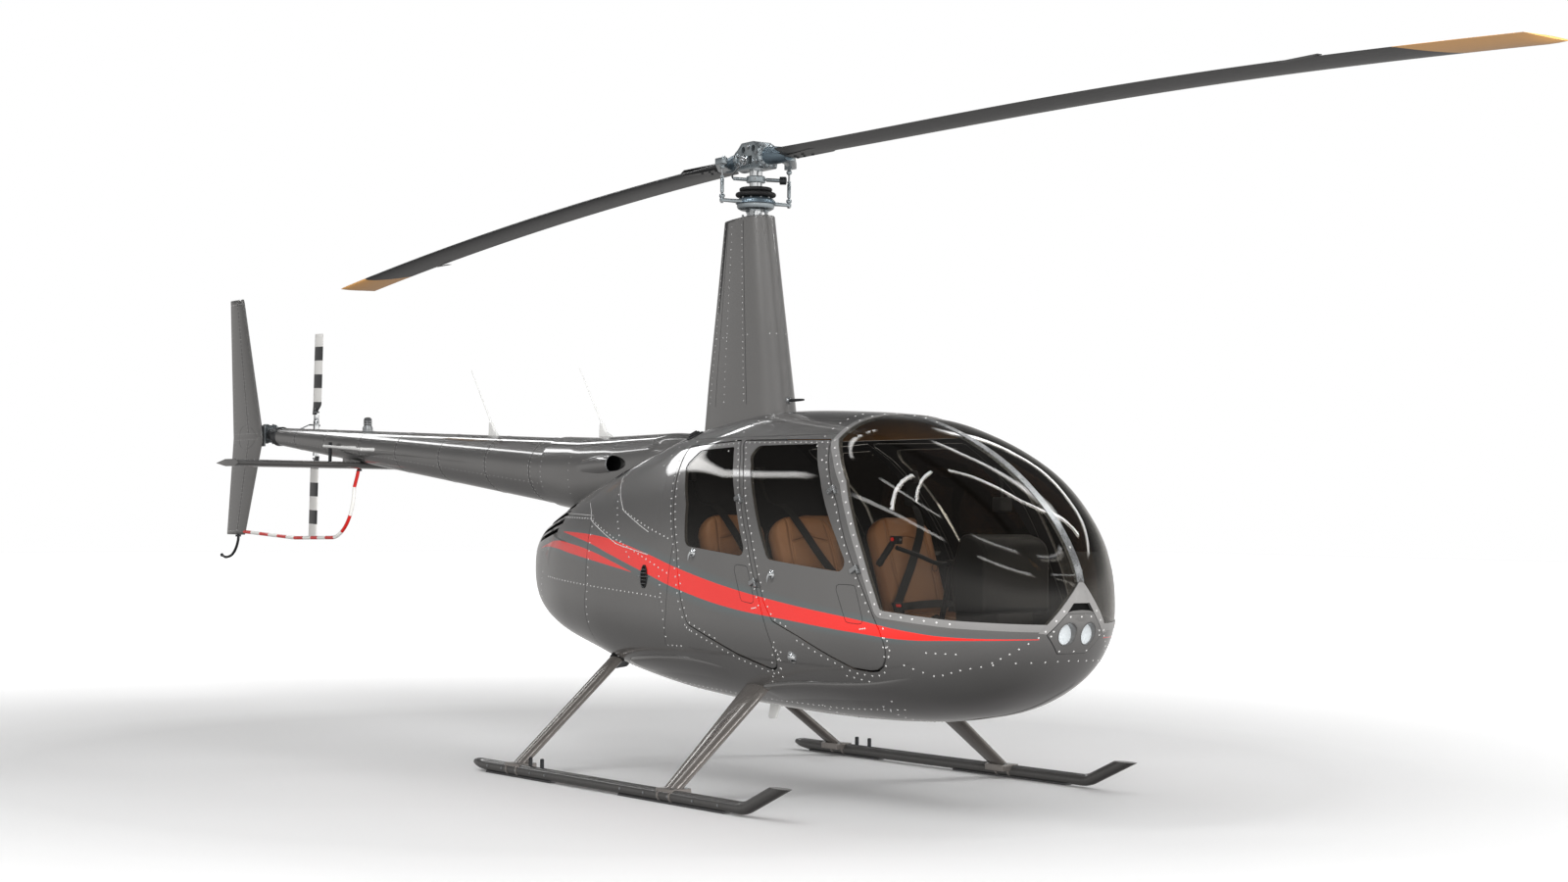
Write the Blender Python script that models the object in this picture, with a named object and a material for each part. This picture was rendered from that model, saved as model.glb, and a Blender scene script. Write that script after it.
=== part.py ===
"""Light four-seat piston helicopter on skids, with a two-blade main rotor on a tall mast tower.

The nose points to -Y, the port side is +X and Z is up. The skids stand on the plane Z = 0. Sizes and
places are in metres, and a point is measured from a datum in the mast tower, GROUND_Z below the ground.
"""
import math

import bpy
import bmesh
import numpy as np
from mathutils import Matrix, Vector

# Overall
ROTOR_RADIUS = 5.029
TAIL_ROTOR_RADIUS = 0.737
REST_TURN = math.radians(-2.6)
ROTOR_Y = -0.045
BLADE_CHORD = 0.254
BLADE_LEAD = 0.0635
STINGER_TIP_Y = 6.49
STINGER_RADIUS = 0.011
STINGER_END_Y = 6.4917
FRONT_TIP_Y = ROTOR_Y - ROTOR_RADIUS * math.cos(REST_TURN) + BLADE_LEAD * math.sin(REST_TURN)
MAST_Y = -(FRONT_TIP_Y + STINGER_END_Y) / 2
GROUND_Z = 0.057
SEAT_GAP = 0.0003
DOOR_GAP = 0.0055
SILL_GAP, SILL_BELOW_Z = 0.0040, 0.800
AFT_GAP, AFT_REACH = 0.0045, 0.130
WALL = 0.018
GLASS = 0.005
GLASS_INSET = 0.003
SIDES = {"right": -1, "left": 1}
FAR = 9.0

# Cabin and engine cowl: y, half width, top, bottom, widest height, fullness above, fullness below
SECTIONS = (
    (-2.475, 0.000, 1.060, 1.000, 1.010, 2.00, 2.00),
    (-2.400, 0.268, 1.270, 0.775, 1.000, 2.30, 2.10),
    (-2.200, 0.455, 1.490, 0.595, 0.980, 2.75, 2.20),
    (-1.900, 0.575, 1.690, 0.485, 0.960, 3.00, 2.30),
    (-1.600, 0.625, 1.815, 0.445, 0.950, 2.90, 2.35),
    (-1.400, 0.640, 1.870, 0.435, 0.950, 2.80, 2.40),
    (-1.100, 0.645, 1.905, 0.430, 0.950, 2.60, 2.40),
    (-0.500, 0.645, 1.925, 0.445, 0.970, 2.40, 2.40),
    (0.000, 0.635, 1.880, 0.475, 1.000, 2.30, 2.40),
    (0.500, 0.595, 1.760, 0.535, 1.040, 2.30, 2.40),
    (1.000, 0.515, 1.600, 0.630, 1.080, 2.30, 2.30),
    (1.400, 0.390, 1.460, 0.720, 1.100, 2.30, 2.50),
    (1.700, 0.245, 1.345, 0.835, 1.110, 2.40, 2.60),
    (1.830, 0.130, 1.270, 0.950, 1.120, 2.40, 2.50),
    (1.860, 0.000, 1.150, 1.090, 1.125, 2.00, 2.00),
)
NOSE_Y = SECTIONS[0][0]
COWL_END_Y = SECTIONS[-1][0]
HULL_STATIONS = 26
HULL_SIDES = 32

# Outlines in side view: y, z, corner radius
FRONT_DOOR = (
    (-0.532, 1.768, 0.010), (-1.240, 1.758, 0.030), (-1.363, 1.604, 0.0), (-1.490, 1.450, 0.0),
    (-1.572, 1.294, 0.0), (-1.717, 1.044, 0.0), (-1.800, 0.890, 0.0), (-1.865, 0.690, 0.110),
    (-1.600, 0.712, 0.0), (-1.259, 0.843, 0.0), (-1.072, 0.905, 0.020), (-1.006, 0.991, 0.0),
    (-0.875, 1.285, 0.0), (-0.695, 1.587, 0.0), (-0.625, 1.684, 0.0),
)
REAR_DOOR = (
    (-0.505, 1.768, 0.010), (-0.595, 1.684, 0.0), (-0.665, 1.587, 0.0), (-0.845, 1.285, 0.0),
    (-0.960, 1.020, 0.0), (-1.050, 0.800, 0.0), (-1.075, 0.655, 0.060), (-0.753, 0.734, 0.0),
    (-0.370, 0.862, 0.050), (-0.320, 0.980, 0.0), (-0.259, 1.229, 0.0), (-0.099, 1.587, 0.0),
    (-0.030, 1.745, 0.020),
)
FRONT_WINDOW = (
    (-0.618, 1.738, 0.040), (-1.165, 1.738, 0.040), (-1.310, 1.580, 0.0), (-1.520, 1.295, 0.0),
    (-1.622, 1.140, 0.040), (-1.020, 1.192, 0.060), (-0.837, 1.469, 0.0), (-0.714, 1.642, 0.0),
)
REAR_WINDOW = (
    (-0.490, 1.735, 0.035), (-0.555, 1.662, 0.0), (-0.700, 1.460, 0.0), (-0.850, 1.200, 0.030),
    (-0.330, 1.246, 0.060), (-0.271, 1.449, 0.0), (-0.130, 1.650, 0.030), (-0.180, 1.724, 0.030),
)
WINDSHIELD = (
    (-1.290, 2.200, 0.0), (-1.290, 1.760, 0.0), (-1.370, 1.690, 0.0), (-1.500, 1.562, 0.0),
    (-1.590, 1.415, 0.0), (-1.690, 1.235, 0.0), (-1.770, 1.060, 0.0), (-1.805, 0.980, 0.020),
    (-2.150, 0.947, 0.0), (-2.600, 0.925, 0.0), (-2.600, 2.200, 0.0),
)
STRIP_HALF_WIDTH = 0.020
NOSE_APEX_Z = 1.130
NOSE_FOOT = (0.235, 0.860)

# Cabin parts
ROOF_SEAM_Z = 1.785
FIREWALL_FOOT = (-0.220, 0.450)
FIREWALL_HEAD = (0.050, 1.900)
FIREWALL_THICKNESS = 0.012
FLOOR_Z = 0.600
FLOOR_THICKNESS = 0.020
LAMP_X, LAMP_Z, LAMP_RADIUS = 0.062, 0.890, 0.052
LAMP_DEPTH = 0.090
SLOT_Z, SLOT_HALF_WIDTH, SLOT_HEIGHT = 1.005, 0.045, 0.026
DOOR_SWING_X = (0.200, 0.900)

# Hinges on the posts, the upper one first: y, z of the pin, and how far aft of it the door starts
HINGES = {
    "front": ((-1.453, 1.520, 0.023), (-1.672, 1.160, 0.024)),
    "rear": ((-0.740, 1.480, 0.014), (-0.947, 1.080, 0.016)),
}
HINGE_OUTBOARD = 0.012
KNUCKLE_RADIUS = 0.007
KNUCKLE_LENGTH = 0.022
KNUCKLE_GAP = 0.0005
KNUCKLE_FOOT = 0.024
DOOR_ARM_REACH, DOOR_ARM_DEPTH, DOOR_ARM_LOW = 0.020, 0.022, 0.001

# Tail
CONE_FRONT_Y, CONE_END_Y = 1.150, 5.580
CONE_FRONT_Z, CONE_END_Z = 1.596, 1.925
CONE_FRONT_RADIUS, CONE_END_RADIUS = 0.216, 0.060
CONE_WALL = 0.004
TAIL_AXIS_Y, TAIL_AXIS_Z = 5.888, 1.950
TAIL_HUB_X, TAIL_SHAFT_X = 0.440, 0.300
TAIL_REST_TURN = math.radians(1.7)
STABILISER_Z = 1.706
BAR_X = 0.220
BEACON_Y = 4.240
# y lead, y trail, height, thickness
FIN_STATIONS = ((6.170, 6.390, 2.930, 0.034), (5.820, 6.300, 1.925, 0.062), (6.090, 6.390, 1.226, 0.036))
FIN_X = -0.010

# Rotor head
MAST_RADIUS = 0.034
MAST_TOP_Z = 3.220
HUB_Z = 3.262
TOWER_TOP_Z = 2.950
# height, leading edge, trailing edge, half width
TOWER_STATIONS = (
    (1.750, -0.385, 0.400, 0.105), (2.100, -0.322, 0.355, 0.096), (2.500, -0.250, 0.290, 0.084),
    (TOWER_TOP_Z, -0.172, 0.222, 0.070),
)
SWASH_Z = 3.016
HORN_X, HORN_Y = 0.200, 0.015
HORN_LOW_Z, HORN_HIGH_Z = 3.214, 3.246
BLADE_ROOT = 0.300
BLADE_THICKNESS = 0.030
# y and z of the hub's cheeks
HUB_OUTLINE = ((-0.115, 3.196), (0.115, 3.196), (0.115, 3.290), (0.055, 3.338), (-0.055, 3.338),
               (-0.115, 3.290))
# radius, chord, height of the front blade, height of the rear blade
BLADE_STATIONS = (
    (0.300, 0.130, 3.245, 3.247), (0.460, 0.254, 3.240, 3.243), (1.000, 0.254, 3.233, 3.226),
    (2.000, 0.254, 3.221, 3.178), (3.000, 0.254, 3.200, 3.114), (4.000, 0.254, 3.158, 3.033),
    (5.029, 0.254, 3.093, 2.935),
)

# Skids
SKID_X = 1.060
SKID_RADIUS = 0.030
SHOE_THICKNESS = 0.006
SHOE_LOW_Z = GROUND_Z
SKID_Z = GROUND_Z + SHOE_THICKNESS + SKID_RADIUS
TOE_START_Y, TOE_RADIUS, TOE_ANGLE, TOE_LENGTH = -1.400, 0.200, math.radians(24), 0.320
TOE_CUT_Z = 0.207
HEEL_Y = 0.940
WHEEL_LUGS_Y = (0.272, 0.382)
# top and foot, each as x, y, z, chord
LEGS = {
    "front": ((0.385, -0.747, 0.660, 0.215), (1.060, -0.826, 0.092, 0.120)),
    "rear": ((0.270, 0.669, 0.715, 0.118), (1.060, 0.545, 0.094, 0.100)),
}
LEG_THICKNESS = 0.042

# Finishes: colour, roughness, metallic
FINISHES = {
    "body_grey": ((0.12, 0.12, 0.125, 1), 0.25, 0.5),
    "dark_grey": ((0.03, 0.03, 0.032, 1), 0.30, 0.3),
    "black": ((0.01, 0.01, 0.01, 1), 0.50, 0.0),
    "steel": ((0.55, 0.58, 0.60, 1), 0.30, 1.0),
    "glass": ((0.05, 0.05, 0.05, 1), 0.05, 0.0),
    "leather": ((0.24, 0.10, 0.045, 1), 0.55, 0.0),
    "white": ((0.85, 0.85, 0.85, 1), 0.40, 0.0),
    "red": ((0.70, 0.02, 0.01, 1), 0.40, 0.0),
}


def material(finish):
    """Return the Principled material of a finish, made on first use."""
    found = bpy.data.materials.get(finish)
    if found:
        return found
    colour, roughness, metallic = FINISHES[finish]
    made = bpy.data.materials.new(finish)
    made.use_nodes = True
    surface = made.node_tree.nodes["Principled BSDF"]
    surface.inputs["Base Color"].default_value = colour
    surface.inputs["Roughness"].default_value = roughness
    surface.inputs["Metallic"].default_value = metallic
    return made


def empty(name, parent=None, place=(0, 0, 0), turn=(0, 0, 0)):
    made = bpy.data.objects.new(name, None)
    made.parent = parent
    made.location = place
    made.rotation_euler = turn
    bpy.context.collection.objects.link(made)
    return made


def solid(name, shape, finish, parent, smooth=40):
    """Add a closed shape, which is (points, faces), as an object."""
    points, faces = shape
    mesh = bpy.data.meshes.new(name)
    mesh.from_pydata([tuple(p) for p in points], [], [tuple(f) for f in faces])
    work = bmesh.new()
    work.from_mesh(mesh)
    bmesh.ops.recalc_face_normals(work, faces=work.faces)
    work.to_mesh(mesh)
    work.free()
    mesh.materials.append(material(finish))
    mesh.shade_smooth()
    mesh.set_sharp_from_angle(angle=math.radians(smooth))
    made = bpy.data.objects.new(name, mesh)
    made.parent = parent
    bpy.context.collection.objects.link(made)
    return made


def guide(name, shape, parent):
    """Add a shape that only cuts or joins others."""
    made = solid(name, shape, "steel", parent)
    made.hide_render = True
    made.display_type = "WIRE"
    return made


def combine(target, operand, operation):
    step = target.modifiers.new(operation.title(), "BOOLEAN")
    step.operation = operation
    step.object = operand
    step.solver = "EXACT"


def cut(target, *operands):
    for operand in operands:
        combine(target, operand, "DIFFERENCE")


def keep(target, *operands):
    for operand in operands:
        combine(target, operand, "INTERSECT")


def fuse(target, *operands):
    for operand in operands:
        combine(target, operand, "UNION")


def together(*shapes):
    """Join shapes that don't touch into one list of points and faces."""
    points, faces = [], []
    for shape_points, shape_faces in shapes:
        start = len(points)
        points.extend(shape_points)
        faces.extend([tuple(start + i for i in face) for face in shape_faces])
    return points, faces


def box(low, high):
    xs, ys, zs = zip(low, high)
    points = [(x, y, z) for z in zs for y in ys for x in xs]
    faces = [(0, 1, 3, 2), (4, 5, 7, 6), (0, 1, 5, 4), (2, 3, 7, 6), (0, 2, 6, 4), (1, 3, 7, 5)]
    return points, faces


def loft(rings):
    """Join rings of equal count into a solid with flat ends; a ring of one point closes to a tip."""
    points, faces, starts = [], [], []
    for ring in rings:
        starts.append(len(points))
        points.extend([tuple(p) for p in ring])
    for k in range(len(rings) - 1):
        a, b = len(rings[k]), len(rings[k + 1])
        for i in range(max(a, b)):
            j = (i + 1) % max(a, b)
            if a == 1:
                faces.append((starts[k], starts[k + 1] + i, starts[k + 1] + j))
            elif b == 1:
                faces.append((starts[k] + i, starts[k + 1], starts[k] + j))
            else:
                faces.append((starts[k] + i, starts[k + 1] + i, starts[k + 1] + j, starts[k] + j))
    for k in (0, len(rings) - 1):
        if len(rings[k]) > 2:
            faces.append(tuple(starts[k] + i for i in range(len(rings[k]))))
    return points, faces


def prism(outline, axis, low, high):
    """Extrude an outline of (a, b) points along axis X (a=y, b=z), Y (a=x, b=z) or Z (a=x, b=y)."""
    place = {
        "X": lambda a, b, c: (c, a, b),
        "Y": lambda a, b, c: (a, c, b),
        "Z": lambda a, b, c: (a, b, c),
    }[axis]
    return loft([[place(a, b, c) for a, b in outline] for c in (low, high)])


def frame_along(direction):
    """Two unit vectors square to a direction."""
    direction = Vector(direction).normalized()
    side = direction.cross(Vector((0, 0, 1)))
    if side.length < 0.1:
        side = direction.cross(Vector((0, 1, 0)))
    side.normalize()
    return side, side.cross(direction)


def ring_at(centre, direction, radius, sides, squash=1.0):
    side, up = frame_along(direction)
    turns = [2 * math.pi * i / sides for i in range(sides)]
    return [Vector(centre) + radius * (math.cos(t) * side + squash * math.sin(t) * up) for t in turns]


def rod(start, end, radius, end_radius=None, sides=16):
    along = Vector(end) - Vector(start)
    last = radius if end_radius is None else end_radius
    return loft([ring_at(start, along, radius, sides), ring_at(end, along, last, sides)])


def tube(path, radius, sides=10, radii=None):
    """Sweep a circle along a path of points that lies in one upright plane."""
    path = [Vector(p) for p in path]
    rings = []
    for k, point in enumerate(path):
        ahead = path[min(k + 1, len(path) - 1)] - path[max(k - 1, 0)]
        rings.append(ring_at(point, ahead, radii[k] if radii else radius, sides))
    return loft(rings)


def arc(centre, radius, start, end, steps):
    turns = [start + (end - start) * i / steps for i in range(steps + 1)]
    return [(centre[0] + radius * math.cos(t), centre[1] + radius * math.sin(t)) for t in turns]


def rounded(outline, steps=3):
    """Turn (a, b, radius) corners into points, with an arc where the radius isn't 0."""
    points = []
    for i, (a, b, radius) in enumerate(outline):
        corner = Vector((a, b))
        if not radius:
            points.append(corner)
            continue
        before = (Vector(outline[i - 1][:2]) - corner).normalized()
        after = (Vector(outline[(i + 1) % len(outline)][:2]) - corner).normalized()
        half = before.angle(after) / 2
        centre = corner + (before + after).normalized() * radius / math.sin(half)
        start = corner + before * radius / math.tan(half) - centre
        end = corner + after * radius / math.tan(half) - centre
        sweep = start.angle_signed(end)
        for k in range(steps + 1):
            points.append(centre + Matrix.Rotation(-sweep * k / steps, 2) @ start)
    return points


def grow(points, distance):
    """Move each side of a closed outline outwards."""
    points = [Vector(p) for p in points]
    area = sum(p.x * q.y - q.x * p.y for p, q in zip(points, points[1:] + points[:1]))
    outward = distance if area > 0 else -distance
    moved = []
    for i, point in enumerate(points):
        before = (point - points[i - 1]).normalized()
        after = (points[(i + 1) % len(points)] - point).normalized()
        normals = Vector((before.y, -before.x)), Vector((after.y, -after.x))
        mitre = (normals[0] + normals[1]).normalized()
        moved.append(point + mitre * outward / max(0.3, mitre.dot(normals[1])))
    return moved


def smooth_curve(at, places, values):
    """Read a monotone cubic curve through (places, values) at the places asked for."""
    step = np.diff(places)
    slope = np.diff(values) / step
    tangent = np.zeros(len(places))
    tangent[0], tangent[-1] = slope[0], slope[-1]
    for k in range(1, len(places) - 1):
        if slope[k - 1] * slope[k] > 0:
            a, b = 2 * step[k] + step[k - 1], step[k] + 2 * step[k - 1]
            tangent[k] = (a + b) / (a / slope[k - 1] + b / slope[k])
    k = np.clip(np.searchsorted(places, at) - 1, 0, len(step) - 1)
    t = (at - places[k]) / step[k]
    start = (1 + 2 * t) * (1 - t) ** 2 * values[k] + t * (1 - t) ** 2 * step[k] * tangent[k]
    return start + t * t * (3 - 2 * t) * values[k + 1] + t * t * (t - 1) * step[k] * tangent[k + 1]


def signed_power(value, power):
    return np.sign(value) * np.abs(value) ** power


def hull(inset=0.0):
    """The outer surface of cabin and cowl, or one that lies a distance inside it."""
    table = np.array(SECTIONS)
    middle, half = (NOSE_Y + COWL_END_Y) / 2, (COWL_END_Y - NOSE_Y) / 2
    places = np.arccos(np.clip((middle - table[:, 0]) / half, -1, 1))
    stations = np.linspace(0, math.pi, HULL_STATIONS)
    columns = [smooth_curve(stations, places, table[:, c])[:, None] for c in range(1, 7)]
    width, top, bottom, belt, above, below = columns
    turn = np.linspace(0, 2 * math.pi, HULL_SIDES, endpoint=False)[None, :]
    upper = np.cos(turn) >= 0
    fullness = 2 / np.where(upper, above, below)
    grid = np.zeros((HULL_STATIONS, HULL_SIDES, 3))
    grid[..., 0] = width * signed_power(np.sin(turn), fullness)
    grid[..., 1] = middle - half * np.cos(stations)[:, None]
    height = np.where(upper, top - belt, belt - bottom)
    grid[..., 2] = belt + height * signed_power(np.round(np.cos(turn), 9), fullness)
    along = np.gradient(grid, axis=0)
    around = np.roll(grid, -1, axis=1) - np.roll(grid, 1, axis=1)
    normal = np.cross(around, along)
    normal /= np.maximum(np.linalg.norm(normal, axis=2, keepdims=True), 1e-9)
    grid = grid - inset * normal
    rings = [list(map(tuple, ring)) for ring in grid[1:-1]]
    nose = [(0, NOSE_Y + inset, (top[0, 0] + bottom[0, 0]) / 2)]
    tail = [(0, COWL_END_Y - inset, (top[-1, 0] + bottom[-1, 0]) / 2)]
    points, faces = loft([nose] + rings + [tail])
    flat = []
    for face in faces:
        flat.extend([face[:3], (face[0], *face[2:])] if len(face) == 4 else [face])
    return points, flat


def skin_x(y, z):
    """Half width of the outer surface at a place on its side."""
    table = np.array(SECTIONS)
    width, top, bottom, belt, above, below = [np.interp(y, table[:, 0], table[:, c]) for c in range(1, 7)]
    reach, power = ((top - belt), above) if z >= belt else ((belt - bottom), below)
    return width * max(0.0, 1 - abs((z - belt) / reach) ** power) ** (1 / power)


def firewall_y(z):
    (y0, z0), (y1, z1) = FIREWALL_FOOT, FIREWALL_HEAD
    return y0 + (y1 - y0) * (z - z0) / (z1 - z0)


def firewall_side(offset, forward=True):
    """Half space ahead of or behind the slanted firewall plane, as a prism."""
    low, high = -1.0, 4.0
    reach = -FAR if forward else FAR
    outline = [(firewall_y(low) + offset, low), (firewall_y(high) + offset, high), (reach, high),
               (reach, low)]
    return prism(outline, "X", -2, 2)


def hinge_frame(side, door):
    """Axis of a door's hinges: matrix at each hinge with local Z up the axis, X outboard, Y aft."""
    sign = SIDES[side]
    points = []
    for y, z, start in HINGES[door]:
        points.append(Vector((sign * (skin_x(y, z) + HINGE_OUTBOARD), y, z)))
    upward = (points[0] - points[1]).normalized()
    aft = (Vector((0, 1, 0)) - upward * upward.y).normalized()
    outboard = aft.cross(upward) if sign > 0 else upward.cross(aft)
    frames = []
    for point in points:
        frames.append(Matrix.Translation(point) @ Matrix((outboard, aft, upward)).transposed().to_4x4())
    return frames


def moved(shape, matrix):
    points, faces = shape
    return [tuple(matrix @ Vector(p)) for p in points], faces


def body_knuckle(frame):
    """Knuckle below the joint, its base let into the post."""
    outline = arc((0, 0), KNUCKLE_RADIUS, -math.pi / 2, math.pi / 2, 6)
    outline += [(-KNUCKLE_FOOT, KNUCKLE_RADIUS), (-KNUCKLE_FOOT, -KNUCKLE_RADIUS)]
    return moved(prism(outline, "Z", -KNUCKLE_LENGTH, -KNUCKLE_GAP / 2), frame)


def door_knuckle(frame, start):
    """Knuckle above the joint, on an arm that passes over the post to the door."""
    outline = arc((0, 0), KNUCKLE_RADIUS, 0, -math.pi, 6)
    end = start + DOOR_ARM_REACH
    outline += [(-DOOR_ARM_LOW, KNUCKLE_RADIUS), (-DOOR_ARM_LOW, start), (-DOOR_ARM_DEPTH, start)]
    outline += [(-DOOR_ARM_DEPTH, end), (KNUCKLE_RADIUS, end)]
    return moved(prism(outline, "Z", KNUCKLE_GAP / 2, KNUCKLE_LENGTH), frame)


def side_cutter(name, outline, side, parent, growth=0.0):
    low, high = sorted(SIDES[side] * x for x in DOOR_SWING_X)
    return guide(name, prism(grow(rounded(outline), growth), "X", low, high), parent)


def make_cabin(base):
    """Cabin body with its roof, the strip between the windshields, firewall, floor and lamps."""
    outer, inner = hull(), hull(WALL)
    hollow = guide("cabin_hollow", inner, base)
    ahead = guide("ahead_of_firewall", firewall_side(-SEAT_GAP), base)
    openings = []
    for side in SIDES:
        for door, outline in (("front", FRONT_DOOR), ("rear", REAR_DOOR)):
            # On their slanted hinges the doors drop and reach aft a little before they clear the frame.
            aft_corner = max(y for y, z, radius in outline) - AFT_REACH
            eased = [(y + AFT_GAP * (y > aft_corner), z - SILL_GAP * (z < SILL_BELOW_Z), radius)
                     for y, z, radius in outline]
            openings.append(side_cutter(f"{door}_opening_{side}", eased, side, base, DOOR_GAP / 2))
    front = guide("windshield_opening", prism(rounded(WINDSHIELD), "X", -1, 1), base)
    foot_x, foot_z = NOSE_FOOT
    wedge = [(-foot_x, foot_z), (foot_x, foot_z), (0.004, NOSE_APEX_Z), (-0.004, NOSE_APEX_Z)]
    nose_wedge = guide("nose_wedge", prism(wedge, "Y", -FAR, 0), base)
    cut(front, nose_wedge)

    body = solid("cabin_body", outer, "body_grey", base)
    cut(body, hollow)
    keep(body, ahead)
    above = guide("above_roof_seam", box((-1, -1.6, ROOF_SEAM_Z - SEAT_GAP), (1, 1, 3)), base)
    cut(body, above, front, *openings)
    holes = [rod((sign * LAMP_X, -3, LAMP_Z), (sign * LAMP_X, -2.2, LAMP_Z), LAMP_RADIUS + SEAT_GAP, sides=20)
             for sign in SIDES.values()]
    slot = box((-SLOT_HALF_WIDTH, -3, SLOT_Z), (SLOT_HALF_WIDTH, -2.3, SLOT_Z + SLOT_HEIGHT))
    cut(body, guide("nose_holes", together(*holes, slot), base))
    for side in SIDES:
        for door in HINGES:
            for number, frame in enumerate(hinge_frame(side, door)):
                fuse(body, guide(f"body_knuckle_{side}_{door}_{number}", body_knuckle(frame), base))

    roof = solid("cabin_roof", outer, "dark_grey", base)
    cut(roof, hollow)
    keep(roof, ahead, guide("roof_zone", box((-1, -1.6, ROOF_SEAM_Z + SEAT_GAP), (1, 1, 3)), base))
    cut(roof, guide("roof_front_edge", box((-1, -FAR, 0), (1, WINDSHIELD[0][0], 3)), base))

    strip = solid("windshield_strip", outer, "steel", base)
    cut(strip, hollow)
    strip_box = box((-STRIP_HALF_WIDTH, -3, NOSE_APEX_Z - 0.012),
                    (STRIP_HALF_WIDTH, WINDSHIELD[0][0] - SEAT_GAP, 3))
    keep(strip, guide("strip_zone", strip_box, base))
    grown_wedge = [(a * 1.01, b + SEAT_GAP * 2) for a, b in wedge]
    cut(strip, guide("strip_foot", prism(grown_wedge, "Y", -FAR, 0), base))

    wall = solid("firewall", hull(WALL + SEAT_GAP), "steel", base)
    low, high = -FIREWALL_THICKNESS - SEAT_GAP, -SEAT_GAP
    outline = [(firewall_y(0) + low, 0), (firewall_y(0) + high, 0),
               (firewall_y(3) + high, 3), (firewall_y(3) + low, 3)]
    keep(wall, guide("firewall_slab", prism(outline, "X", -1, 1), base))
    return hollow


def make_windshields(base):
    inner = guide("windshield_back", hull(GLASS_INSET + GLASS), base)
    outline = grow(rounded(WINDSHIELD), -SEAT_GAP)
    foot_x, foot_z = NOSE_FOOT
    lift = 0.0006
    for side, sign in SIDES.items():
        pane = solid(f"windshield_{side}", hull(GLASS_INSET), "glass", base)
        cut(pane, inner)
        low, high = sorted((sign * (STRIP_HALF_WIDTH + SEAT_GAP), sign * 1.0))
        keep(pane, guide(f"windshield_zone_{side}", prism(outline, "X", low, high), base))
        wedge = [(-foot_x - lift, foot_z), (foot_x + lift, foot_z), (0.004 + lift, NOSE_APEX_Z + lift),
                 (-0.004 - lift, NOSE_APEX_Z + lift)]
        cut(pane, guide(f"windshield_foot_{side}", prism(wedge, "Y", -FAR, 0), base))


def make_doors(base, hollow):
    """Four doors on slanted hinges, each with its window pane."""
    back = guide("door_glass_back", hull(GLASS_INSET + GLASS), base)
    for side in SIDES:
        for door, outline, window in (("front", FRONT_DOOR, FRONT_WINDOW), ("rear", REAR_DOOR, REAR_WINDOW)):
            name = f"{door}_door_{side}"
            panel = solid(name, hull(), "body_grey", base)
            keep(panel, side_cutter(f"{name}_zone", outline, side, base, -DOOR_GAP / 2))
            cut(panel, hollow)
            cut(panel, side_cutter(f"{name}_opening", window, side, base))
            for number, frame in enumerate(hinge_frame(side, door)):
                knuckle = door_knuckle(frame, HINGES[door][number][2])
                fuse(panel, guide(f"{name}_knuckle_{number}", knuckle, base))
            pane = solid(f"{name}_glass", hull(GLASS_INSET), "glass", base)
            keep(pane, side_cutter(f"{name}_glass_zone", window, side, base, -SEAT_GAP))
            cut(pane, back)


def make_floor(base):
    """Floor plate with the boxes that carry the seats, fitted to the inner wall."""
    plate = box((-0.7, -2.15, FLOOR_Z - FLOOR_THICKNESS), (0.7, 0.2, FLOOR_Z))
    floor = solid("cabin_floor", plate, "black", base)
    low = FLOOR_Z - 0.005
    boxes = {
        "front_seat_box_right": ((-0.540, -1.400, low), (-0.075, -0.900, 0.800)),
        "front_seat_box_left": ((0.075, -1.400, low), (0.540, -0.900, 0.800)),
        "rear_seat_box": ((-0.580, -0.640, low), (0.580, 0.1, 0.800)),
        "tunnel": ((-0.070, -1.700, low), (0.070, -0.600, 0.680)),
    }
    for name, (start, end) in boxes.items():
        fuse(floor, guide(name, box(start, end), base))
    ahead = firewall_side(-FIREWALL_THICKNESS - 2 * SEAT_GAP)
    keep(floor, guide("floor_outline", hull(WALL + SEAT_GAP), base), guide("floor_end", ahead, base))


def make_seats(base):
    """Seat cushion and back as one soft solid each: y of the cushion's front, y of the back's foot."""
    top = 0.800 + SEAT_GAP
    for row, front, foot, lean in (("front", -1.400, -0.960, 0.130), ("rear", -0.640, -0.300, 0.085)):
        outline = [
            (front, top, 0.0), (foot + 0.060, top, 0.0), (foot + 0.110 + lean, top + 0.600, 0.040),
            (foot + 0.010 + lean, top + 0.600, 0.040), (foot - 0.060, top + 0.130, 0.040),
            (front, top + 0.110, 0.040),
        ]
        for side, sign in SIDES.items():
            centre = sign * (0.305 if row == "front" else 0.275)
            shape = prism(rounded(outline), "X", centre - 0.215, centre + 0.215)
            seat = solid(f"{row}_seat_{side}", shape, "leather", base)
            keep(seat, guide(f"{row}_seat_{side}_room", hull(WALL + 0.012), base))


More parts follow.
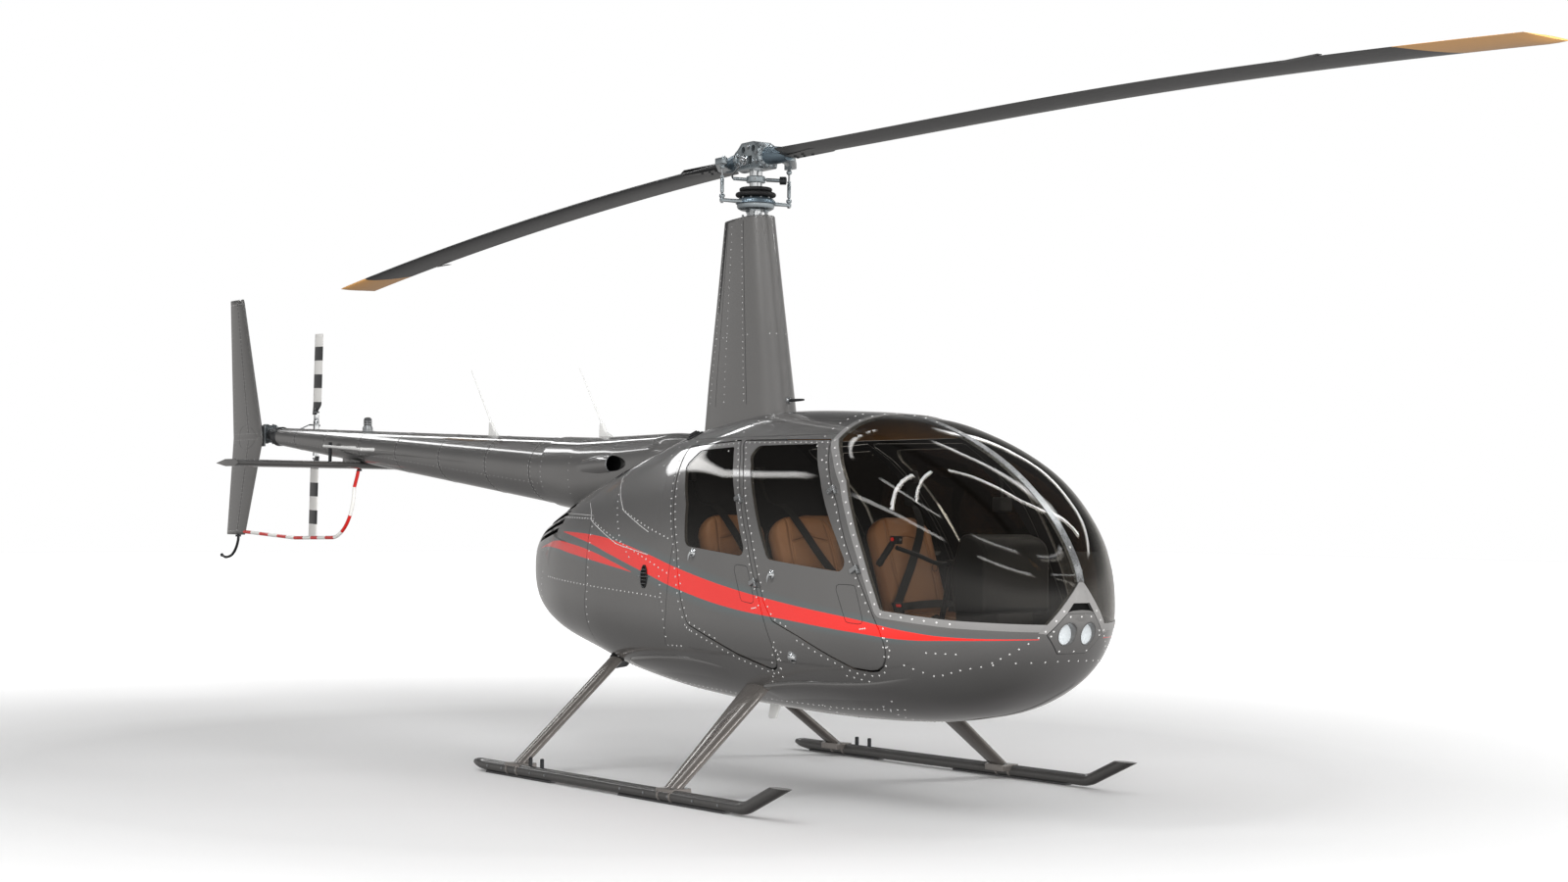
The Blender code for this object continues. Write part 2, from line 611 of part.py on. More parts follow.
def make_controls(base):
    """Instrument console on its pedestal and the shared cyclic stick."""
    panel = [(-2.060, 0.960, 0.02), (-1.850, 0.960, 0.02), (-1.820, 1.150, 0.03), (-1.900, 1.330, 0.05),
             (-2.060, 1.290, 0.06)]
    console = solid("instrument_console", prism(rounded(panel), "X", -0.200, 0.200), "black", base)
    pedestal = box((-0.110, -2.050, FLOOR_Z + SEAT_GAP), (0.110, -1.760, 0.970))
    fuse(console, guide("console_pedestal", pedestal, base))
    stick = solid("cyclic_stick", rod((0, -1.475, 0.660), (0, -1.560, 1.120), 0.014, sides=12), "black", base)
    cut(stick, guide("stick_foot", box((-0.1, -1.6, 0), (0.1, -1.4, 0.680 + SEAT_GAP)), base))
    arm = [(0.330, -1.600, 1.090), (0.080, -1.560, 1.120), (-0.080, -1.560, 1.120), (-0.330, -1.540, 1.150)]
    fuse(stick, guide("cyclic_bar", tube(arm, 0.011, 8), base))
    grip = rod((-0.320, -1.520, 1.190), (-0.345, -1.500, 1.060), 0.017, sides=10)
    other = rod((0.320, -1.600, 1.140), (0.345, -1.560, 1.010), 0.017, sides=10)
    fuse(stick, guide("cyclic_grips", together(grip, other), base))


def make_lamps(base):
    """Two landing lamps set into the nose, their lenses shaped to it."""
    for side, sign in SIDES.items():
        start, end = (sign * LAMP_X, NOSE_Y - 0.1, LAMP_Z), (sign * LAMP_X, NOSE_Y + LAMP_DEPTH, LAMP_Z)
        lamp = solid(f"landing_lamp_{side}", rod(start, end, LAMP_RADIUS, sides=20), "steel", base)
        keep(lamp, guide(f"lamp_face_{side}", hull(0.002), base))


def make_engine_bay(base):
    """Cowl behind the firewall, flat engine block on its mounts, and the exhaust pipe."""
    cowl = solid("engine_cowl", hull(), "body_grey", base)
    cut(cowl, guide("cowl_hollow", hull(WALL), base))
    keep(cowl, guide("behind_firewall", firewall_side(SEAT_GAP, forward=False), base))
    cut(cowl, guide("cowl_cone_hole", cone_rod(SEAT_GAP), base))
    outlet = [(-0.26, 0.60, 0.06), (0.26, 0.60, 0.06), (0.20, 1.20, 0.06), (-0.20, 1.20, 0.06)]
    cut(cowl, guide("cowl_outlet", prism(rounded(outlet), "Z", 0.3, 0.9), base))
    slots = []
    for sign in SIDES.values():
        low, high = sorted((sign * 0.15, sign * 0.9))
        for number in range(4):
            z = 1.245 + 0.045 * number
            y0, y1 = 1.30 - 0.06 * number, 1.62 - 0.07 * number
            slots.append(prism([(y0, z), (y1, z - 0.020), (y1, z), (y0, z + 0.020)], "X", low, high))
    cut(cowl, guide("cowl_louvres", together(*slots), base))

    section = [(-0.385, 0.830), (-0.230, 0.700), (0.230, 0.700), (0.385, 0.830),
               (0.385, 1.050), (0.230, 1.120), (-0.230, 1.120), (-0.385, 1.050)]
    engine = solid("engine_block", prism(section, "Y", 0.330, 0.960), "steel", base)
    mounts = []
    for x in (-0.300, 0.300):
        for z in (0.860, 1.020):
            foot = firewall_y(z) + SEAT_GAP + 0.004
            mounts.append(rod((x, foot, z), (x, 0.360, z), 0.022, sides=10))
    for number, mount in enumerate(mounts):
        fuse(engine, guide(f"engine_mount_{number}", mount, base))
    path = [(-0.110, 0.850, 0.730), (-0.110, 0.900, 0.650), (-0.110, 0.980, 0.590), (-0.110, 1.120, 0.570)]
    fuse(engine, guide("exhaust_pipe", tube(path, 0.030, 12), base))


def cone_rod(growth=0.0, start=CONE_FRONT_Y, end=CONE_END_Y):
    def at(y):
        t = (y - CONE_FRONT_Y) / (CONE_END_Y - CONE_FRONT_Y)
        centre = (0, y, CONE_FRONT_Z + t * (CONE_END_Z - CONE_FRONT_Z))
        return centre, CONE_FRONT_RADIUS + t * (CONE_END_RADIUS - CONE_FRONT_RADIUS) + growth
    return loft([[(c[0] + r * math.sin(a), c[1], c[2] + r * math.cos(a))
                  for a in (2 * math.pi * i / 28 for i in range(28))] for c, r in (at(start), at(end))])


def make_tail(base):
    """Tail cone, its front fairing, fins, stabiliser, guard, skid and gearbox."""
    cone = solid("tail_cone", cone_rod(), "body_grey", base)
    cut(cone, guide("tail_cone_hollow", cone_rod(-CONE_WALL, CONE_FRONT_Y - 0.1, CONE_END_Y - 0.02), base))

    # y, half width, centre height, half height
    stations = ((0.420, 0.150, 1.690, 0.140), (0.600, 0.205, 1.680, 0.160), (1.000, 0.228, 1.630, 0.205),
                (1.400, 0.224, 1.615, 0.216), (1.750, 0.205, 1.640, 0.203))
    rings = []
    for y, width, z, height in stations:
        turns = [2 * math.pi * i / 24 for i in range(24)]
        across = [width * signed_power(math.sin(t), 0.85) for t in turns]
        upward = [height * signed_power(round(math.cos(t), 9), 0.85) for t in turns]
        rings.append([(a, y, z + b) for a, b in zip(across, upward)])
    fairing = solid("tail_cone_fairing", loft(rings), "body_grey", base)
    for side, sign in SIDES.items():
        scoop = [ring_at((sign * 0.190, 0.700, 1.690), (0, 1, 0), 0.055, 10),
                 ring_at((sign * 0.150, 1.300, 1.640), (0, 1, 0), 0.040, 10)]
        fuse(fairing, guide(f"scoop_{side}", loft(scoop), base))
        mouth = [ring_at((sign * 0.190, 0.650, 1.690), (0, 1, 0), 0.046, 10),
                 ring_at((sign * 0.180, 0.800, 1.680), (0, 1, 0), 0.040, 10)]
        cut(fairing, guide(f"scoop_mouth_{side}", loft(mouth), base))
    cut(fairing, guide("fairing_seat", hull(-SEAT_GAP), base),
        guide("fairing_bore", cone_rod(SEAT_GAP), base))

    def fin_ring(lead, trail, z, thickness):
        shape = ((0, 0), (0.08, 0.38), (0.3, 0.5), (0.65, 0.36), (1, 0.04),
                 (1, -0.04), (0.65, -0.36), (0.3, -0.5), (0.08, -0.38))
        return [(FIN_X + thickness * b, lead + (trail - lead) * a, z) for a, b in shape]

    top, middle, bottom = FIN_STATIONS
    gap_middle = (middle[0], middle[1], middle[2] + SEAT_GAP, middle[3])
    solid("fin_upper", loft([fin_ring(*gap_middle), fin_ring(*top)]), "body_grey", base)
    solid("fin_lower", loft([fin_ring(*bottom), fin_ring(*middle)]), "body_grey", base)

    shape = ((0, 0), (0.06, 0.3), (0.25, 0.5), (0.6, 0.38), (1, 0.03),
             (1, -0.03), (0.6, -0.38), (0.25, -0.5), (0.06, -0.3))
    rings = [[(x, 4.22 + 0.34 * a, STABILISER_Z + 0.050 * b) for a, b in shape] for x in (-0.92, 0.92)]
    stabiliser = solid("stabiliser", loft(rings), "body_grey", base)
    low, high = STABILISER_Z - 0.005, 1.860
    posts = [rod((x, 4.520, low), (x, 4.520, high), 0.012, sides=8) for x in (-0.130, 0.130)]
    fuse(stabiliser, guide("stabiliser_posts", together(*posts), base))
    saddle = prism([(4.26, STABILISER_Z), (4.50, STABILISER_Z), (4.50, 1.80), (4.26, 1.80)], "X", -0.05, 0.05)
    fuse(stabiliser, guide("stabiliser_saddle", saddle, base))
    cut(stabiliser, guide("stabiliser_seat", cone_rod(SEAT_GAP), base))

    bend = arc((4.760, 1.560), 0.340, math.radians(180), math.radians(262), 6)
    path = [(0, 4.350, STABILISER_Z - 0.026), (0, 4.375, 1.640)]
    path += [(0, y, z) for y, z in bend]
    path += [(0, 5.300, 1.214), (FIN_X, 6.105, 1.248)]
    guard = solid("tail_guard", tube(path, 0.012, 10), "red", base)
    cut(guard, guide("guard_top", box((-1, 4, STABILISER_Z - 0.0253), (1, 5, 2)), base))
    lead_at_guard = bottom[0] + (middle[0] - bottom[0]) * (1.260 - bottom[2]) / (middle[2] - bottom[2])
    cut(guard, guide("guard_end", box((-1, lead_at_guard - SEAT_GAP, 1), (1, 7, 2)), base))

    # y, z
    bow = ((6.200, 1.226 - SEAT_GAP), (6.200, 1.190), (6.235, 1.130), (6.300, 1.080), (6.400, 1.060),
           (STINGER_TIP_Y, 1.075))
    solid("tail_skid", tube([(FIN_X, y, z) for y, z in bow], STINGER_RADIUS, 10), "black", base)

    # The gearbox hangs on the cone's end to port of the fins, and carries the tail rotor's shaft.
    start, end = (0, CONE_END_Y + SEAT_GAP, CONE_END_Z), (0.085, TAIL_AXIS_Y, TAIL_AXIS_Z)
    gearbox = solid("tail_gearbox", rod(start, end, 0.045, sides=16), "steel", base)
    cut(gearbox, guide("gearbox_front", box((-1, 5, 1), (1, CONE_END_Y + SEAT_GAP, 3)), base))
    housing = rod((0.030, TAIL_AXIS_Y, TAIL_AXIS_Z), (0.150, TAIL_AXIS_Y, TAIL_AXIS_Z), 0.070, sides=16)
    neck = rod((0.140, TAIL_AXIS_Y, TAIL_AXIS_Z), (TAIL_SHAFT_X, TAIL_AXIS_Y, TAIL_AXIS_Z), 0.030, sides=16)
    plate_x = FIN_X + FIN_STATIONS[1][3] / 2 + SEAT_GAP
    plate = box((plate_x, TAIL_AXIS_Y - 0.03, TAIL_AXIS_Z - 0.090),
                (plate_x + 0.012, TAIL_AXIS_Y + 0.20, TAIL_AXIS_Z + 0.060))
    for number, shape in enumerate((housing, neck, plate)):
        fuse(gearbox, guide(f"gearbox_part_{number}", shape, base))


def make_fittings(base):
    """Beacon, antennas and pitot tube."""
    def cone_top(y):
        t = (y - CONE_FRONT_Y) / (CONE_END_Y - CONE_FRONT_Y)
        radius = CONE_FRONT_RADIUS + t * (CONE_END_RADIUS - CONE_FRONT_RADIUS)
        return CONE_FRONT_Z + t * (CONE_END_Z - CONE_FRONT_Z) + radius

    seat = guide("fitting_seat", cone_rod(SEAT_GAP), base)
    crown = cone_top(BEACON_Y)
    shape = rod((0, BEACON_Y, crown - 0.02), (0, BEACON_Y, crown + 0.090), 0.034, sides=14)
    beacon = solid("beacon", shape, "red", base)
    cut(beacon, seat)
    # name, y, height of what carries it, depth let into the cone, y and z of the tip
    whips = (("whip_antenna_front", 1.364, 1.8330, 0.0, (1.648, 2.240)),
             ("whip_antenna_rear", 2.600, cone_top(2.600), 0.020, (2.889, 2.281)))
    for name, y, z, depth, (tip_y, tip_z) in whips:
        low = z - depth
        foot = prism([(y - 0.075, low), (y + 0.055, low), (y + 0.050, z + 0.080), (y + 0.025, z + 0.080)],
                     "X", -0.009, 0.009)
        antenna = solid(name, foot, "white", base)
        whip = rod((0, y + 0.035, z + 0.05), (0, tip_y, tip_z), 0.004, sides=6)
        fuse(antenna, guide(f"{name}_rod", whip, base))
        if depth:
            cut(antenna, seat)
    for side, sign in SIDES.items():
        bar = [(sign * BAR_X, 3.900, 1.800), (sign * BAR_X, 4.430, 1.831)]
        antenna = solid(f"bar_antenna_{side}", tube(bar, 0.009, 8), "white", base)
        for number, (y, z) in enumerate(((3.930, 1.8017), (4.205, 1.8178))):
            arm = rod((sign * 0.070, y, z), (sign * (BAR_X + 0.006), y, z), 0.020, sides=10)
            fuse(antenna, guide(f"bar_arm_{side}_{number}", arm, base))
        cut(antenna, seat)
    blade = prism([(-0.330, 0.50), (-0.230, 0.50), (-0.200, 0.360), (-0.260, 0.360)], "X", -0.006, 0.006)
    antenna = solid("belly_antenna", blade, "white", base)
    cut(antenna, guide("belly_antenna_seat", hull(-SEAT_GAP), base))


def tower_ring(z, lead, trail, width, sides=20):
    """Teardrop section of the mast tower, its sharp edge aft."""
    points = []
    nose = width * 1.25
    for i in range(sides // 2 + 1):
        t = math.pi * i / (sides // 2)
        points.append((width * math.cos(t), lead + nose - nose * math.sin(t), z))
    back = []
    for a in (0.30, 0.60, 0.85):
        y = lead + nose + a * (trail - lead - nose)
        back.append((width * (1 - a ** 1.6) + 0.002, y, z))
    edge = [(-0.004, trail, z), (0.004, trail, z)]
    return points + [(-x, y, z) for x, y, z in back] + edge + [(x, y, z) for x, y, z in reversed(back)]


def make_tower(base):
    rings = [tower_ring(*station) for station in TOWER_STATIONS]
    tower = solid("mast_fairing", loft(rings), "body_grey", base)
    bore = (MAST_RADIUS + 0.0006) / math.cos(math.pi / 24)
    cut(tower, guide("tower_seat", hull(-SEAT_GAP), base),
        guide("tower_bore", rod((0, ROTOR_Y, 2.600), (0, ROTOR_Y, 3.2), bore, sides=24), base))
    pitot = solid("pitot_tube", rod((0, -0.300, 1.985), (0, -0.470, 1.985), 0.008, sides=8), "steel", base)
    rings = [tower_ring(z, lead - SEAT_GAP, trail, width + SEAT_GAP)
             for z, lead, trail, width in TOWER_STATIONS[:2]]
    cut(pitot, guide("pitot_seat", loft(rings), base))


def make_gear(base):
    """Skids with wear shoes, and the four streamlined legs between skids and belly."""
    below_hull = guide("leg_seat", hull(-SEAT_GAP), base)
    for side, sign in SIDES.items():
        x = sign * SKID_X
        toe = arc((TOE_START_Y, SKID_Z + TOE_RADIUS), TOE_RADIUS, -math.pi / 2, -math.pi / 2 - TOE_ANGLE, 3)
        end_y, end_z = toe[-1]
        toe.append((end_y - TOE_LENGTH * math.cos(TOE_ANGLE), end_z + TOE_LENGTH * math.sin(TOE_ANGLE)))
        path = [(x, HEEL_Y, SKID_Z + 0.008), (x, HEEL_Y - 0.120, SKID_Z)]
        path += [(x, y, SKID_Z) for y in (0.40, -0.20, -0.90)]
        path += [(x, y, z) for y, z in toe]
        radii = [SKID_RADIUS * 0.45] + [SKID_RADIUS] * (len(path) - 1)
        skid = solid(f"skid_{side}", tube(path, SKID_RADIUS, 12, radii), "dark_grey", base)
        cut(skid, guide(f"toe_cut_{side}", box((-2, -3, TOE_CUT_Z), (2, 0, 1)), base))
        for number, (y0, y1) in enumerate(((-1.300, -0.440), (0.180, 0.800))):
            shoe = box((x - 0.022, y0, SHOE_LOW_Z), (x + 0.022, y1, SHOE_LOW_Z + SHOE_THICKNESS + 0.004))
            fuse(skid, guide(f"shoe_{side}_{number}", shoe, base))
        outward = sorted((x - sign * 0.006, x + sign * 0.006))
        for number, y in enumerate(WHEEL_LUGS_Y):
            lug = box((outward[0], y, SKID_Z + 0.02), (outward[1], y + 0.020, SKID_Z + 0.075))
            fuse(skid, guide(f"wheel_lug_{side}_{number}", lug, base))
        saddle_top = SKID_Z + SKID_RADIUS + 0.004
        under = guide(f"saddle_clear_{side}", box((-2, -2, -1), (2, 2, saddle_top + SEAT_GAP)), base)
        for leg, (top, foot) in LEGS.items():
            rings = []
            for x_at, y_at, z_at, chord in (top, foot):
                turns = [2 * math.pi * i / 16 for i in range(16)]
                across = [LEG_THICKNESS * math.sin(t) for t in turns]
                along = [y_at + chord / 2 * math.cos(t) for t in turns]
                rings.append([(sign * (x_at + 0.31 * a), y_on, z_at + 0.39 * a)
                              for a, y_on in zip(across, along)])
            piece = solid(f"{leg}_leg_{side}", loft(rings), "dark_grey", base)
            cut(piece, below_hull, under)
            low_x, high_x = sorted((x - sign * 0.085, x + sign * 0.025))
            saddle = box((low_x, foot[1] - 0.075, SKID_Z), (high_x, foot[1] + 0.060, saddle_top))
            fuse(skid, guide(f"saddle_{leg}_{side}", saddle, base))


def blade_ring(radius, z, chord, direction):
    """Section of the main blade, its round edge leading; direction is the blade's Y sign."""
    shape = ((0, 0), (0.03, 0.28), (0.12, 0.46), (0.30, 0.50), (0.60, 0.34), (1, 0.03),
             (1, -0.03), (0.60, -0.30), (0.30, -0.44), (0.12, -0.40), (0.03, -0.24))
    return [(direction * (chord * a - BLADE_LEAD), direction * radius, z + BLADE_THICKNESS * b)
            for a, b in shape]


def make_main_rotor(rotor):
    """Mast, rotating swashplate with pitch links, hub and two blades, all turned about Z."""
    mast = solid("rotor_mast", rod((0, 0, 2.640), (0, 0, MAST_TOP_Z), MAST_RADIUS, sides=24), "steel", rotor)
    fuse(mast, guide("mast_boot_low", rod((0, 0, 3.056), (0, 0, 3.076), 0.106, sides=24), rotor))
    fuse(mast, guide("mast_boot_high", rod((0, 0, 3.084), (0, 0, 3.102), 0.086, sides=24), rotor))

    hub = solid("rotor_hub", prism(HUB_OUTLINE, "X", -0.055, 0.055), "steel", rotor)
    bore = rod((0, 0, 3.1), (0, 0, MAST_TOP_Z + SEAT_GAP), MAST_RADIUS + 0.002, sides=24)
    cut(hub, guide("hub_bore", bore, rotor))
    horn_plan = [(0, -0.290), (0.045, -0.290), (HORN_X + 0.016, -0.060), (HORN_X + 0.016, HORN_Y),
                 (HORN_X - 0.016, HORN_Y), (0, -0.200)]
    ring = rod((0, 0, SWASH_Z), (0, 0, SWASH_Z + 0.032), 0.105, sides=24)
    swash = solid("swashplate_rotating", ring, "steel", rotor)
    cut(swash, guide("swash_bore", rod((0, 0, 2.9), (0, 0, 3.2), MAST_RADIUS + SEAT_GAP, sides=24), rotor))
    for number, direction in enumerate((-1, 1)):
        turn = Matrix.Rotation(0 if direction < 0 else math.pi, 4, "Z")
        ends = ((0, -0.090, HUB_Z), (0, SEAT_GAP - BLADE_ROOT, HUB_Z - 0.018))
        housing = loft([ring_at(end, (0, 1, 0), 0.045, 16) for end in ends])
        fuse(hub, guide(f"hub_housing_{number}", moved(housing, turn), rotor))
        horn = prism(horn_plan, "Z", HORN_LOW_Z, HORN_HIGH_Z)
        fuse(hub, guide(f"pitch_horn_{number}", moved(horn, turn), rotor))
        foot, head = (HORN_X, -HORN_Y, SWASH_Z + 0.010), (HORN_X, -HORN_Y, HORN_LOW_Z - SEAT_GAP)
        ear = [(0.080, -0.030), (HORN_X + 0.012, -HORN_Y - 0.012), (HORN_X + 0.012, 0), (0.080, 0.030)]
        ear = prism(ear, "Z", SWASH_Z + 0.004, SWASH_Z + 0.018)
        fuse(swash, guide(f"swash_ear_{number}", moved(ear, turn), rotor))
        fuse(swash, guide(f"pitch_link_{number}", moved(rod(foot, head, 0.007, sides=8), turn), rotor))

    for number, direction in enumerate((-1, 1)):
        rings = [blade_ring(radius, heights[number], chord, direction)
                 for radius, chord, *heights in BLADE_STATIONS]
        solid(f"main_blade_{number + 1}", loft(rings), "dark_grey", rotor)


def make_fixed_swashplate(base):
    """Ring below the rotating one, on three control rods that stand on the tower."""
    low = SWASH_Z - 0.030
    ring = rod((0, ROTOR_Y, low), (0, ROTOR_Y, SWASH_Z - 0.0006), 0.098, sides=24)
    swash = solid("swashplate_fixed", ring, "steel", base)
    for number, (x, y) in enumerate(((0.0, 0.062), (-0.046, -0.030), (0.046, -0.030))):
        y += ROTOR_Y
        stem = rod((x, y, TOWER_TOP_Z + SEAT_GAP), (x, y, SWASH_Z - 0.010), 0.008, sides=8)
        fuse(swash, guide(f"control_rod_{number}", stem, base))
    bore = rod((0, ROTOR_Y, 2.9), (0, ROTOR_Y, 3.2), MAST_RADIUS + 0.004, sides=24)
    cut(swash, guide("swash_fixed_bore", bore, base))


def make_tail_rotor(rotor):
    """Tail rotor about its own axis: hub at the origin, blades along Z."""
    shaft = rod((TAIL_SHAFT_X - TAIL_HUB_X + KNUCKLE_GAP, 0, 0), (0.030, 0, 0), 0.024, sides=14)
    hub = solid("tail_rotor_hub", shaft, "steel", rotor)
    for number, direction in enumerate((-1, 1)):
        grip = rod((0, 0, 0), (0, 0, direction * (0.150 - SEAT_GAP)), 0.022, sides=10)
        fuse(hub, guide(f"tail_grip_{number}", grip, rotor))
    for number, direction in enumerate((1, -1)):
        shape = ((0, 0), (0.1, 0.45), (0.35, 0.5), (1, 0.05), (1, -0.05), (0.35, -0.5), (0.1, -0.45))
        rings = []
        for radius, chord in ((0.150, 0.060), (0.230, 0.130), (TAIL_ROTOR_RADIUS, 0.130)):
            rings.append([(0.014 * b, direction * (0.055 - chord * a), direction * radius) for a, b in shape])
        solid(f"tail_blade_{number + 1}", loft(rings), "white", rotor)


def build():
    for old in list(bpy.data.objects):
        bpy.data.objects.remove(old, do_unlink=True)
    base = empty("airframe", place=(0, MAST_Y, -GROUND_Z))
    hollow = make_cabin(base)
    make_windshields(base)
    make_doors(base, hollow)
    make_floor(base)
    make_seats(base)
    make_controls(base)
    make_lamps(base)
    make_engine_bay(base)
    make_tail(base)
    make_fittings(base)
    make_tower(base)
    make_gear(base)
    make_fixed_swashplate(base)
    make_main_rotor(empty("main_rotor", base, place=(0, ROTOR_Y, 0), turn=(0, 0, REST_TURN)))
    tail_place = (TAIL_HUB_X, TAIL_AXIS_Y, TAIL_AXIS_Z)
    make_tail_rotor(empty("tail_rotor", base, place=tail_place, turn=(TAIL_REST_TURN, 0, 0)))


build()
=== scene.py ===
"""The looks of a light piston helicopter on skids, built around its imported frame.

It is laid out as an add-on: one operator makes each piece or group of like pieces. Points are measured
in metres from the datum that the part's source uses, -Y towards the nose, +X to port, and PLACE moves
them into the frame.
"""
import math
from math import cos, pi, sin

import bmesh
import bpy
import numpy as np
from mathutils import Matrix, Vector
from mathutils.bvhtree import BVHTree


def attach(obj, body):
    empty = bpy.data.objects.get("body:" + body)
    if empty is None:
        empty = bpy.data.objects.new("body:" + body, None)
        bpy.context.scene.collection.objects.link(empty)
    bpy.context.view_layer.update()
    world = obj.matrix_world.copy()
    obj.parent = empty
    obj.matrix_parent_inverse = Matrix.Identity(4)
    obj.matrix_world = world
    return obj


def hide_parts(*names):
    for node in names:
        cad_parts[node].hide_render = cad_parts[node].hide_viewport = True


bl_info = {
    "name": "Light helicopter",
    "version": (1, 0, 0),
    "blender": (4, 5, 0),
    "location": "View3D > Sidebar > Helicopter",
    "description": "Builds the skin, cabin, rotor head, tail and landing gear around the packed frame",
    "category": "Object",
}

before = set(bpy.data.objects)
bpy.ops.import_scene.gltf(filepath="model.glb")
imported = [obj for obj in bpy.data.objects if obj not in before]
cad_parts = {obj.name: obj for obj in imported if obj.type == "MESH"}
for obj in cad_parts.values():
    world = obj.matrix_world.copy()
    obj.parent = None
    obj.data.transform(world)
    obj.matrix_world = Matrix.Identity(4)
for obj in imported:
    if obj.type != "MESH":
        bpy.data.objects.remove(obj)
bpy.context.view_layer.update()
PLACE = np.array((0.0, -0.710, -0.057))
SIDES = {"right": -1, "left": 1}

# Cabin and engine cowl: y, half width, top, bottom, widest height, fullness above, fullness below
SECTIONS = np.array((
    (-2.475, 0.000, 1.060, 1.000, 1.010, 2.00, 2.00),
    (-2.400, 0.268, 1.270, 0.775, 1.000, 2.30, 2.10),
    (-2.200, 0.455, 1.490, 0.595, 0.980, 2.75, 2.20),
    (-1.900, 0.575, 1.690, 0.485, 0.960, 3.00, 2.30),
    (-1.600, 0.625, 1.815, 0.445, 0.950, 2.90, 2.35),
    (-1.400, 0.640, 1.870, 0.435, 0.950, 2.80, 2.40),
    (-1.100, 0.645, 1.905, 0.430, 0.950, 2.60, 2.40),
    (-0.500, 0.645, 1.925, 0.445, 0.970, 2.40, 2.40),
    (0.000, 0.635, 1.880, 0.475, 1.000, 2.30, 2.40),
    (0.500, 0.595, 1.760, 0.535, 1.040, 2.30, 2.40),
    (1.000, 0.515, 1.600, 0.630, 1.080, 2.30, 2.30),
    (1.400, 0.390, 1.460, 0.720, 1.100, 2.30, 2.50),
    (1.700, 0.245, 1.345, 0.835, 1.110, 2.40, 2.60),
    (1.830, 0.130, 1.270, 0.950, 1.120, 2.40, 2.50),
    (1.860, 0.000, 1.150, 1.090, 1.125, 2.00, 2.00),
))
NOSE_Y, COWL_END_Y = SECTIONS[0, 0], SECTIONS[-1, 0]
WALL = 0.018
GLASS = 0.005
GLASS_INSET = 0.003
DOOR_GAP = 0.0055
SILL_GAP, SILL_BELOW_Z = 0.0040, 0.800
AFT_GAP, AFT_REACH = 0.0045, 0.130

# Outlines in side view: y, z, corner radius
FRONT_DOOR = (
    (-0.532, 1.768, 0.010), (-1.240, 1.758, 0.030), (-1.363, 1.604, 0.0), (-1.490, 1.450, 0.0),
    (-1.572, 1.294, 0.0), (-1.717, 1.044, 0.0), (-1.800, 0.890, 0.0), (-1.865, 0.690, 0.110),
    (-1.600, 0.712, 0.0), (-1.259, 0.843, 0.0), (-1.072, 0.905, 0.020), (-1.006, 0.991, 0.0),
    (-0.875, 1.285, 0.0), (-0.695, 1.587, 0.0), (-0.625, 1.684, 0.0),
)
REAR_DOOR = (
    (-0.505, 1.768, 0.010), (-0.595, 1.684, 0.0), (-0.665, 1.587, 0.0), (-0.845, 1.285, 0.0),
    (-0.960, 1.020, 0.0), (-1.050, 0.800, 0.0), (-1.075, 0.655, 0.060), (-0.753, 0.734, 0.0),
    (-0.370, 0.862, 0.050), (-0.320, 0.980, 0.0), (-0.259, 1.229, 0.0), (-0.099, 1.587, 0.0),
    (-0.030, 1.745, 0.020),
)
FRONT_WINDOW = (
    (-0.618, 1.738, 0.040), (-1.165, 1.738, 0.040), (-1.310, 1.580, 0.0), (-1.520, 1.295, 0.0),
    (-1.622, 1.140, 0.040), (-1.020, 1.192, 0.060), (-0.837, 1.469, 0.0), (-0.714, 1.642, 0.0),
)
REAR_WINDOW = (
    (-0.490, 1.735, 0.035), (-0.555, 1.662, 0.0), (-0.700, 1.460, 0.0), (-0.850, 1.200, 0.030),
    (-0.330, 1.246, 0.060), (-0.271, 1.449, 0.0), (-0.130, 1.650, 0.030), (-0.180, 1.724, 0.030),
)
WINDSHIELD = (
    (-1.290, 2.200, 0.0), (-1.290, 1.760, 0.0), (-1.370, 1.690, 0.0), (-1.500, 1.562, 0.0),
    (-1.590, 1.415, 0.0), (-1.690, 1.235, 0.0), (-1.770, 1.060, 0.0), (-1.805, 0.980, 0.020),
    (-2.150, 0.947, 0.0), (-2.600, 0.925, 0.0), (-2.600, 2.200, 0.0),
)
DOORS = {"front": (FRONT_DOOR, FRONT_WINDOW), "rear": (REAR_DOOR, REAR_WINDOW)}
STRIP_HALF_WIDTH = 0.020
NOSE_APEX_Z = 1.130
NOSE_FOOT = (0.235, 0.860)
ROOF_SEAM_Z = 1.785
FIREWALL_FOOT, FIREWALL_HEAD = (-0.220, 0.450), (0.050, 1.900)
LAMP_X, LAMP_Z, LAMP_RADIUS = 0.062, 0.890, 0.052
# y, z of each door's hinge pins, and how far aft of the pin the door starts
HINGES = {
    "front": ((-1.453, 1.520, 0.023), (-1.672, 1.160, 0.024)),
    "rear": ((-0.740, 1.480, 0.014), (-0.947, 1.080, 0.016)),
}
HINGE_OUTBOARD = 0.012

# The red stripe's main flash, in side view: y, top edge, low edge
FLASH = (
    (-2.412, 0.869, 0.866), (-2.142, 0.872, 0.857), (-1.959, 0.890, 0.853), (-1.648, 0.936, 0.875),
    (-1.208, 0.986, 0.912), (-0.768, 1.044, 0.950), (-0.293, 1.132, 1.030), (0.049, 1.208, 1.112),
    (0.417, 1.270, 1.196), (0.640, 1.290, 1.244), (1.040, 1.303, 1.299),
)
# The lower spear: y, top edge, low edge
SPEAR = (
    (0.150, 1.106, 1.104), (0.350, 1.152, 1.128), (0.626, 1.206, 1.160), (0.886, 1.238, 1.188),
    (1.100, 1.252, 1.210), (1.300, 1.232, 1.216), (1.470, 1.203, 1.200),
)


